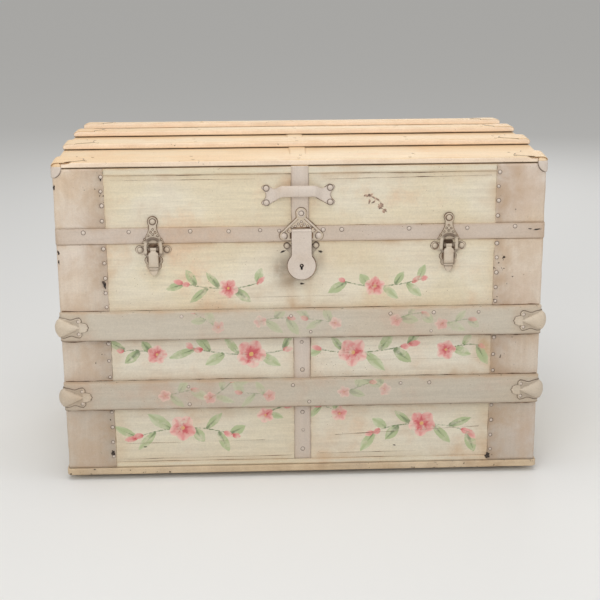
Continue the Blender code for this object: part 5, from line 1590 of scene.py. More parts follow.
def blendedOutline(circles, pull):
    # a lobed outline: the farthest reach of the circles seen from the origin, with smooth necks between them
    count = 120
    angles = np.linspace(-math.pi, math.pi, count, endpoint=False)
    total = np.zeros(count)
    for x, y, radius in circles:
        far, turn = math.hypot(x, y), math.atan2(y, x)
        across = far * np.sin(angles - turn)
        along = far * np.cos(angles - turn)
        half = np.sqrt(np.maximum(radius ** 2 - across ** 2, 0))
        reach = np.where(np.abs(across) < radius, along + half, 0)
        total += np.exp(np.maximum(reach, 0) / pull) - 1
    reach = pull * np.log1p(total)
    return np.stack([reach * np.cos(angles), reach * np.sin(angles)], axis=1)


def tube(path, radius, sides, closed=True, **marks):
    # a round section carried along a path of points, its frame turned as little as possible
    path = np.asarray(path, float)
    ahead = np.roll(path, -1, axis=0) - np.roll(path, 1, axis=0)
    if not closed:
        ahead[0], ahead[-1] = path[1] - path[0], path[-1] - path[-2]
    ahead /= np.linalg.norm(ahead, axis=1, keepdims=True)
    start = np.cross(ahead[0], (0.3, 1.0, 0.1))
    firsts = [start / np.linalg.norm(start)]
    for direction in ahead[1:]:
        across = firsts[-1] - direction * (firsts[-1] @ direction)
        firsts.append(across / np.linalg.norm(across))
    first = np.array(firsts)
    second = np.cross(ahead, first)
    angle = 2 * math.pi * np.arange(sides) / sides
    ring = np.cos(angle)[None, :, None] * first[:, None] + np.sin(angle)[None, :, None] * second[:, None]
    radius = np.broadcast_to(radius, (len(path),))[:, None, None]
    return surface(path[:, None] + radius * ring, "rc" if closed else "c", caps=not closed, **marks)


def roundBar(low, high, y, z, radius, bevel, tip, sides, **marks):
    # a round bar along x, narrowing to the radius tip over the length bevel at its ends
    path = [(x, y, z) for x in (low, low + bevel, (low + high) / 2, high - bevel, high)]
    return tube(path, [tip, radius, radius, radius, tip], sides, False, **marks)


def crossPin(x, reach, y, z, radius, sides, **marks):  # a plain round pin along x, as far each way
    return tube([(x + far, y, z) for far in (-reach, 0, reach)], radius, sides, False, **marks)


clamps = {
    "slatLevel": 0.0016,  # the slats over the boards
    "slatThick": 0.012,
    "wall": 0.0015,
    "gap": 0.0003,
    "bend": 0.0093,
    "half": 0.0180,
    "hornReach": 0.034,
    "hornHalf": 0.0172,
    "hornRise": 0.0080,
    "tongue": (0.0400, 0.0092),  # (middle, radius) of the tip's round tongue
    "ears": (0.0318, 0.0124, 0.0060),  # (along, up, radius) of the lobes beside it
    "nail": (0.0322, 0.0116),
}


def clampTip(height):
    # how far a leg reaches at a height: the farther of a round tongue and the two round ears beside it
    middle, radius = clamps["tongue"]
    tongue = middle + np.sqrt(np.maximum(radius ** 2 - height ** 2, 0)) * (np.abs(height) < radius)
    tongue = np.where(np.abs(height) < radius, tongue + 0.0007 * np.cos(height * 2 * math.pi / 0.0065), 0.0)
    along, up, radius = clamps["ears"]
    off = np.abs(height) - up
    ear = np.where(np.abs(off) < radius, along + np.sqrt(np.maximum(radius ** 2 - off ** 2, 0)), 0.0)
    return np.maximum(np.maximum(tongue, ear), 0.0335)


def clampHalf(far):  # half height along a leg: full at the corner, a waist, and full again at the ears
    waist = np.exp(-((far - 0.0185) / 0.0080) ** 2)
    return clamps["half"] * (1.02 - 0.20 * waist) - 0.0012 * smoothStep(0.034, 0.046, far)


def clampBorder(far, height):
    # distance to the plate's outline, from points along it
    levels = np.linspace(-clamps["half"], clamps["half"], 161)
    tip = np.stack([clampTip(levels), levels], axis=1)
    side = np.linspace(0, clampTip(clamps["half"]), 40)
    sides = [np.stack([side, sign * clampHalf(side)], axis=1) for sign in (-1, 1)]
    outline = np.vstack([tip, *sides])
    spot = np.stack([far, height], axis=-1).reshape(-1, 1, 2)
    return np.linalg.norm(spot - outline[None], axis=2).min(axis=1).reshape(far.shape)


def makeClamp(end, row, side, seed):
    # two legs from the corner; along is signed, to the front or back below zero and to the end above it
    signX, signY = signs[side], signs[end]
    box = nodeBox(f"slat_clamp_{end}_{row}_{side}")
    middle = (box[0][2] + box[1][2]) / 2
    face = trunk["boardY"] + clamps["slatLevel"] + clamps["slatThick"] + clamps["gap"]
    sideFace = trunk["boardX"] + clamps["slatLevel"]
    across = np.concatenate([[-1.06], np.linspace(-1, 1, 43), [1.06]])
    share = np.concatenate([np.linspace(0, 0.9, 30), np.linspace(0.9, 1, 8)[1:], [1.012]])
    stretch = np.concatenate([-share[::-1], share[1:]])[:, None]
    tip = clampTip(np.clip(across, -1, 1) * clamps["half"])[None, :]
    signed = stretch * tip
    far = np.abs(signed)
    height = across[None, :] * clampHalf(far)
    outside = (np.abs(across) > 1)[None, :] | (np.abs(stretch) > 1)
    border = np.where(outside, 0.0, clampBorder(far, height))
    horn = np.clip(1 - far / clamps["hornReach"], 0, 1)
    wide = clamps["hornHalf"] * np.maximum(horn, 1e-6) ** 0.9
    rise = clamps["hornRise"] * np.sqrt(horn) * np.sqrt(np.clip(1 - (height / wide) ** 2, 0, 1))
    plate = clamps["wall"] * np.sqrt(smoothStep(-0.0001, 0.0014, border))
    ridge = 0.0006 * np.exp(-((border - 0.0022) / 0.0010) ** 2) * smoothStep(0.012, 0.020, far)
    rough = 0.00025 * ripple(
        np.stack([far, height, 0 * far], axis=-1), seed, 0.012
    ) * smoothStep(0, 0.003, border)
    out = np.where(outside, 0.0002, plate + rise + ridge + rough)
    turnLength = clamps["bend"] * math.pi / 4
    turn = np.clip((turnLength - signed) / (2 * turnLength), 0, 1) * math.pi / 2
    past = np.maximum(far - turnLength, 0)
    x = (
        sideFace - clamps["bend"] + clamps["bend"] * np.cos(turn) - np.where(signed < 0, past, 0)
        + np.cos(turn) * out
    )
    y = (
        face - clamps["bend"] + clamps["bend"] * np.sin(turn) - np.where(signed > 0, past, 0)
        + np.sin(turn) * out
    )
    grid = np.stack([signX * x, signY * y, middle + height], axis=-1)
    seam = np.where(outside, 1.0, smoothStep(0.0010, 0.0002, border))
    seam = np.maximum(seam, 0.7 * np.exp(-((rise - 0.0003) / 0.0003) ** 2) * (horn > 0.03))
    stain = 0.40 * np.maximum(np.exp(-border / 0.0035), 0.8 * np.exp(-(rise / 0.0016) ** 2) * (horn > 0))
    edge = np.maximum(0.4 * smoothStep(0.0030, 0.0010, border), 0.3 * horn)
    label = f"slatClamp{end.title()}{row.title()}{side.title()}"
    plate = surface(grid, outward=(signX, signY, 0), edge=edge, stain=stain, seam=seam)
    makePiece(label, plate, "casting", "case", f"slat_clamp_{end}_{row}_{side}")
    heads = []
    inset = clamps["nail"][0] - turnLength + clamps["bend"]
    for sign in (-1, 1):
        up = middle + sign * clamps["nail"][1]
        spot = (signX * (sideFace - inset), signY * (face + clamps["wall"]), up)
        heads.append(turnedHead(spot, end, 0.0026, 0.0014, 10))
        spot = (signX * (sideFace + clamps["wall"]), signY * (face - inset), up)
        heads.append(turnedHead(spot, side, 0.0026, 0.0014, 10))
    return heads


def makeClamps():
    # a clamp on both ends of each slat, and the nails of all of them
    heads = []
    spots = [
        (end, row, side)
        for end in ("front", "back")
        for row in ("upper", "lower")
        for side in ("left", "right")
    ]
    for number, (end, row, side) in enumerate(spots):
        heads += makeClamp(end, row, side, 300 + number)
    makePiece("clampNails", heads, "nail", "case")


caps = {
    "size": 0.0225,
    "proud": 0.0026,
    "power": 4.6,
    "reach": 0.0195,  # from the lid's corner to the cap's rim
    "split": 0.0045,  # over the lid's edge: warm cream paint above, greige below
    "wall": 0.0010,
}


def capCentre(signX, signY):  # the middle of the rounded cube that a cap is part of
    top = trunk["edgeZ"] + topSlats["level"] + topSlats["thickness"]
    size, proud = caps["size"], caps["proud"]
    return np.array([
        signX * (trunk["sheetX"] + proud - size),
        signY * (trunk["sheetY"] + proud - size),
        top + proud * 0.35 - size,
    ])


def makeCap(signX, signY):
    # rays fanned about the corner's diagonal, each as long as a rounded cube: 1 over the power mean of its
    # direction; each fan line stops where it is caps["reach"] from the lid's corner, and ends in a dirt line
    diagonal = np.array([signX, signY, 1.0]) / math.sqrt(3)
    first = np.cross(diagonal, (0, 0, 1.0))
    first /= np.linalg.norm(first)
    second = np.cross(diagonal, first)
    count = 72
    around = np.linspace(0, 2 * math.pi, count, endpoint=False)[None, :]

    def cast(opening):  # rays opened from the diagonal by an angle, and their lengths
        turned = np.cos(around)[..., None] * first + np.sin(around)[..., None] * second
        ray = np.cos(opening)[..., None] * diagonal + np.sin(opening)[..., None] * turned
        length = (np.abs(ray) ** caps["power"]).sum(axis=-1) ** (-1 / caps["power"])
        return ray, length[..., None]

    centre = capCentre(signX, signY)
    corner = np.array(
        [
            signX * (trunk["sheetX"] + caps["proud"]), signY * (trunk["sheetY"] + caps["proud"]),
            trunk["edgeZ"] + 0.0030,
        ]
    )
    trial = np.radians(np.linspace(2, 80, 160))[:, None]
    ray, length = cast(trial)
    away = np.linalg.norm(centre + ray * length * caps["size"] - corner, axis=-1)
    limit = np.radians(2 + 78 / 159 * np.argmax(away > caps["reach"], axis=0))[None, :]
    share = np.concatenate([np.linspace(0.04, 0.93, 20), [0.97, 1.0, 1.035]])[:, None]
    ray, length = cast(limit * share)
    size = caps["size"] * (1 - np.interp(share, [0, 0.93, 0.97, 1, 1.035], [0, 0, 0.02, 0.075, 0.085]))
    size = size + 0.00012 * ripple(ray, 7, 0.6)
    points = centre + ray * length * size[..., None]
    seam = np.interp(share, [0.0, 0.95, 0.985, 1.04], [0, 0, 1, 1])
    cap = surface(
        points, "c", outward=diagonal, edge=np.maximum(0.5 * seam, 0.35), stain=0.25 + 0.6 * seam,
        seam=seam,
    )
    ring = points[0] - points[0].mean(axis=0)
    turns = np.cross(ring[0], ring[1]) @ diagonal > 0
    cap["lids"] = [np.arange(count)[:: 1 if turns else -1]]
    return cap


def splitSurface(part, level):
    # the same surface as two, below and above a height, each with only the points it uses
    heights = part["points"][:, 2]
    made = []
    for above in (False, True):
        quads = part["quads"][(heights[part["quads"]].mean(axis=1) > level) == above]
        lids = [lid for lid in part["lids"] if (heights[lid].mean() > level) == above]
        used = np.unique(np.concatenate([quads.reshape(-1), *lids]))
        number = np.zeros(len(heights), int)
        number[used] = np.arange(len(used))
        marks = {name: values[used] for name, values in part["marks"].items()}
        made.append(
            {
                "points": part["points"][used], "quads": number[quads],
                "lids": [number[lid] for lid in lids], "marks": marks,
            }
        )
    return made


endPlates = {
    "reach": 0.054,
    "near": 0.020,
    "wall": 0.0007,
}


def makeEndPlate(middle, signX):
    # thin metal over a slat's end: across its width and from the end inwards to a scroll-shaped edge, then
    # folded down over the slat's end
    way = 1 if middle < 0 else -1
    across = np.linspace(-0.98, 0.98, 33)
    place = across * way
    scroll = smoothStep(-1.02, -0.42, place) ** 0.8
    reach = endPlates["near"] + (endPlates["reach"] - endPlates["near"]) * scroll
    reach = reach - 0.014 * smoothStep(0.05, 0.75, place) + 0.004 * np.exp(-((place + 0.34) / 0.10) ** 2)
    share = np.concatenate([np.linspace(0, 0.95, 22), [0.975, 0.99, 1.0, 1.02]])
    inwards = 0.0006 + share[:, None] * (reach[None, :] - 0.0006)
    half, radius = topSlats["width"] / 2, topSlats["round"]
    wide = np.broadcast_to(across * half, inwards.shape)
    roll = np.clip(np.abs(wide) - (half - radius), 0, radius)
    nose = np.clip(1 - inwards / topSlats["nose"][0], 0, 1)
    up = (
        topSlats["level"] + topSlats["thickness"] + endPlates["wall"] - radius
        + np.sqrt(radius ** 2 - roll ** 2)
    )
    thinned = endPlates["wall"] * np.interp(share, [0, 0.985, 1.0, 1.02], [0, 0, 0.85, 1.05])
    up = up - topSlats["nose"][1] * (1 - np.sqrt(1 - nose ** 2)) - thinned[:, None]
    top = np.stack([inwards, wide, up], axis=-1)
    drop = np.array([0.0010, 0.0022, 0.0034])[:, None]
    down = np.stack(np.broadcast_arrays(np.full((3, 1), -0.0004), wide[:1], up[:1] - drop), axis=-1)
    grid = np.concatenate([down[::-1], top], axis=0)
    y, z = onSlat(middle, grid[..., 1], grid[..., 2])
    points = np.stack([signX * (trunk["sheetX"] - grid[..., 0]), y, z], axis=-1)
    seam = np.concatenate([np.zeros(3), np.interp(share, [0, 0.97, 0.992, 1.02], [0, 0, 1, 1])])[:, None]
    stain = np.concatenate([np.full(3, 0.3), smoothStep(0.80, 1.0, share)])[:, None]
    return surface(points, outward=(0, 0, 1), edge=0.5 * seam + 0.2, stain=stain, seam=seam)


def roundSlatEnds():
    # draws the outer slats' end corners inside the caps
    for name, signY in (("lidSlat1", -1), (f"lidSlat{topSlats['count']}", 1)):
        mesh = bpy.data.objects[name].data
        points = np.empty(len(mesh.vertices) * 3)
        mesh.vertices.foreach_get("co", points)
        points = points.reshape(-1, 3)
        for signX in (-1, 1):
            centre = capCentre(signX, signY)
            away = (points - centre) * (signX, signY, 1)
            inner = caps["size"] - 0.0018
            far = (np.clip(away, 0, None) ** caps["power"]).sum(axis=1) ** (1 / caps["power"])
            near = (away > -0.012).all(axis=1) & (far > inner)
            pulled = (
                np.clip(away, 0, None) * (inner / np.maximum(far, 1e-9))[:, None] + np.clip(away, None, 0)
            )
            points[near] = centre + pulled[near] * (signX, signY, 1)
        mesh.vertices.foreach_set("co", points.reshape(-1))
        mesh.update()


def makeLidEnds():
    # round caps in two paints over the lid's corners, and thin plates over the slats' ends
    roundSlatEnds()
    made = [makeCap(signX, signY) for signX in (-1, 1) for signY in (-1, 1)]
    halves = [splitSurface(cap, trunk["edgeZ"] + caps["split"]) for cap in made]
    ends = ("lid_slat_1", "lid_slat_4")
    makePiece("lidCornerCaps", [pair[0] for pair in halves], "grip", "lid", ends, wall=caps["wall"])
    makePiece("lidCornerCapTops", [pair[1] for pair in halves], "top", "lid", ends, wall=caps["wall"])
    plates = [makeEndPlate(middle, sign) for middle in topSlats["middles"] for sign in (-1, 1)]
    makePiece("lidSlatEndPlates", plates, "top", "lid")


grip = {
    "half": 0.064,
    "plate": 0.018,
    "height": 0.0220,
    "earHeight": 0.0385,
    "rise": 0.0122,
    "lift": 0.0085,
    "wall": 0.0022,
    "rivets": (0.0560, 0.0128),
}


def makeGrip():
    # along the bar: end plates that flare into two round ears each, and a bridge that rises out and up
    box = nodeBox("lid_grip")
    middleX = (box[0][0] + box[1][0]) / 2
    middleZ = box[0][2] + grip["earHeight"] / 2 + 0.0008
    half, inner = grip["half"], grip["half"] - grip["plate"]
    across = np.linspace(-1, 1, 25)
    ears = np.exp(-((np.abs(across) - 0.68) / 0.30) ** 2)
    tip = half - 0.0075 * (1 - ears) - 0.0045 * smoothStep(0.82, 1.0, np.abs(across))
    share = np.linspace(-1, 1, 81)
    onPlate = (np.abs(share) > 0.72)[:, None]
    past = (np.abs(share)[:, None] - 0.72) / 0.28 * (tip[None, :] - inner)
    along = np.where(onPlate, np.sign(share)[:, None] * (inner + past), share[:, None] / 0.72 * inner)
    bow = np.clip(1 - np.abs(along) / inner, 0, 1)
    bridge = np.sin(math.pi / 2 * np.clip(bow * 2.4, 0, 1)) ** 2
    flare = smoothStep(inner - 0.005, half - 0.006, np.abs(along))
    tall = grip["height"] / 2 + (grip["earHeight"] - grip["height"]) / 2 * flare - 0.0012 * bridge
    curve = 1 - across[None, :] ** 2
    level = 0.0003 + grip["wall"] + bridge * (grip["rise"] - 0.0015 + 0.0017 * curve)
    pads = np.zeros(along.shape)
    z = across[None, :] * tall + bridge * grip["lift"]
    rivets = [
        (signX * grip["rivets"][0], signZ * grip["rivets"][1]) for signX in (-1, 1) for signZ in (-1, 1)
    ]
    for rivetX, rivetZ in rivets:
        near = np.hypot(along - rivetX, z - rivetZ)
        pads = np.maximum(pads, smoothStep(0.0075, 0.0050, near))
    level = level + 0.0007 * pads
    points = np.stack([middleX + along, frontY(level), middleZ + z], axis=-1)
    border = np.minimum(tall - np.abs(across[None, :] * tall), np.abs(np.sign(along) * tip[None, :] - along))
    edge = smoothStep(0.0022, 0.0, border)
    edge = np.maximum(edge * 0.8, 0.3 * pads)
    held = surface(points, outward=forward, edge=edge, stain=np.exp(-border / 0.002))
    makePiece("lidGrip", held, "grip", "lid", "lid_grip", wall=grip["wall"] * 0.9)
    heads = []
    for rivetX, rivetZ in rivets:
        place = (middleX + rivetX, frontY(0.0032), middleZ + rivetZ)
        heads.append(turnedHead(place, "front", 0.0044, 0.0020, 14))
    makePiece("gripRivets", heads, "nail", "lid", "lid_grip")
    dirt = []
    for signX in (-1, 1):
        rows = np.where((np.abs(share) >= 0.72) & (np.sign(share) == signX))[0]
        order = rows if signX > 0 else rows[::-1]
        border = np.concatenate([points[order, 0], points[order[-1], 1:-1], points[order[::-1], -1]])
        border[:, 1] = frontY(0.0002)
        middle = np.array([middleX + signX * inner, border[0, 1], middleZ])
        dirt.append(seamPath(middle + (border - middle) * 1.02, forward, 750 + signX, 1.0, sunk=0.0003))
    # painted shadow: a broad dark line on the boards and the strap just under the bridge
    under = points[np.abs(share) < 0.72, 0]
    onStrap = np.abs(under[:, 0] - straps["lidX"]) < straps["width"] / 2
    under[:, 1] = frontY(np.where(onStrap, 0.0013, 0.0002))
    under[:, 2] -= 0.0006
    dirt.append(seamPath(under, forward, 755, 1.5, sunk=0.0002))
    makePiece("gripGrimeAndShadow", dirt, "grimeAndShade", "lid")


lock = {
    "top": (0.0514, 0.0098),
    "apex": (0.0415, 0.0075),
    "ear": (0.0308, 0.0108, 0.0080),
    "thick": 0.0015,
    "level": 0.0027,  # over the boards, clear of the band
    "pivotZ": partingZ + 0.0210,
    "pivotLevel": 0.0082,
    "disc": 0.0260,
    "discDrop": 0.0635,  # under the pivot
    "neck": 0.0180,
    "hasp": 0.0026,
    "keyhole": (0.0037, 0.0032, 0.0112),  # radius of its eye, width of its slot, height
    "ribInset": 0.0021,
    "bosses": (  # x, z, radius
        (0.0, 0.0362, 0.0017),
        (-0.0052, 0.0322, 0.0015),
        (0.0050, 0.0318, 0.0016),
        (-0.0106, 0.0282, 0.0015),
        (0.0108, 0.0284, 0.0014),
        (0.0002, 0.0288, 0.0015),
        (-0.0160, 0.0258, 0.0012),
        (0.0162, 0.0256, 0.0013),
        (-0.0228, 0.0196, 0.0014),
        (0.0230, 0.0198, 0.0014),
    ),
    "case": (0.0215, 0.0016),  # radius and wall of the rim on its back
    "caseBack": 0.0028,
    "caseOpening": 30,
    "staple": (0.0026, 0.0200, 0.0042, 0.0030),  # thickness, height, reach and wall
    "stapleDrop": 0.0425,
}


def makeLockPlate():
    # along each ray the outline is the farther of a belt round three circles and a round head; its ribs are
    # tubes along the gable's slopes
    topZ, topR = lock["top"]
    apexZ, apexR = lock["apex"]
    earX, earZ, earR = lock["ear"]
    centre = np.array([0, 0.024])
    gable = beltOutline([(0, apexZ, apexR), *mirrored([lock["ear"]])])
    angles = rayAngles(gable, centre, 160)
    far = np.maximum(
        castRays(gable, centre, angles), castRays(arcPoints(0, topZ, topR, 0, 350, 35), centre, angles)
    )
    outline = centre + far[:, None] * np.stack([np.cos(angles), np.sin(angles)], axis=1)
    rows = plateRows(lock["thick"], ridge=0.0011, width=0.0030, field=0.0)
    parts = [frontPlate(outline, centre, rows, lock["level"], (0, partingZ), 40)]
    face = lock["level"] + lock["thick"]
    for sign in (-1, 1):
        x = sign * (lock["neck"] + 0.0020)
        lug = roundBox(0.0066, 0.0070, 0.0016)
        lug = np.stack([frontY(face + 0.0020) + lug[:, 0], lock["pivotZ"] + lug[:, 1]], axis=1)
        xs = (x - 0.0015, x - 0.0010, x + 0.0010, x + 0.0015)
        parts.append(loft(carried(xs, lug, "x"), edge=0.5, stain=0.6))
    level = frontY(lock["pivotLevel"])
    parts.append(crossPin(0, lock["neck"] + 0.003, level, lock["pivotZ"], 0.0012, 10, edge=0.5))
    makePiece("lockPlate", parts, "casting", "lid", "lock_plate")
    heads = [turnedHead((0, frontY(face + 0.0006), partingZ + topZ), "front", 0.0036, 0.0016, 16)]
    path = frontRing(0, partingZ + topZ, face + 0.0006, 0.0062, 32)
    heads.append(tube(path, 0.0011, 8, edge=0.6, stain=0.5))
    dirt = [plateGrime(outline, centre, 0.0024, (0, partingZ), 720, 1.1, 0.0003)]
    dirt.append(seamPath(path + (0, 0.0007, 0), forward, 721, 1.9, closed=True, sunk=0.0002))
    domes, rings = beads(lock["bosses"], face, (0, partingZ), 760)
    heads += domes
    dirt += rings
    beside, over = lock["neck"] + 0.0011, lock["pivotZ"] - partingZ + 0.0042
    recess = alongLoop(
        [(-beside, 0.003), (-beside, over), (beside, over), (beside, 0.003)], 0.003, closed=False
    )
    recess = np.stack([recess[:, 0], np.full(len(recess), frontY(face)), partingZ + recess[:, 1]], axis=1)
    dirt.append(seamPath(recess, forward, 775, 2.3, sunk=0.0002))
    for sign in (-1, 1):
        spot = (sign * earX, frontY(face), partingZ + earZ)
        heads.append(turnedHead(spot, "front", 0.0052, 0.0026, 16))
        share = np.linspace(0, 1, 12)[:, None]
        slope = np.array([earX, earZ - apexZ]) / math.hypot(earX, earZ - apexZ)
        normal = np.array([-sign * slope[1], 0, slope[0]])
        start = np.array([0, frontY(face), partingZ + apexZ]) + normal * (apexR - lock["ribInset"])
        rib = start + (np.array(spot) + normal * (earR - lock["ribInset"]) - start) * (0.10 + 0.80 * share)
        heads.append(tube(rib, 0.0012, 8, False, edge=0.6, stain=0.2))
        dirt.append(seamPath(rib - normal * 0.0021, forward, 722 + sign, 0.95, sunk=0.0001))
        ring = frontRing(spot[0], spot[2], face, 0.0064, 28)
        dirt.append(seamPath(ring, forward, 726 + sign, 0.9, closed=True, sunk=0.0002))
    makePiece("lockRivets", heads, "nail", "lid", "lock_plate")
    makePiece("lockGrime", dirt, "grimeAndShade", "lid")


def lockCase():
    # a rim behind the hasp's disc: a rectangle of wall and depth carried round an arc that is open below
    radius, wall = lock["case"]
    front, back = lock["pivotLevel"] - lock["hasp"] / 2 + 0.0004, lock["caseBack"]
    turn = np.radians(np.linspace(lock["caseOpening"] - 90, 270 - lock["caseOpening"], 40))
    section = np.array([(radius, front), (radius, back), (radius - wall, back), (radius - wall, front)])
    grid = np.empty((len(turn), 4, 3))
    grid[..., 0] = np.cos(turn)[:, None] * section[None, :, 0]
    grid[..., 1] = frontY(section[None, :, 1])
    grid[..., 2] = lock["pivotZ"] - lock["discDrop"] + np.sin(turn)[:, None] * section[None, :, 0]
    return loft(grid, edge=0.4, stain=0.7, seam=0.5)


def makeHasp():
    # a neck with round upper corners that widens into a disc's arc, its keyhole, and a barrel along its top
    pivotY = trunk["boardY"] + lock["pivotLevel"]
    neck, disc, drop = lock["neck"], lock["disc"], lock["discDrop"]
    join = math.degrees(math.asin(neck / disc))
    shoulder = -drop + disc * math.cos(math.radians(join)) + 0.004
    outline = np.vstack([
        [(neck, -0.004)],
        arcPoints(neck - 0.0025, 0.0005, 0.0025, 0, 90, 3),
        arcPoints(-neck + 0.0025, 0.0005, 0.0025, 90, 180, 3),
        [(-neck, -0.004)],
        [(-neck, shoulder)],
        arcPoints(0, -drop, disc, 90 + join + 3, 450 - join - 3, 44),
        [(neck, shoulder)],
    ])
    centre = np.array([0.0, -drop])
    eye, slot, tall = lock["keyhole"]
    foot = -drop - tall + eye
    hole = np.vstack([arcPoints(0, -drop, eye, -58, 238, 14), [(-slot / 2, foot), (slot / 2, foot)]])
    thick = lock["hasp"]
    rows = [
        (1, 0.0, 0.0), (1, 0.0, thick * 0.6), (1, 0.0003, thick * 0.85), (1, 0.0009, thick),
        (1, 0.0020, thick + 0.00015),
        (0.8, 0.0, thick + 0.0002), (0.6, 0.0, thick + 0.0003), (0.4, 0.0, thick + 0.0004),
        (0.2, 0.0, thick + 0.0004),
        (0, -0.0006, thick + 0.0004), (0, -0.0002, thick + 0.0002),
        (0, 0.0, thick - 0.0004), (0, 0.0, 0.0), (0.4, 0.0, 0.0),
    ]
    level = lock["pivotLevel"] - thick / 2
    plate = frontPlate(outline, centre, rows, level, (0, lock["pivotZ"]), 140, hole)
    end = neck - 0.0006
    barrel = roundBar(-end, end, -pivotY, lock["pivotZ"], 0.0028, 0.0004, 0.0022, 18, edge=0.4)
    makePiece("lockHasp", [plate, barrel, lockCase()], "grip", "lock_hasp", "lock_hasp")
    drawn = centre + (outline - centre) * 0.965
    path = np.stack(
        [drawn[:, 0], np.full(len(drawn), frontY(level + thick)), lock["pivotZ"] + drawn[:, 1]], axis=1
    )
    path = path[4:-1]  # from the top's first corner round to the neck
    below = path[:, 2] < lock["pivotZ"] - drop
    # a dark line round the disc's rim, and a broader one round its lower half that is painted shadow
    rimDirtAndShadow = []
    for line, seed, width in ((path, 733, 0.9), (path[below] + (0, 0.0009, 0), 734, 1.5)):
        rimDirtAndShadow.append(seamPath(alongLoop(line, 0.003, closed=False), forward, seed, width, sunk=0.0003))
    makePiece("haspGrimeAndShadow", rimDirtAndShadow, "grimeAndShade", "lock_hasp")
    pin = turnedHead((0, frontY(level), lock["pivotZ"] - drop), "front", 0.0013, 0.0006, 10)
    makePiece("lockPost", pin, "nail", "lock_hasp", "lock_hasp")
    place = (0, lock["pivotZ"] - drop - 0.001)
    rows = [(1, 0, 0), (1, 0, 0.0006), (0.5, 0, 0.0007), (0.05, 0, 0.0007)]
    cavity = frontPlate(arcPoints(0, 0, 0.0075, 0, 354, 22), np.zeros(2), rows, level - 0.0011, place, 24)
    makePiece("keyholeShade", cavity, "dark", "lock_hasp", "lock_hasp")


keeper = {
    "drop": 0.0345,  # under the parting line
    "ear": (0.0257, 0.0270, 0.0060),  # x, z and radius
    "neck": (0.0135, 0.0180, 0.0085),
    "middle": (0, 0, 0.017),
    "foot": (0, -0.0190, 0.0125),
    "slot": (0.008, 0.016, 0.002),  # width, height and corner radius
    "thick": 0.0012,
    "face": 0.0015,  # over the boards
}


def makeKeeper():
    # a plate of blended circles with a slot, and a staple: a square bow carried along x
    lobes = mirrored([keeper["ear"], keeper["neck"]])
    outline = blendedOutline([keeper["middle"], keeper["foot"], *lobes], 0.0018)
    centre, thick = np.array([0.0, -0.0080]), keeper["thick"]
    hole = roundBox(*keeper["slot"]) + centre
    rows = [
        (1, 0.0, 0.0), (1, 0.0, 0.0008), (1, 0.0003, thick), (0.5, 0.0, thick), (0, -0.0004, thick),
        (0, 0.0, 0.0009), (0, 0.0, 0.0), (0.5, 0, 0),
    ]
    place, face = (0, partingZ - keeper["drop"]), keeper["face"]
    parts = [frontPlate(outline, centre, rows, face - thick, place, 96, hole)]
    for sign in (-1, 1):
        spot = (sign * keeper["ear"][0], frontY(face), place[1] + keeper["ear"][1])
        parts.append(turnedHead(spot, "front", 0.0042, 0.0020, 14, root=0.0008))
    thick, tall, reach, wall = lock["staple"]
    curve = arcPoints(face + reach - 0.0028, -tall / 2 + 0.0022, 0.0022, 270, 360, 4)
    outer = np.vstack([[(0.0006, -tall / 2)], curve])
    outer = np.vstack([outer, outer[::-1] * (1, -1)])
    inner = np.array([(0.0006, -tall / 2 + wall), (face + reach - 0.0006 - wall / 2, -tall / 2 + wall)])
    inner = np.vstack([inner, inner[::-1] * (1, -1)])
    bow = np.vstack([outer, inner[::-1]])
    bow = np.stack([frontY(bow[:, 0]), partingZ - lock["stapleDrop"] + bow[:, 1]], axis=1)
    parts.append(loft(carried((-thick / 2, thick / 2), bow, "x"), edge=0.6, stain=0.6))
    makePiece("lockKeeper", parts, "casting", "case", "lock_keeper")
    dirt = plateGrime(outline, centre, 0.0, place, 735, 1.1, 0.0003)
    makePiece("keeperGrime", dirt, "grimeAndShade", "case")


latch = {
    "x": 0.261,
    "catchTop": (0.0400, 0.0085),
    "catchFoot": (0.0152, 0.0068, 0.0052),
    "catchMiddle": 0.020,
    "baseDrop": 0.022,
    "baseEar": (0.0237, 0.0110),  # x, and under the parting line as well as over the base's middle
    "level": 0.0027,
    "pivotDrop": 0.0085,
    "pivotLevel": 0.0090,
    "eyeDrop": 0.0200,
    "hookZ": 0.0049,
    "bailTop": 0.0112,
    "bailHalf": 0.0135,
    "lean": math.radians(3),
    "lever": (0.0184, 0.0475),
    "leverSide": (0.0016, 0.0030, 0.0150, 0.0330),  # wall, depth, and where they run under the pivot
    "bosses": (  # x, z, radius, on the catch
        (0.0, 0.0262, 0.0013),
        (-0.0040, 0.0212, 0.0012),
        (0.0042, 0.0208, 0.0012),
        (0.0001, 0.0170, 0.0013),
        (-0.0082, 0.0150, 0.0012),
        (0.0080, 0.0146, 0.0013),
        (-0.0142, 0.0082, 0.0012),
        (0.0144, 0.0080, 0.0012),
    ),
    "groove": 0.0335,  # under the pivot, over the thumb tab
    "tab": 0.0068,
    "bailWide": 1.4,  # the bail's width as a share of its wire's
}


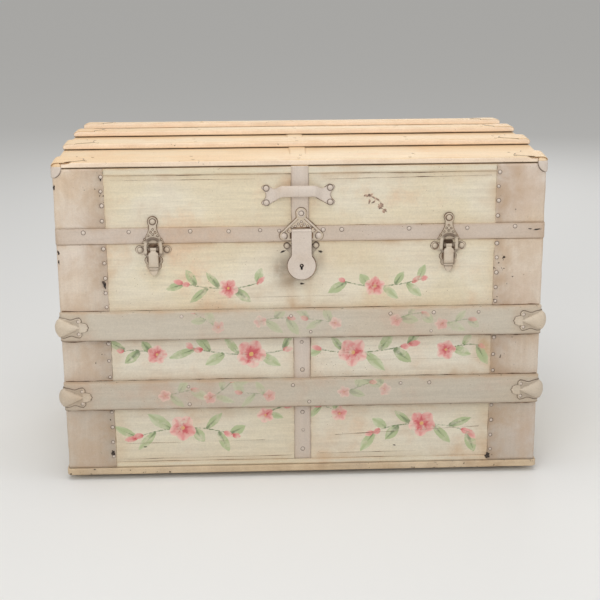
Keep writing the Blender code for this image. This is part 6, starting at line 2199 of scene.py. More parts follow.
def makeCatch(side, x):
    # a round head over a bell whose half width grows downwards as a sine's, and a hook carried along x
    topZ, topR = latch["catchTop"]
    footX, footZ, footR = latch["catchFoot"]
    fall = np.linspace(0.0285, 0.0016, 14)
    flare = 0.0068 + (footX + footR - 0.0076) * (1 - np.sin(math.pi / 2 * (fall - 0.0016) / 0.0269)) ** 0.8
    bell = np.stack([flare, fall], axis=1)
    head = arcPoints(0, topZ, topR, -38, 218, 24)
    outline = np.vstack([head, bell * (-1, 1), [(0, footZ - footR)], bell[::-1]]) - (0, latch["catchMiddle"])
    rows = plateRows(0.0012, ridge=0.0007, width=0.0018, field=0.0002)
    place = (x, partingZ + latch["catchMiddle"])
    parts = [frontPlate(outline, np.zeros(2), rows, latch["level"], place, 100)]
    face = latch["level"] + 0.0012
    # the hook: a lip that stands out under the bail's top, curls up, and is open above
    hook = np.vstack([
        [(0.0, -0.0025), (0.0012, -0.0028), (0.0026, -0.0028)],
        arcPoints(0.0028, -0.0014, 0.0014, -60, 0, 4),
        [
            (0.0042, 0.0014), (0.0039, 0.0026), (0.0031, 0.0027), (0.0027, 0.0018), (0.0026, 0.0002),
            (0.0, 0.0010),
        ],
    ])
    hook = np.stack([frontY(face - 0.0003) - hook[:, 0], partingZ + latch["hookZ"] + hook[:, 1]], axis=1)
    xs = x + np.array([-0.0060, -0.0056, -0.0030, 0, 0.0030, 0.0056, 0.0060])
    parts.append(loft(carried(xs, hook, "x"), edge=0.6, stain=0.7))
    parts.append(turnedHead((x, frontY(face), partingZ + topZ), "front", 0.0044, 0.0020, 16))
    domes, rings = beads(latch["bosses"], face - 0.0002, (x, partingZ), 790)
    parts += domes
    makePiece(f"latchCatch{side.title()}", parts, "casting", "lid", f"latch_catch_{side}")
    dirt = [plateGrime(outline, np.zeros(2), 0.0024, place, 740, 1.0, 0.0002)]
    ring = frontRing(x, partingZ + topZ, face, 0.0058, 26)
    dirt.append(seamPath(ring, forward, 742, 0.9, closed=True, sunk=0.0002))
    dirt += rings
    makePiece(f"catchGrime{side.title()}", dirt, "grimeAndShade", "lid")


def makeLatchBase(side, x):
    # a lobed plate with two ears over a shield, and two lugs that hold the lever's pin
    earX, earZ = latch["baseEar"]
    ears = mirrored([(earX, earZ, 0.0077), (0.012, 0.0095, 0.0062)])
    shield = [*mirrored([(0.0085, -0.0088, 0.0070), (0.0068, -0.0190, 0.0062)]), (0, -0.0165, 0.0088)]
    outline = blendedOutline([*ears, (0, 0.002, 0.0125), *shield], 0.0016)
    rows = plateRows(0.0014, ridge=0.0008, width=0.0019, field=0.0)
    place = (x, partingZ - latch["baseDrop"])
    parts = [frontPlate(outline, np.zeros(2), rows, 0.0003, place, 100)]
    pivotZ = partingZ - latch["pivotDrop"]
    for sign in (-1, 1):
        lug = np.vstack([
            [(0.0, -0.0052)],
            arcPoints(latch["pivotLevel"] - 0.0014, 0, 0.0029, -80, 80, 8),
            [(0.0, 0.0040)],
        ])
        lug = np.stack([frontY(0.0014) - lug[:, 0], pivotZ + lug[:, 1]], axis=1)
        xs = x + sign * 0.0071 + np.array([-0.0013, -0.0009, 0.0009, 0.0013])
        parts.append(loft(carried(xs, lug, "x"), edge=0.5, stain=0.7, seam=0.85))
        spot = (x + sign * earX, frontY(0.0017), partingZ - earZ)
        parts.append(turnedHead(spot, "front", 0.0043, 0.0022, 16))
    parts.append(crossPin(x, 0.0092, frontY(latch["pivotLevel"]), pivotZ, 0.0013, 10, edge=0.5, seam=0.7))
    makePiece(f"latchBase{side.title()}", parts, "casting", "case", f"latch_base_{side}")
    dirt = [plateGrime(outline, np.zeros(2), 0.0, place, 745, 1.1, 0.0003)]
    # painted shadow: two dark plates, one over the base behind the lever and one on the boards just under the
    # parting line
    rows = [(1, 0, 0), (1, 0.0006, 0.0003), (0.5, 0, 0.0003), (0.05, 0, 0.0003)]
    for shape, level, drop in (
        ((0.0236, 0.0300, 0.0050), 0.0016, 0.0215), ((0.0170, 0.0070, 0.0024), 0.0, 0.0045)
    ):
        dirt.append(frontPlate(roundBox(*shape), np.zeros(2), rows, level, (x, partingZ - drop), 40))
    for sign in (-1, 1):
        ring = frontRing(x + sign * earX, partingZ - earZ, 0.0018, 0.0064, 26)
        dirt.append(seamPath(ring, forward, 748 + sign, 1.0, closed=True, sunk=0.0003))
    makePiece(f"baseGrimeAndShadow{side.title()}", dirt, "grimeAndShade", "case")


def makeLever(side, x):
    # a rounded bar: widths down its length, and over its width a hump with turned-down sides
    width, length = latch["lever"]
    pivotZ, level = partingZ - latch["pivotDrop"], latch["pivotLevel"]
    tab, groove = latch["tab"], latch["groove"]
    down = np.concatenate([
        np.linspace(-0.0025, 0.0035, 4),
        np.linspace(0.0047, groove - 0.0012, 12),
        groove + np.array([-0.0006, 0.0, 0.0006, 0.0012, 0.0020, 0.0028, 0.0032, 0.0036]),
        length - tab + tab * np.sin(np.linspace(0.0, 1.57, 11)),
    ])
    half = 0.0053 + (width / 2 - 0.0053) * smoothStep(0.0042, 0.0078, down)
    half = half - 0.0010 * np.exp(-((down - groove) / 0.0007) ** 2)
    tip = np.sqrt(np.maximum(tab ** 2 - (down - length + tab) ** 2, 1e-8))
    half = np.where(down > length - tab - 1e-6, tip, half)
    half = np.where((down > groove + 0.0030) & (down <= length - tab), tab + 0.0008, half)
    angle = np.radians(np.linspace(-90, 90, 13))
    hump = (
        0.0016
        + 0.0025 * smoothStep(0.001, 0.007, down) * smoothStep(groove + 0.0010, groove - 0.0060, down)
    )
    hump = (
        hump - 0.0010 * np.exp(-((down - groove) / 0.0008) ** 2)
        + 0.0008 * np.exp(-((down - length + tab) / 0.0045) ** 2)
    )
    across = np.sin(angle)[None, :] * half[:, None]
    out = level - 0.0006 + np.cos(angle)[None, :] ** 0.7 * hump[:, None]
    wall, depth, first, last = latch["leverSide"]
    deep = depth * smoothStep(
        first - 0.001, first + 0.001, down
    ) * smoothStep(last + 0.001, last - 0.001, down)
    thin = np.maximum(half - wall, 0.3 * half)
    back = np.stack([half, thin, thin, 0 * half, -thin, -thin, -half], axis=1)
    behind = level - 0.0012 - deep[:, None] * np.array([1, 1, 0, 0, 0, 1, 1])
    ring = np.concatenate([across, back], axis=1)
    lift = np.concatenate([out, behind], axis=1)
    points = np.stack([x + ring, frontY(lift), pivotZ - np.broadcast_to(down[:, None], ring.shape)], axis=-1)
    edge = np.concatenate([np.abs(np.sin(angle)) ** 4, np.full(7, 0.6)])[None, :]
    # the seam mark darkens the lever's turned-down sides and its back: painted shade
    seam = np.concatenate([smoothStep(0.90, 1.0, np.abs(np.sin(angle))), np.full(7, 0.6)])[None, :]
    lines = np.exp(-((down - groove) / 0.0007) ** 2) + 0.8 * np.exp(-((down - groove - 0.0034) / 0.0006) ** 2)
    seam = np.maximum(seam, lines[:, None])
    parts = [loft(points, edge=edge * 0.6, stain=0.2 + 0.3 * edge, seam=seam)]
    parts.append(crossPin(x, 0.0051, frontY(level), pivotZ, 0.0027, 14, edge=0.4))
    parts.append(crossPin(x, 0.0084, frontY(level), partingZ - latch["eyeDrop"], 0.0030, 14, edge=0.5))
    makePiece(f"latchLever{side.title()}", parts, "casting", f"latch_lever_{side}", f"latch_lever_{side}")


def makeBail(side, x):
    # a wire carried round a loop, square below and round above, that leans a little forward; its section is
    # then drawn broader across
    eyeZ, level = partingZ - latch["eyeDrop"], latch["pivotLevel"]
    half, corner = latch["bailHalf"], 0.0035
    sides = 12
    height = latch["bailTop"] + latch["eyeDrop"]
    flat = np.vstack([
        np.stack([np.linspace(-half + corner, half - corner, 7)[1:-1], np.zeros(5)], axis=1),
        arcPoints(half - corner, corner, corner, 270, 360, 4),
        np.stack([np.full(7, half), np.linspace(corner, height - half, 9)[1:-1]], axis=1),
        arcPoints(0, height - half, half, 0, 180, 20),
        np.stack([np.full(7, -half), np.linspace(height - half, corner, 9)[1:-1]], axis=1),
        arcPoints(-half + corner, corner, corner, 180, 270, 4),
    ])
    lean = latch["lean"]
    depth = frontY(level) - flat[:, 1] * math.sin(lean)
    path = np.stack([x + flat[:, 0], depth, eyeZ + flat[:, 1] * math.cos(lean)], axis=1)
    wire = tube(path, 0.0019, sides, edge=0.3, stain=0.25)
    middles = np.repeat(path, sides, axis=0)
    wire["points"] = middles + (wire["points"] - middles) * (latch["bailWide"], 0.9, 1.0)
    arch = np.repeat(flat[:, 1] > height - half, sides)[:, None]
    grown = middles + (wire["points"] - middles) * (1.0, 1.0, latch["bailWide"])
    wire["points"] = np.where(arch, grown, wire["points"])
    # the seam mark: the back half of the wire is darkened as painted shade, the arch's top as dirt and
    # painted shade, and the foot is darker too
    backShade = smoothStep(-0.0002, 0.0009, (wire["points"] - middles)[:, 1])
    up = np.repeat(flat[:, 1], sides)
    tip = smoothStep(height - 0.0085, height - 0.0030, up)
    foot = smoothStep(0.0060, 0.0030, up)
    wire["marks"]["seam"] = np.maximum(0.9 * backShade, np.maximum(0.95 * tip, 0.70 * foot))
    makePiece(f"latchBail{side.title()}", wire, "casting", f"latch_bail_{side}", f"latch_bail_{side}")


def makeHardware():
    # castings and plates from the slats' clamps to the two latches
    makeClamps()
    makeLidEnds()
    makeGrip()
    makeLockPlate()
    makeHasp()
    makeKeeper()
    for side, sign in (("left", -1), ("right", 1)):
        x = sign * latch["x"]
        makeCatch(side, x)
        makeLatchBase(side, x)
        makeLever(side, x)
        makeBail(side, x)


def plainFinish(name, colour, rough, variation=0.25, scale=40.0, bump=0.3, grain=False):
    # one colour varied by noise, for bare or stained wood, thread, chips and dark hollows
    material, tree, place = startMaterial(name)
    if grain:
        value = put(tree, "ShaderNodeGroup", {"Vector": place}, node_tree=groups["grain"]).outputs["Tone"]
    else:
        value = noise(tree, place, scale, 5.0, 0.6)
    dark = tuple(part * (1 - variation * 1.6) for part in colour)
    light = tuple(min(part * (1 + variation), 1) for part in colour)
    limits = (0.5, 1.0) if grain else (0.35, 0.65)
    mixed = mixColour(tree, band(tree, value, *limits), dark, light)
    height = put(tree, "ShaderNodeBump", {"Height": value, "Strength": bump, "Distance": 0.0005})
    endMaterial(tree, {"Base Color": mixed, "Roughness": rough, "Normal": height.outputs[0]})
    return material


finish["grip"] = agedPaint("gripPaint", "grip", metal=True, flake=0.2, rough=0.45)
finish["dark"] = plainFinish("darkHollow", (0.02, 0.016, 0.014), 0.9)
makeHardware()
print("hardware ready")


# End handles, hinges, runners and the inside
handle = {
    "z": (nodeBox("end_handle_left")[0][2] + nodeBox("end_handle_left")[1][2]) / 2,
    "mouth": 0.080,
    "grip": 0.026,
    "root": 0.0030,
    "rise": 0.026,
    "thick": 0.0060,
    "width": 0.027,
    "stitch": 0.0052,
    "seam": 0.0098,  # from the middle line to each row of stitches
    "hand": (0.055, 0.010),  # where the strap begins to swell, and where it has done
}


def handlePath(along):  # how far the strap's inner face stands off the boards
    bow = np.cos(math.pi / 2 * np.clip(np.abs(along) / (handle["mouth"] * 0.98), 0, 1))
    return handle["root"] + handle["rise"] * np.sin(math.pi / 2 * bow) ** 1.4


def handleFrame(along, sign):
    # middle line of the strap, its direction and its outward normal in plan
    step = 0.0002
    rise = handlePath(along)
    slope = (handlePath(along + step) - handlePath(along - step)) / (2 * step)
    length = np.sqrt(1 + slope ** 2)
    normal = np.stack([sign / length, -slope / length, np.zeros(len(along))], axis=1)
    middle = np.stack([sign * (trunk["boardX"] + rise), along, np.full(len(along), handle["z"])], axis=1)
    return middle + normal * handle["thick"] / 2, normal


def makeHandle(side, sign):
    # a round-edged strap carried along its bow, a little thicker and narrower at the hand, with stitches
    reach = handle["mouth"] + handle["grip"] - 0.0006
    along = spread(-reach, reach, 0.0032)
    middle, normal = handleFrame(along, sign)
    outline = denseBox(handle["width"], handle["thick"], 0.0022, 0.0028)
    hand = smoothStep(*handle["hand"], np.abs(along))
    cushion = 1 + 0.14 * hand[:, None] * (1 - (outline[None, :, 0] / (handle["width"] / 2)) ** 2)
    groove = 1 - 0.05 * np.exp(-((np.abs(outline[None, :, 0]) - handle["seam"]) / 0.0009) ** 2)
    wide = outline[None, :, 0] * (1 - 0.05 * hand[:, None])
    thick = outline[None, :, 1] * cushion * groove
    points = middle[:, None] + normal[:, None] * thick[..., None]
    points[..., 2] += wide
    points[..., :2] += 0.00025 * ripple(points, 600, 0.02)[..., None] * normal[:, None, :2]
    border = handle["width"] / 2 - np.abs(outline[None, :, 0])
    strap = loft(points, edge=smoothStep(0.003, 0, border), stain=0.3 + 0.4 * hand[:, None])
    makePiece(f"endHandle{side.title()}", strap, "leather", "case", f"end_handle_{side}")
    stitches = []
    places = np.arange(-0.070, 0.0701, handle["stitch"])
    spots, out = handleFrame(places, sign)
    for spot, normal in zip(spots, out):
        ahead = np.array([-normal[1], normal[0], 0.0])
        lift = handle["thick"] / 2 * (1 + 0.10 * float(smoothStep(*handle["hand"], abs(spot[1])))) - 0.0001
        for level in (-handle["seam"], handle["seam"]):
            centre = spot + normal * lift + np.array([0, 0, level])
            path = centre + ahead * np.array([-0.0016, -0.0010, 0.0, 0.0010, 0.0016])[:, None]
            path = path + normal * np.array([-0.0005, 0.0001, 0.0003, 0.0001, -0.0005])[:, None]
            stitches.append(tube(path, 0.00042, 5, False))
    makePiece(f"handleStitches{side.title()}", stitches, "thread", "case")


def makeHandleLoop(side, sign, end, way):
    # an arched cup of metal: superellipse arches over the strap that shrink to nothing behind its end
    box = nodeBox(f"handle_loop_{side}_{end}")
    near, far = handle["mouth"], max(abs(box[0][1]), abs(box[1][1]))
    height, half = box[1][0] - box[0][0] - 0.0002, (box[1][2] - box[0][2]) / 2
    share = np.concatenate(
        [np.linspace(0, 0.62, 9), 0.62 + 0.38 * np.sin(np.linspace(0, math.pi / 2, 12)[1:])]
    )
    close = np.sqrt(np.clip(1 - (np.clip(share - 0.60, 0, 0.4) / 0.405) ** 2, 0.004, 1))
    angle = np.linspace(0, math.pi, 25)
    power = 2 / 3.2
    up = np.sign(np.cos(angle)) * np.abs(np.cos(angle)) ** power
    out = np.sin(angle) ** power
    lip = 0.0007 * np.exp(-(share / 0.07) ** 2)
    x = trunk["boardX"] + 0.0003 + (height * close[:, None] - 0.0008 + lip[:, None]) * out[None, :]
    z = handle["z"] + (half * (0.35 + 0.65 * close[:, None]) - 0.0008) * up[None, :]
    y = np.broadcast_to((near + (far - near) * share)[:, None], x.shape)
    grid = np.stack([sign * x, way * y, z], axis=-1)
    grid += 0.00025 * ripple(grid, 610, 0.015)[..., None] * (sign, 0, 0)
    edge = np.maximum(np.exp(-share / 0.06)[:, None], 0.5 * (1 - out[None, :]) ** 2)
    seam = smoothStep(0.12, 0.0, out)[None, :] * np.ones((len(share), 1))
    cup = surface(grid, outward=(sign, 0, 0), edge=edge, stain=0.4 + 0.4 * edge, seam=seam)
    label = f"handleLoop{side.title()}{end.title()}"
    name = f"handle_loop_{side}_{end}"
    makePiece(label, cup, "casting", "case", name, wall=0.0014)
    spot = (sign * (trunk["boardX"] + height - 0.0004), way * (near + 0.45 * (far - near)), handle["z"])
    makePiece(label + "Rivet", turnedHead(spot, side, 0.0046, 0.0022, 14), "nail", "case", name)


hinge = {
    "x": 0.250,
    "width": 0.050,
    "leaf": 0.0015,
    "caseLeaf": 0.062,
    "lidLeaf": 0.048,
    "axisLevel": 0.0072,
    "knuckle": 0.0032,
    "pin": 0.0016,
    "opens": 105,
    "leafRound": 0.006,
    "lidLevel": 0.0027,  # of the lid's leaf over the boards
    "caseScrews": ((-0.017, -0.020), (0.017, -0.020), (-0.009, -0.050), (0.009, -0.050)),
    "lidScrews": ((-0.017, 0.016), (0.017, 0.016), (-0.010, 0.036), (0.010, 0.036)),
}


def backPlate(outline, level, thick, place):
    # a thin plate on the back: its outline drawn in over softened edges to a flat face
    outline = np.asarray(outline, float)
    rows = [(1.0, 0.0), (1.0, thick * 0.6), (0.985, thick * 0.92)]
    rows += [(share, thick) for share in (0.95, 0.6, 0.25, 0.03)]
    grid = np.empty((len(rows), len(outline), 3))
    for number, (share, height) in enumerate(rows):
        grid[number, :, 0] = place[0] + outline[:, 0] * share
        grid[number, :, 1] = trunk["boardY"] + level + height
        grid[number, :, 2] = place[1] + outline[:, 1] * share
    seam = np.array([1.0, 0.9, 0.0, 0.0, 0.0, 0.0, 0.0])[:, None]
    edge = np.array([0.5, 0.6, 0.7, 0.3, 0.1, 0.1, 0.1])[:, None]
    return loft(grid, edge=edge, stain=0.3 + 0.5 * edge, seam=seam)


def block(low, high, y0, y1, z0, z1, turn=0.0, pivot=(0.0, 0.0)):
    # a softened block from low to high along x, turned about an axis along x where turn isn't zero
    outline = denseBox(y1 - y0, z1 - z0, 0.0004, 0.004) + ((y0 + y1) / 2, (z0 + z1) / 2)
    if turn:
        cos, sin = math.cos(turn), math.sin(turn)
        outline = (outline - pivot) @ np.array([[cos, sin], [-sin, cos]]) + pivot
    return loft(carried(np.linspace(low, high, 4), outline, "x"), edge=0.45, stain=0.5)


def slottedHead(place, facing, radius, turn):
    # a low countersunk screw head with a slot: a dome whose middle sinks along one line
    outward, across, up = facingFrame(facing)
    sides = 24
    angle = 2 * math.pi * np.arange(sides) / sides
    shares = np.array([1.0, 1.3, 1.02, 1.0, 0.92, 0.75, 0.55, 0.35, 0.12])
    heights = np.array([-0.0006, 0.0001, 0.0002, 0.0004, 0.0008, 0.0010, 0.0011, 0.0011, 0.0011])
    ring = np.cos(angle)[:, None] * across + np.sin(angle)[:, None] * up
    flat = shares[:, None] * radius * np.sin(angle - turn)[None, :]
    slot = smoothStep(0.00075, 0.00035, np.abs(flat)) * (shares <= 0.92)[:, None]
    lift = heights[:, None] - 0.0009 * slot
    grid = (
        np.asarray(place, float) + (shares * radius)[:, None, None] * ring[None]
        + lift[..., None] * outward
    )
    seam = np.maximum(slot, np.array([1, 1, 0.9, 0.2, 0, 0, 0, 0, 0])[:, None])
    return loft(grid, edge=0.4, stain=0.4, seam=seam)


def leafOutline(length, start, way):
    # a hinge leaf about its own middle: square at the knuckles, round at its far end, above them or below
    half, radius = hinge["width"] / 2, hinge["leafRound"]
    far = length / 2 - radius
    made = np.vstack([
        [(half, start - length / 2)],
        arcPoints(half - radius, far, radius, 0, 90, 5),
        arcPoints(radius - half, far, radius, 90, 180, 5),
        [(-half, start - length / 2)],
    ])
    return alongLoop(made * (1, way), 0.004)


def makeHinge(side, sign):
    # two leaves on the back, knuckles round a pin on the parting line, and a stop tongue that meets a pad
    x, third = sign * hinge["x"], hinge["width"] / 3
    axisY, radius, length = trunk["boardY"] + hinge["axisLevel"], hinge["knuckle"], third - 0.0006
    top, low = trunk["caseTop"], trunk["lidBottom"] + radius + 0.0003
    face, web = trunk["boardY"] + 0.0003 + hinge["leaf"], trunk["boardY"] + hinge["lidLevel"]
    left, right = x - length / 2, x + length / 2

    def knuckle(place):  # a bevelled barrel about the pin
        ends = (place - length / 2, place + length / 2)
        return roundBar(*ends, axisY, partingZ, radius, 0.03 * length, 0.86 * radius, 18, edge=0.5, stain=0.6)

    def screws(spots, level, base, turn, start):  # slotted heads, each turned further than the last
        made = []
        for number, (across, up) in enumerate(spots):
            made.append(slottedHead((x + across, level, base + up), "back", 0.0036, turn * number + start))
        return made

    outline = leafOutline(hinge["caseLeaf"], 0.0004, -1)
    parts = [backPlate(outline, 0.0003, hinge["leaf"], (x, top - hinge["caseLeaf"] / 2))]
    for place in (x - third, x + third):
        parts.append(knuckle(place))
        ends = (place - length / 2 + 0.0003, place + length / 2 - 0.0003)
        parts.append(block(*ends, face - 0.0006, axisY - 0.0004, top - 0.0052, top - 0.0006))
    parts.append(block(left, right, face - 0.0006, axisY - 0.0014, partingZ - 0.0125, partingZ - 0.0070))
    parts.append(roundBar(x - 0.0245, x + 0.0245, axisY, partingZ, 0.0014, 0.0005, 0.0009, 12, edge=0.8))
    makePiece(f"hingeCase{side.title()}", parts, "casting", "case", f"hinge_leaf_case_{side}")
    outline = leafOutline(hinge["lidLeaf"], 0.0, 1)
    parts = [
        backPlate(outline, hinge["lidLevel"], hinge["leaf"], (x, low + hinge["lidLeaf"] / 2)), knuckle(x)
    ]
    ends = (left + 0.0003, right - 0.0003)
    parts.append(block(*ends, web + 0.0004, axisY + radius / 2, partingZ + hinge["pin"], low + 0.0030))
    lift = math.radians(hinge["opens"] - 90)
    span = (
        left + 0.0006, right - 0.0006, axisY + 0.0017, axisY + 0.0144, partingZ - 0.0010,
        partingZ + 0.0010,
    )
    parts.append(block(*span, turn=lift, pivot=(axisY, partingZ)))
    makePiece(f"hingeLid{side.title()}", parts, "casting", "lid", f"hinge_leaf_lid_{side}")
    heads = screws(hinge["caseScrews"], face, top, 0.7, sign)
    makePiece(f"hingeCaseScrews{side.title()}", heads, "nail", "case", f"hinge_leaf_case_{side}")
    heads = screws(hinge["lidScrews"], web + hinge["leaf"], low, 0.9, 0)
    makePiece(f"hingeLidScrews{side.title()}", heads, "nail", "lid", f"hinge_leaf_lid_{side}")


inside = {
    "paper": 0.0004,
    "board": 0.012,
    "stripe": 0.026,
    "plank": 0.095,
}


def makeRunners():
    # round-edged bars carried along x, worn from below by ripples
    for end in ("front", "back"):
        low, high = nodeBox(f"runner_{end}")
        outline = denseBox(high[1] - low[1], high[2] - low[2], 0.0009, 0.003)
        outline = outline + ((high[1] + low[1]) / 2, (high[2] + low[2]) / 2)
        points = carried(spread(low[0], high[0], 0.006), outline, "x")
        worn = smoothStep(0.003, 0, points[..., 2] - low[2])
        points[..., 2] += 0.0004 * worn * np.clip(ripple(points * (1, 1, 0), 620, 0.04), 0, 1)
        runner = loft(points, edge=worn)
        makePiece(f"runner{end.title()}", runner, "darkWood", "case", f"runner_{end}")


def makeFloor():
    # a slab whose two faces dip along the joints between its planks
    low, high = nodeBox("case_floor")
    ys = spread(low[1], high[1], 0.0024)
    joint = np.abs((ys - low[1] + inside["plank"] / 2) % inside["plank"] - inside["plank"] / 2)
    groove = smoothStep(0.0016, 0.0002, joint)
    sink = 0.0009 * groove
    face = np.stack([ys, high[2] - sink], axis=1)
    under = np.stack([ys[::-1], low[2] + sink[::-1]], axis=1)
    points = carried(spread(low[0], high[0], 0.012), np.vstack([face, under]), "x")
    points[..., 2] += 0.00025 * ripple(
        points * (0.4, 1, 0), 630, 0.06
    ) * np.concatenate([1 - groove, 1 - groove[::-1]])
    seam = np.concatenate([groove, groove[::-1]])[None, :]
    makePiece("caseFloor", loft(points, seam=seam, stain=0.5 * seam), "pine", "case", "case_floor")


def makeLip():
    # three thin boards inside the case's mouth, standing up past it, with softened tops
    low, high = nodeBox("case_lip")
    thick = 0.008
    parts = []
    outline = denseBox(thick, high[2] - low[2], 0.0014, 0.006)
    front = outline + (low[1] + thick / 2, (high[2] + low[2]) / 2)
    parts.append(carried(spread(low[0], high[0], 0.008), front, "x"))
    for edge, sign in ((low[0], 1), (high[0], -1)):
        side = outline + (edge + sign * thick / 2, (high[2] + low[2]) / 2)
        parts.append(carried(spread(low[1] + thick, high[1], 0.008), side, "y"))
    made = []
    for number, points in enumerate(parts):
        top = smoothStep(high[2] - 0.006, high[2], points[..., 2])
        points[..., 2] -= 0.0004 * top * np.clip(ripple(points * (1, 1, 0), 640 + number, 0.05), 0, 1)
        made.append(loft(points, edge=top, stain=0.3 * top))
    makePiece("caseLip", made, "pine", "case", "case_lip")


def paperPanel(axis, place, toward, low, high, bottom, top, seed):
    # a sheet of lining paper on an inner wall: along x or y, from bottom to top, or to the top boards
    along = spread(low, high, 0.008)
    share = np.linspace(0, 1, 28)
    tops = crownZ(along) - boards["topThickness"] - 0.0016 if top is None else np.full(len(along), top)
    up = bottom + (tops[:, None] - bottom) * share[None, :]
    wide = np.broadcast_to(along[:, None], up.shape)
    face = np.full(up.shape, float(place))
    grid = np.stack((wide, face, up) if axis == "x" else (face, wide, up), axis=-1)
    outward = np.array((0, toward, 0) if axis == "x" else (toward, 0, 0), float)
    lift = inside["paper"] * (0.8 + 0.25 * np.clip(ripple(grid, seed, 0.05), -1, 1))
    grid = grid + outward * lift[..., None]
    border = np.minimum(np.minimum(wide - low, high - wide), np.minimum(up - bottom, tops[:, None] - up))
    stain = np.exp(-border / 0.012)
    return surface(grid, outward=outward, paperRun=wide / inside["stripe"], stain=stain)


def makeLining():
    # paper on the inner walls of the case and the lid, and under the lid's crown
    x, y = trunk["boardX"] - inside["board"], trunk["boardY"] - inside["board"]
    bottom = nodeBox("case_floor")[1][2] + 0.0006
    top = nodeBox("case_lip")[0][2] - 0.0006
    made = []
    for number, side in enumerate((-1, 1)):
        made.append(paperPanel("x", side * y, -side, -x + 0.001, x - 0.001, bottom, top, 650 + number))
        made.append(paperPanel("y", side * x, -side, -y + 0.001, y - 0.001, bottom, top, 653 + number))
    makePiece("caseLining", made, "paper", "case")
    bottom = trunk["caseTop"] + 0.014
    level = float(crownZ(y)) - boards["topThickness"] - 0.0016
    made = []
    for number, side in enumerate((-1, 1)):
        made.append(paperPanel("x", side * y, -side, -x + 0.001, x - 0.001, bottom, level, 660 + number))
        made.append(paperPanel("y", side * x, -side, -y + 0.001, y - 0.001, bottom, None, 663 + number))
    ys, xs = spread(-y + 0.001, y - 0.001, 0.010), spread(-x + 0.001, x - 0.001, 0.010)
    flatX, flatY = np.meshgrid(xs, ys, indexing="ij")
    down = crownZ(flatY) - boards["topThickness"] - 0.0012
    grid = np.stack(
        [flatX, flatY, down - 0.0002 * ripple(np.stack([flatX, flatY, 0 * flatX], axis=-1), 666, 0.07)],
        axis=-1,
    )
    border = np.minimum(x - np.abs(flatX), y - np.abs(flatY))
    made.append(
        surface(grid, outward=(0, 0, -1), paperRun=flatX / inside["stripe"], stain=np.exp(-border / 0.012))
    )
    makePiece("lidLining", made, "paper", "lid")


def paperFinish():
    # old striped lining paper: two thin coloured stripes in each repeat, faded by clouds, its edges browned
    material, tree, place = startMaterial("stripedLiningPaper")
    part = mathNode(tree, "FRACT", readMark(tree, "paperRun"))
    wide = mathNode(tree, "ABSOLUTE", mathNode(tree, "SUBTRACT", part, 0.5))
    thin = mathNode(tree, "ABSOLUTE", mathNode(tree, "SUBTRACT", wide, 0.34))
    colour = mixColour(tree, band(tree, wide, 0.155, 0.135), (0.66, 0.585, 0.45), (0.50, 0.50, 0.42))
    colour = mixColour(tree, band(tree, thin, 0.034, 0.022), colour, (0.50, 0.27, 0.22))
    given = {"Vector": place, "Stain": readMark(tree, "stain"), "Amount": 0.75}
    marks = put(tree, "ShaderNodeGroup", given, node_tree=groups["stains"])
    colour = mixColour(tree, band(tree, marks.outputs["Mottle"], 0.42, 0.72), colour, (0.62, 0.53, 0.38))
    brown = mathNode(tree, "MULTIPLY", marks.outputs["Mask"], 0.8)
    colour = mixColour(tree, brown, colour, (0.36, 0.23, 0.12))
    bump = put(
        tree, "ShaderNodeBump", {"Height": marks.outputs["Mottle"], "Strength": 0.25, "Distance": 0.0006}
    )
    endMaterial(tree, {"Base Color": colour, "Roughness": 0.85, "Normal": bump.outputs[0]})
    return material


def leatherFinish():
    # oiled leather: fine cells for its grain, darker in the folds and rubbed lighter on the edges
    material, tree, place = startMaterial("wornLeather")
    given = {"Vector": place, "Scale": 900.0}
    cells = put(tree, "ShaderNodeTexVoronoi", given, feature="DISTANCE_TO_EDGE")
    cloud = noise(tree, place, 38.0, 6.0, 0.65)
    colour = mixColour(tree, band(tree, cloud, 0.36, 0.66), (0.105, 0.048, 0.024), (0.21, 0.105, 0.052))
    rubbed = mathNode(tree, "MULTIPLY", readMark(tree, "edge"), band(tree, cloud, 0.40, 0.56))
    colour = mixColour(tree, mathNode(tree, "MULTIPLY", rubbed, 0.7), colour, (0.34, 0.20, 0.11))
    folds = band(tree, cells.outputs["Distance"], 0.0, 0.16)
    colour = mixColour(tree, mathNode(tree, "MULTIPLY_ADD", folds, -0.3, 0.3), colour, (0.04, 0.02, 0.012))
    height = mathNode(tree, "MULTIPLY_ADD", cloud, 0.8, folds)
    bump = put(tree, "ShaderNodeBump", {"Height": height, "Strength": 0.35, "Distance": 0.0004})
    rough = mathNode(tree, "MULTIPLY_ADD", cloud, 0.25, 0.40)
    endMaterial(tree, {"Base Color": colour, "Roughness": rough, "Normal": bump.outputs[0]})
    return material


def makeEndsAndInside():
    # handles, loops and hinges, then what lies under the case and in it
    for side, sign in (("left", -1), ("right", 1)):
        makeHandle(side, sign)
        makeHinge(side, sign)
        for end, way in (("front", -1), ("back", 1)):
            makeHandleLoop(side, sign, end, way)
    makeRunners()
    makeFloor()
    makeLip()
    makeLining()


finish["leather"] = leatherFinish()
finish["thread"] = plainFinish("waxedThread", (0.45, 0.36, 0.24), 0.7, 0.15)
finish["pine"] = plainFinish("oldPine", (0.44, 0.29, 0.155), 0.7, 0.22, grain=True, bump=0.4)
finish["darkWood"] = plainFinish("stainedRunnerWood", (0.10, 0.068, 0.044), 0.75, 0.3, grain=True, bump=0.4)
finish["paper"] = paperFinish()
makeEndsAndInside()
print("ends, hinges and inside ready")


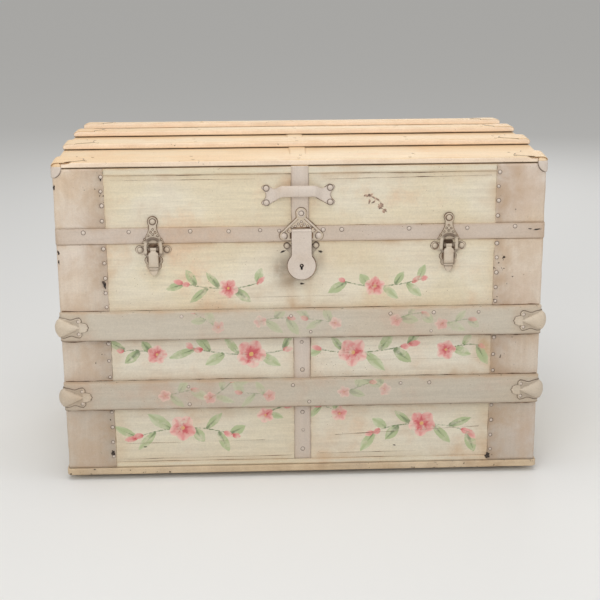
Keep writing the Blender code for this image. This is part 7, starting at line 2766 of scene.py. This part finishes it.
# Single marks of wear: chips, holes, a bruise on the lid and cracks along the boards
marksOfWear = {
    "caseChips": (  # x, z, half width, half height, turn in degrees, over the boards
        (-0.3490, 0.0511, 0.0035, 0.0052, 20, 0.0016),
        (0.3437, 0.0320, 0.0040, 0.0062, -15, 0.0016),
        (-0.4275, 0.4310, 0.0020, 0.0050, 5, 0.0006),
        (-0.4280, 0.4150, 0.0016, 0.0040, -8, 0.0006),
        (-0.3500, 0.3730, 0.0030, 0.0062, 12, 0.0016),
        (0.4190, 0.3050, 0.0016, 0.0034, 0, 0.0010),
        (-0.0330, 0.4279, 0.0042, 0.0017, 20, 0.0002),
        (0.0336, 0.4269, 0.0042, 0.0017, -25, 0.0002),
        (0.0005, 0.3684, 0.0034, 0.0019, 0, 0.0002),
        (0.2740, 0.1360, 0.0042, 0.0011, 4, 0.0002),
        (-0.2900, 0.0620, 0.0028, 0.0009, 0, 0.0002),
        (0.1700, 0.0560, 0.0030, 0.0009, -5, 0.0002),
    ),
    "lidChips": (
        (-0.4290, 0.5480, 0.0018, 0.0046, 0, 0.0008),
        (0.4185, 0.4620, 0.0060, 0.0013, 8, 0.0024),
        (0.4060, 0.4632, 0.0030, 0.0010, 0, 0.0024),
        (0.3560, 0.4700, 0.0016, 0.0026, 0, 0.0016),
        (-0.3480, 0.5620, 0.0015, 0.0030, 10, 0.0016),
    ),
    "bruise": (
        (0.1185, 0.5270, 0.0070, 0.0030, 10, 0.0002),
        (0.1300, 0.5215, 0.0100, 0.0018, -30, 0.0002),
        (0.1200, 0.5160, 0.0018, 0.0042, 0, 0.0002),
        (0.1400, 0.5075, 0.0050, 0.0056, 35, 0.0002),
        (0.1465, 0.4990, 0.0038, 0.0042, 10, 0.0002),
        (0.1275, 0.5150, 0.0040, 0.0014, 40, 0.0002),
    ),
    "cracks": (  # first and last point, width
        (-0.325, 0.0690, -0.070, 0.0715, 0.55),
        (0.060, 0.0790, 0.326, 0.0905, 0.70),
        (0.030, 0.0430, 0.210, 0.0440, 0.50),
        (-0.330, 0.0385, -0.020, 0.0400, 0.60),
        (0.180, 0.1440, 0.330, 0.1460, 0.45),
        (-0.150, 0.3440, 0.080, 0.3460, 0.40),
        (0.120, 0.2240, 0.320, 0.2235, 0.35),
    ),
    "lidCracks": ((-0.335, 0.5590, -0.080, 0.5585, 0.45), (0.040, 0.5570, 0.335, 0.5600, 0.55)),
}


def patch(x, z, wide, tall, turn, level, seed):
    # an uneven flat spot: an oval whose edge wanders, with its rim in the surface and its middle just over it
    count = 26
    angle = np.linspace(0, 2 * math.pi, count, endpoint=False)
    random = np.random.default_rng(seed)
    swing = sum(random.uniform(0.06, 0.20) * np.sin(k * angle + random.uniform(0, 6.3)) for k in (2, 3, 5, 7))
    flatX, flatZ = wide * (1 + swing) * np.cos(angle), tall * (1 + swing) * np.sin(angle)
    cos, sin = math.cos(math.radians(turn)), math.sin(math.radians(turn))
    across, up = flatX * cos - flatZ * sin, flatX * sin + flatZ * cos
    share = np.array([1.0, 0.92, 0.6, 0.3, 0.04])[:, None]
    lift = np.array([-0.0003, 0.00022, 0.0003, 0.0003, 0.0003])[:, None]
    depth = np.broadcast_to(frontY(level + lift), (len(lift), count))
    grid = np.stack([x + share * across, depth, z + share * up], axis=-1)
    return loft(grid)


def makeWear():
    # chips and the bruise are flat patches, and cracks are thin dirt lines
    for body, key in (("case", "caseChips"), ("lid", "lidChips")):
        spots = [patch(*row, 800 + number) for number, row in enumerate(marksOfWear[key])]
        makePiece(f"{body}Chips", spots, "chip", body)
    spots = [patch(*row, 840 + number) for number, row in enumerate(marksOfWear["bruise"])]
    makePiece("lidBruise", spots, "bruise", "lid")
    for body, key in (("case", "cracks"), ("lid", "lidCracks")):
        lines = []
        for number, (x0, z0, x1, z1, width) in enumerate(marksOfWear[key]):
            ends = [(x, frontY(0.0001), z) for x, z in ((x0, z0), (x1, z1))]
            lines.append(seamLine(*ends, forward, 860 + 5 * number, width))
        makePiece(f"{body}Cracks", lines, "grimeAndShade", body, slot="cream_paint")


finish["chip"] = plainFinish("oldDarkFinish", (0.045, 0.028, 0.020), 0.7, 0.5, scale=160.0)
finish["bruise"] = plainFinish("bruisedPaint", (0.44, 0.30, 0.22), 0.7, 0.45, scale=180.0)
makeWear()
print("marks of wear ready")
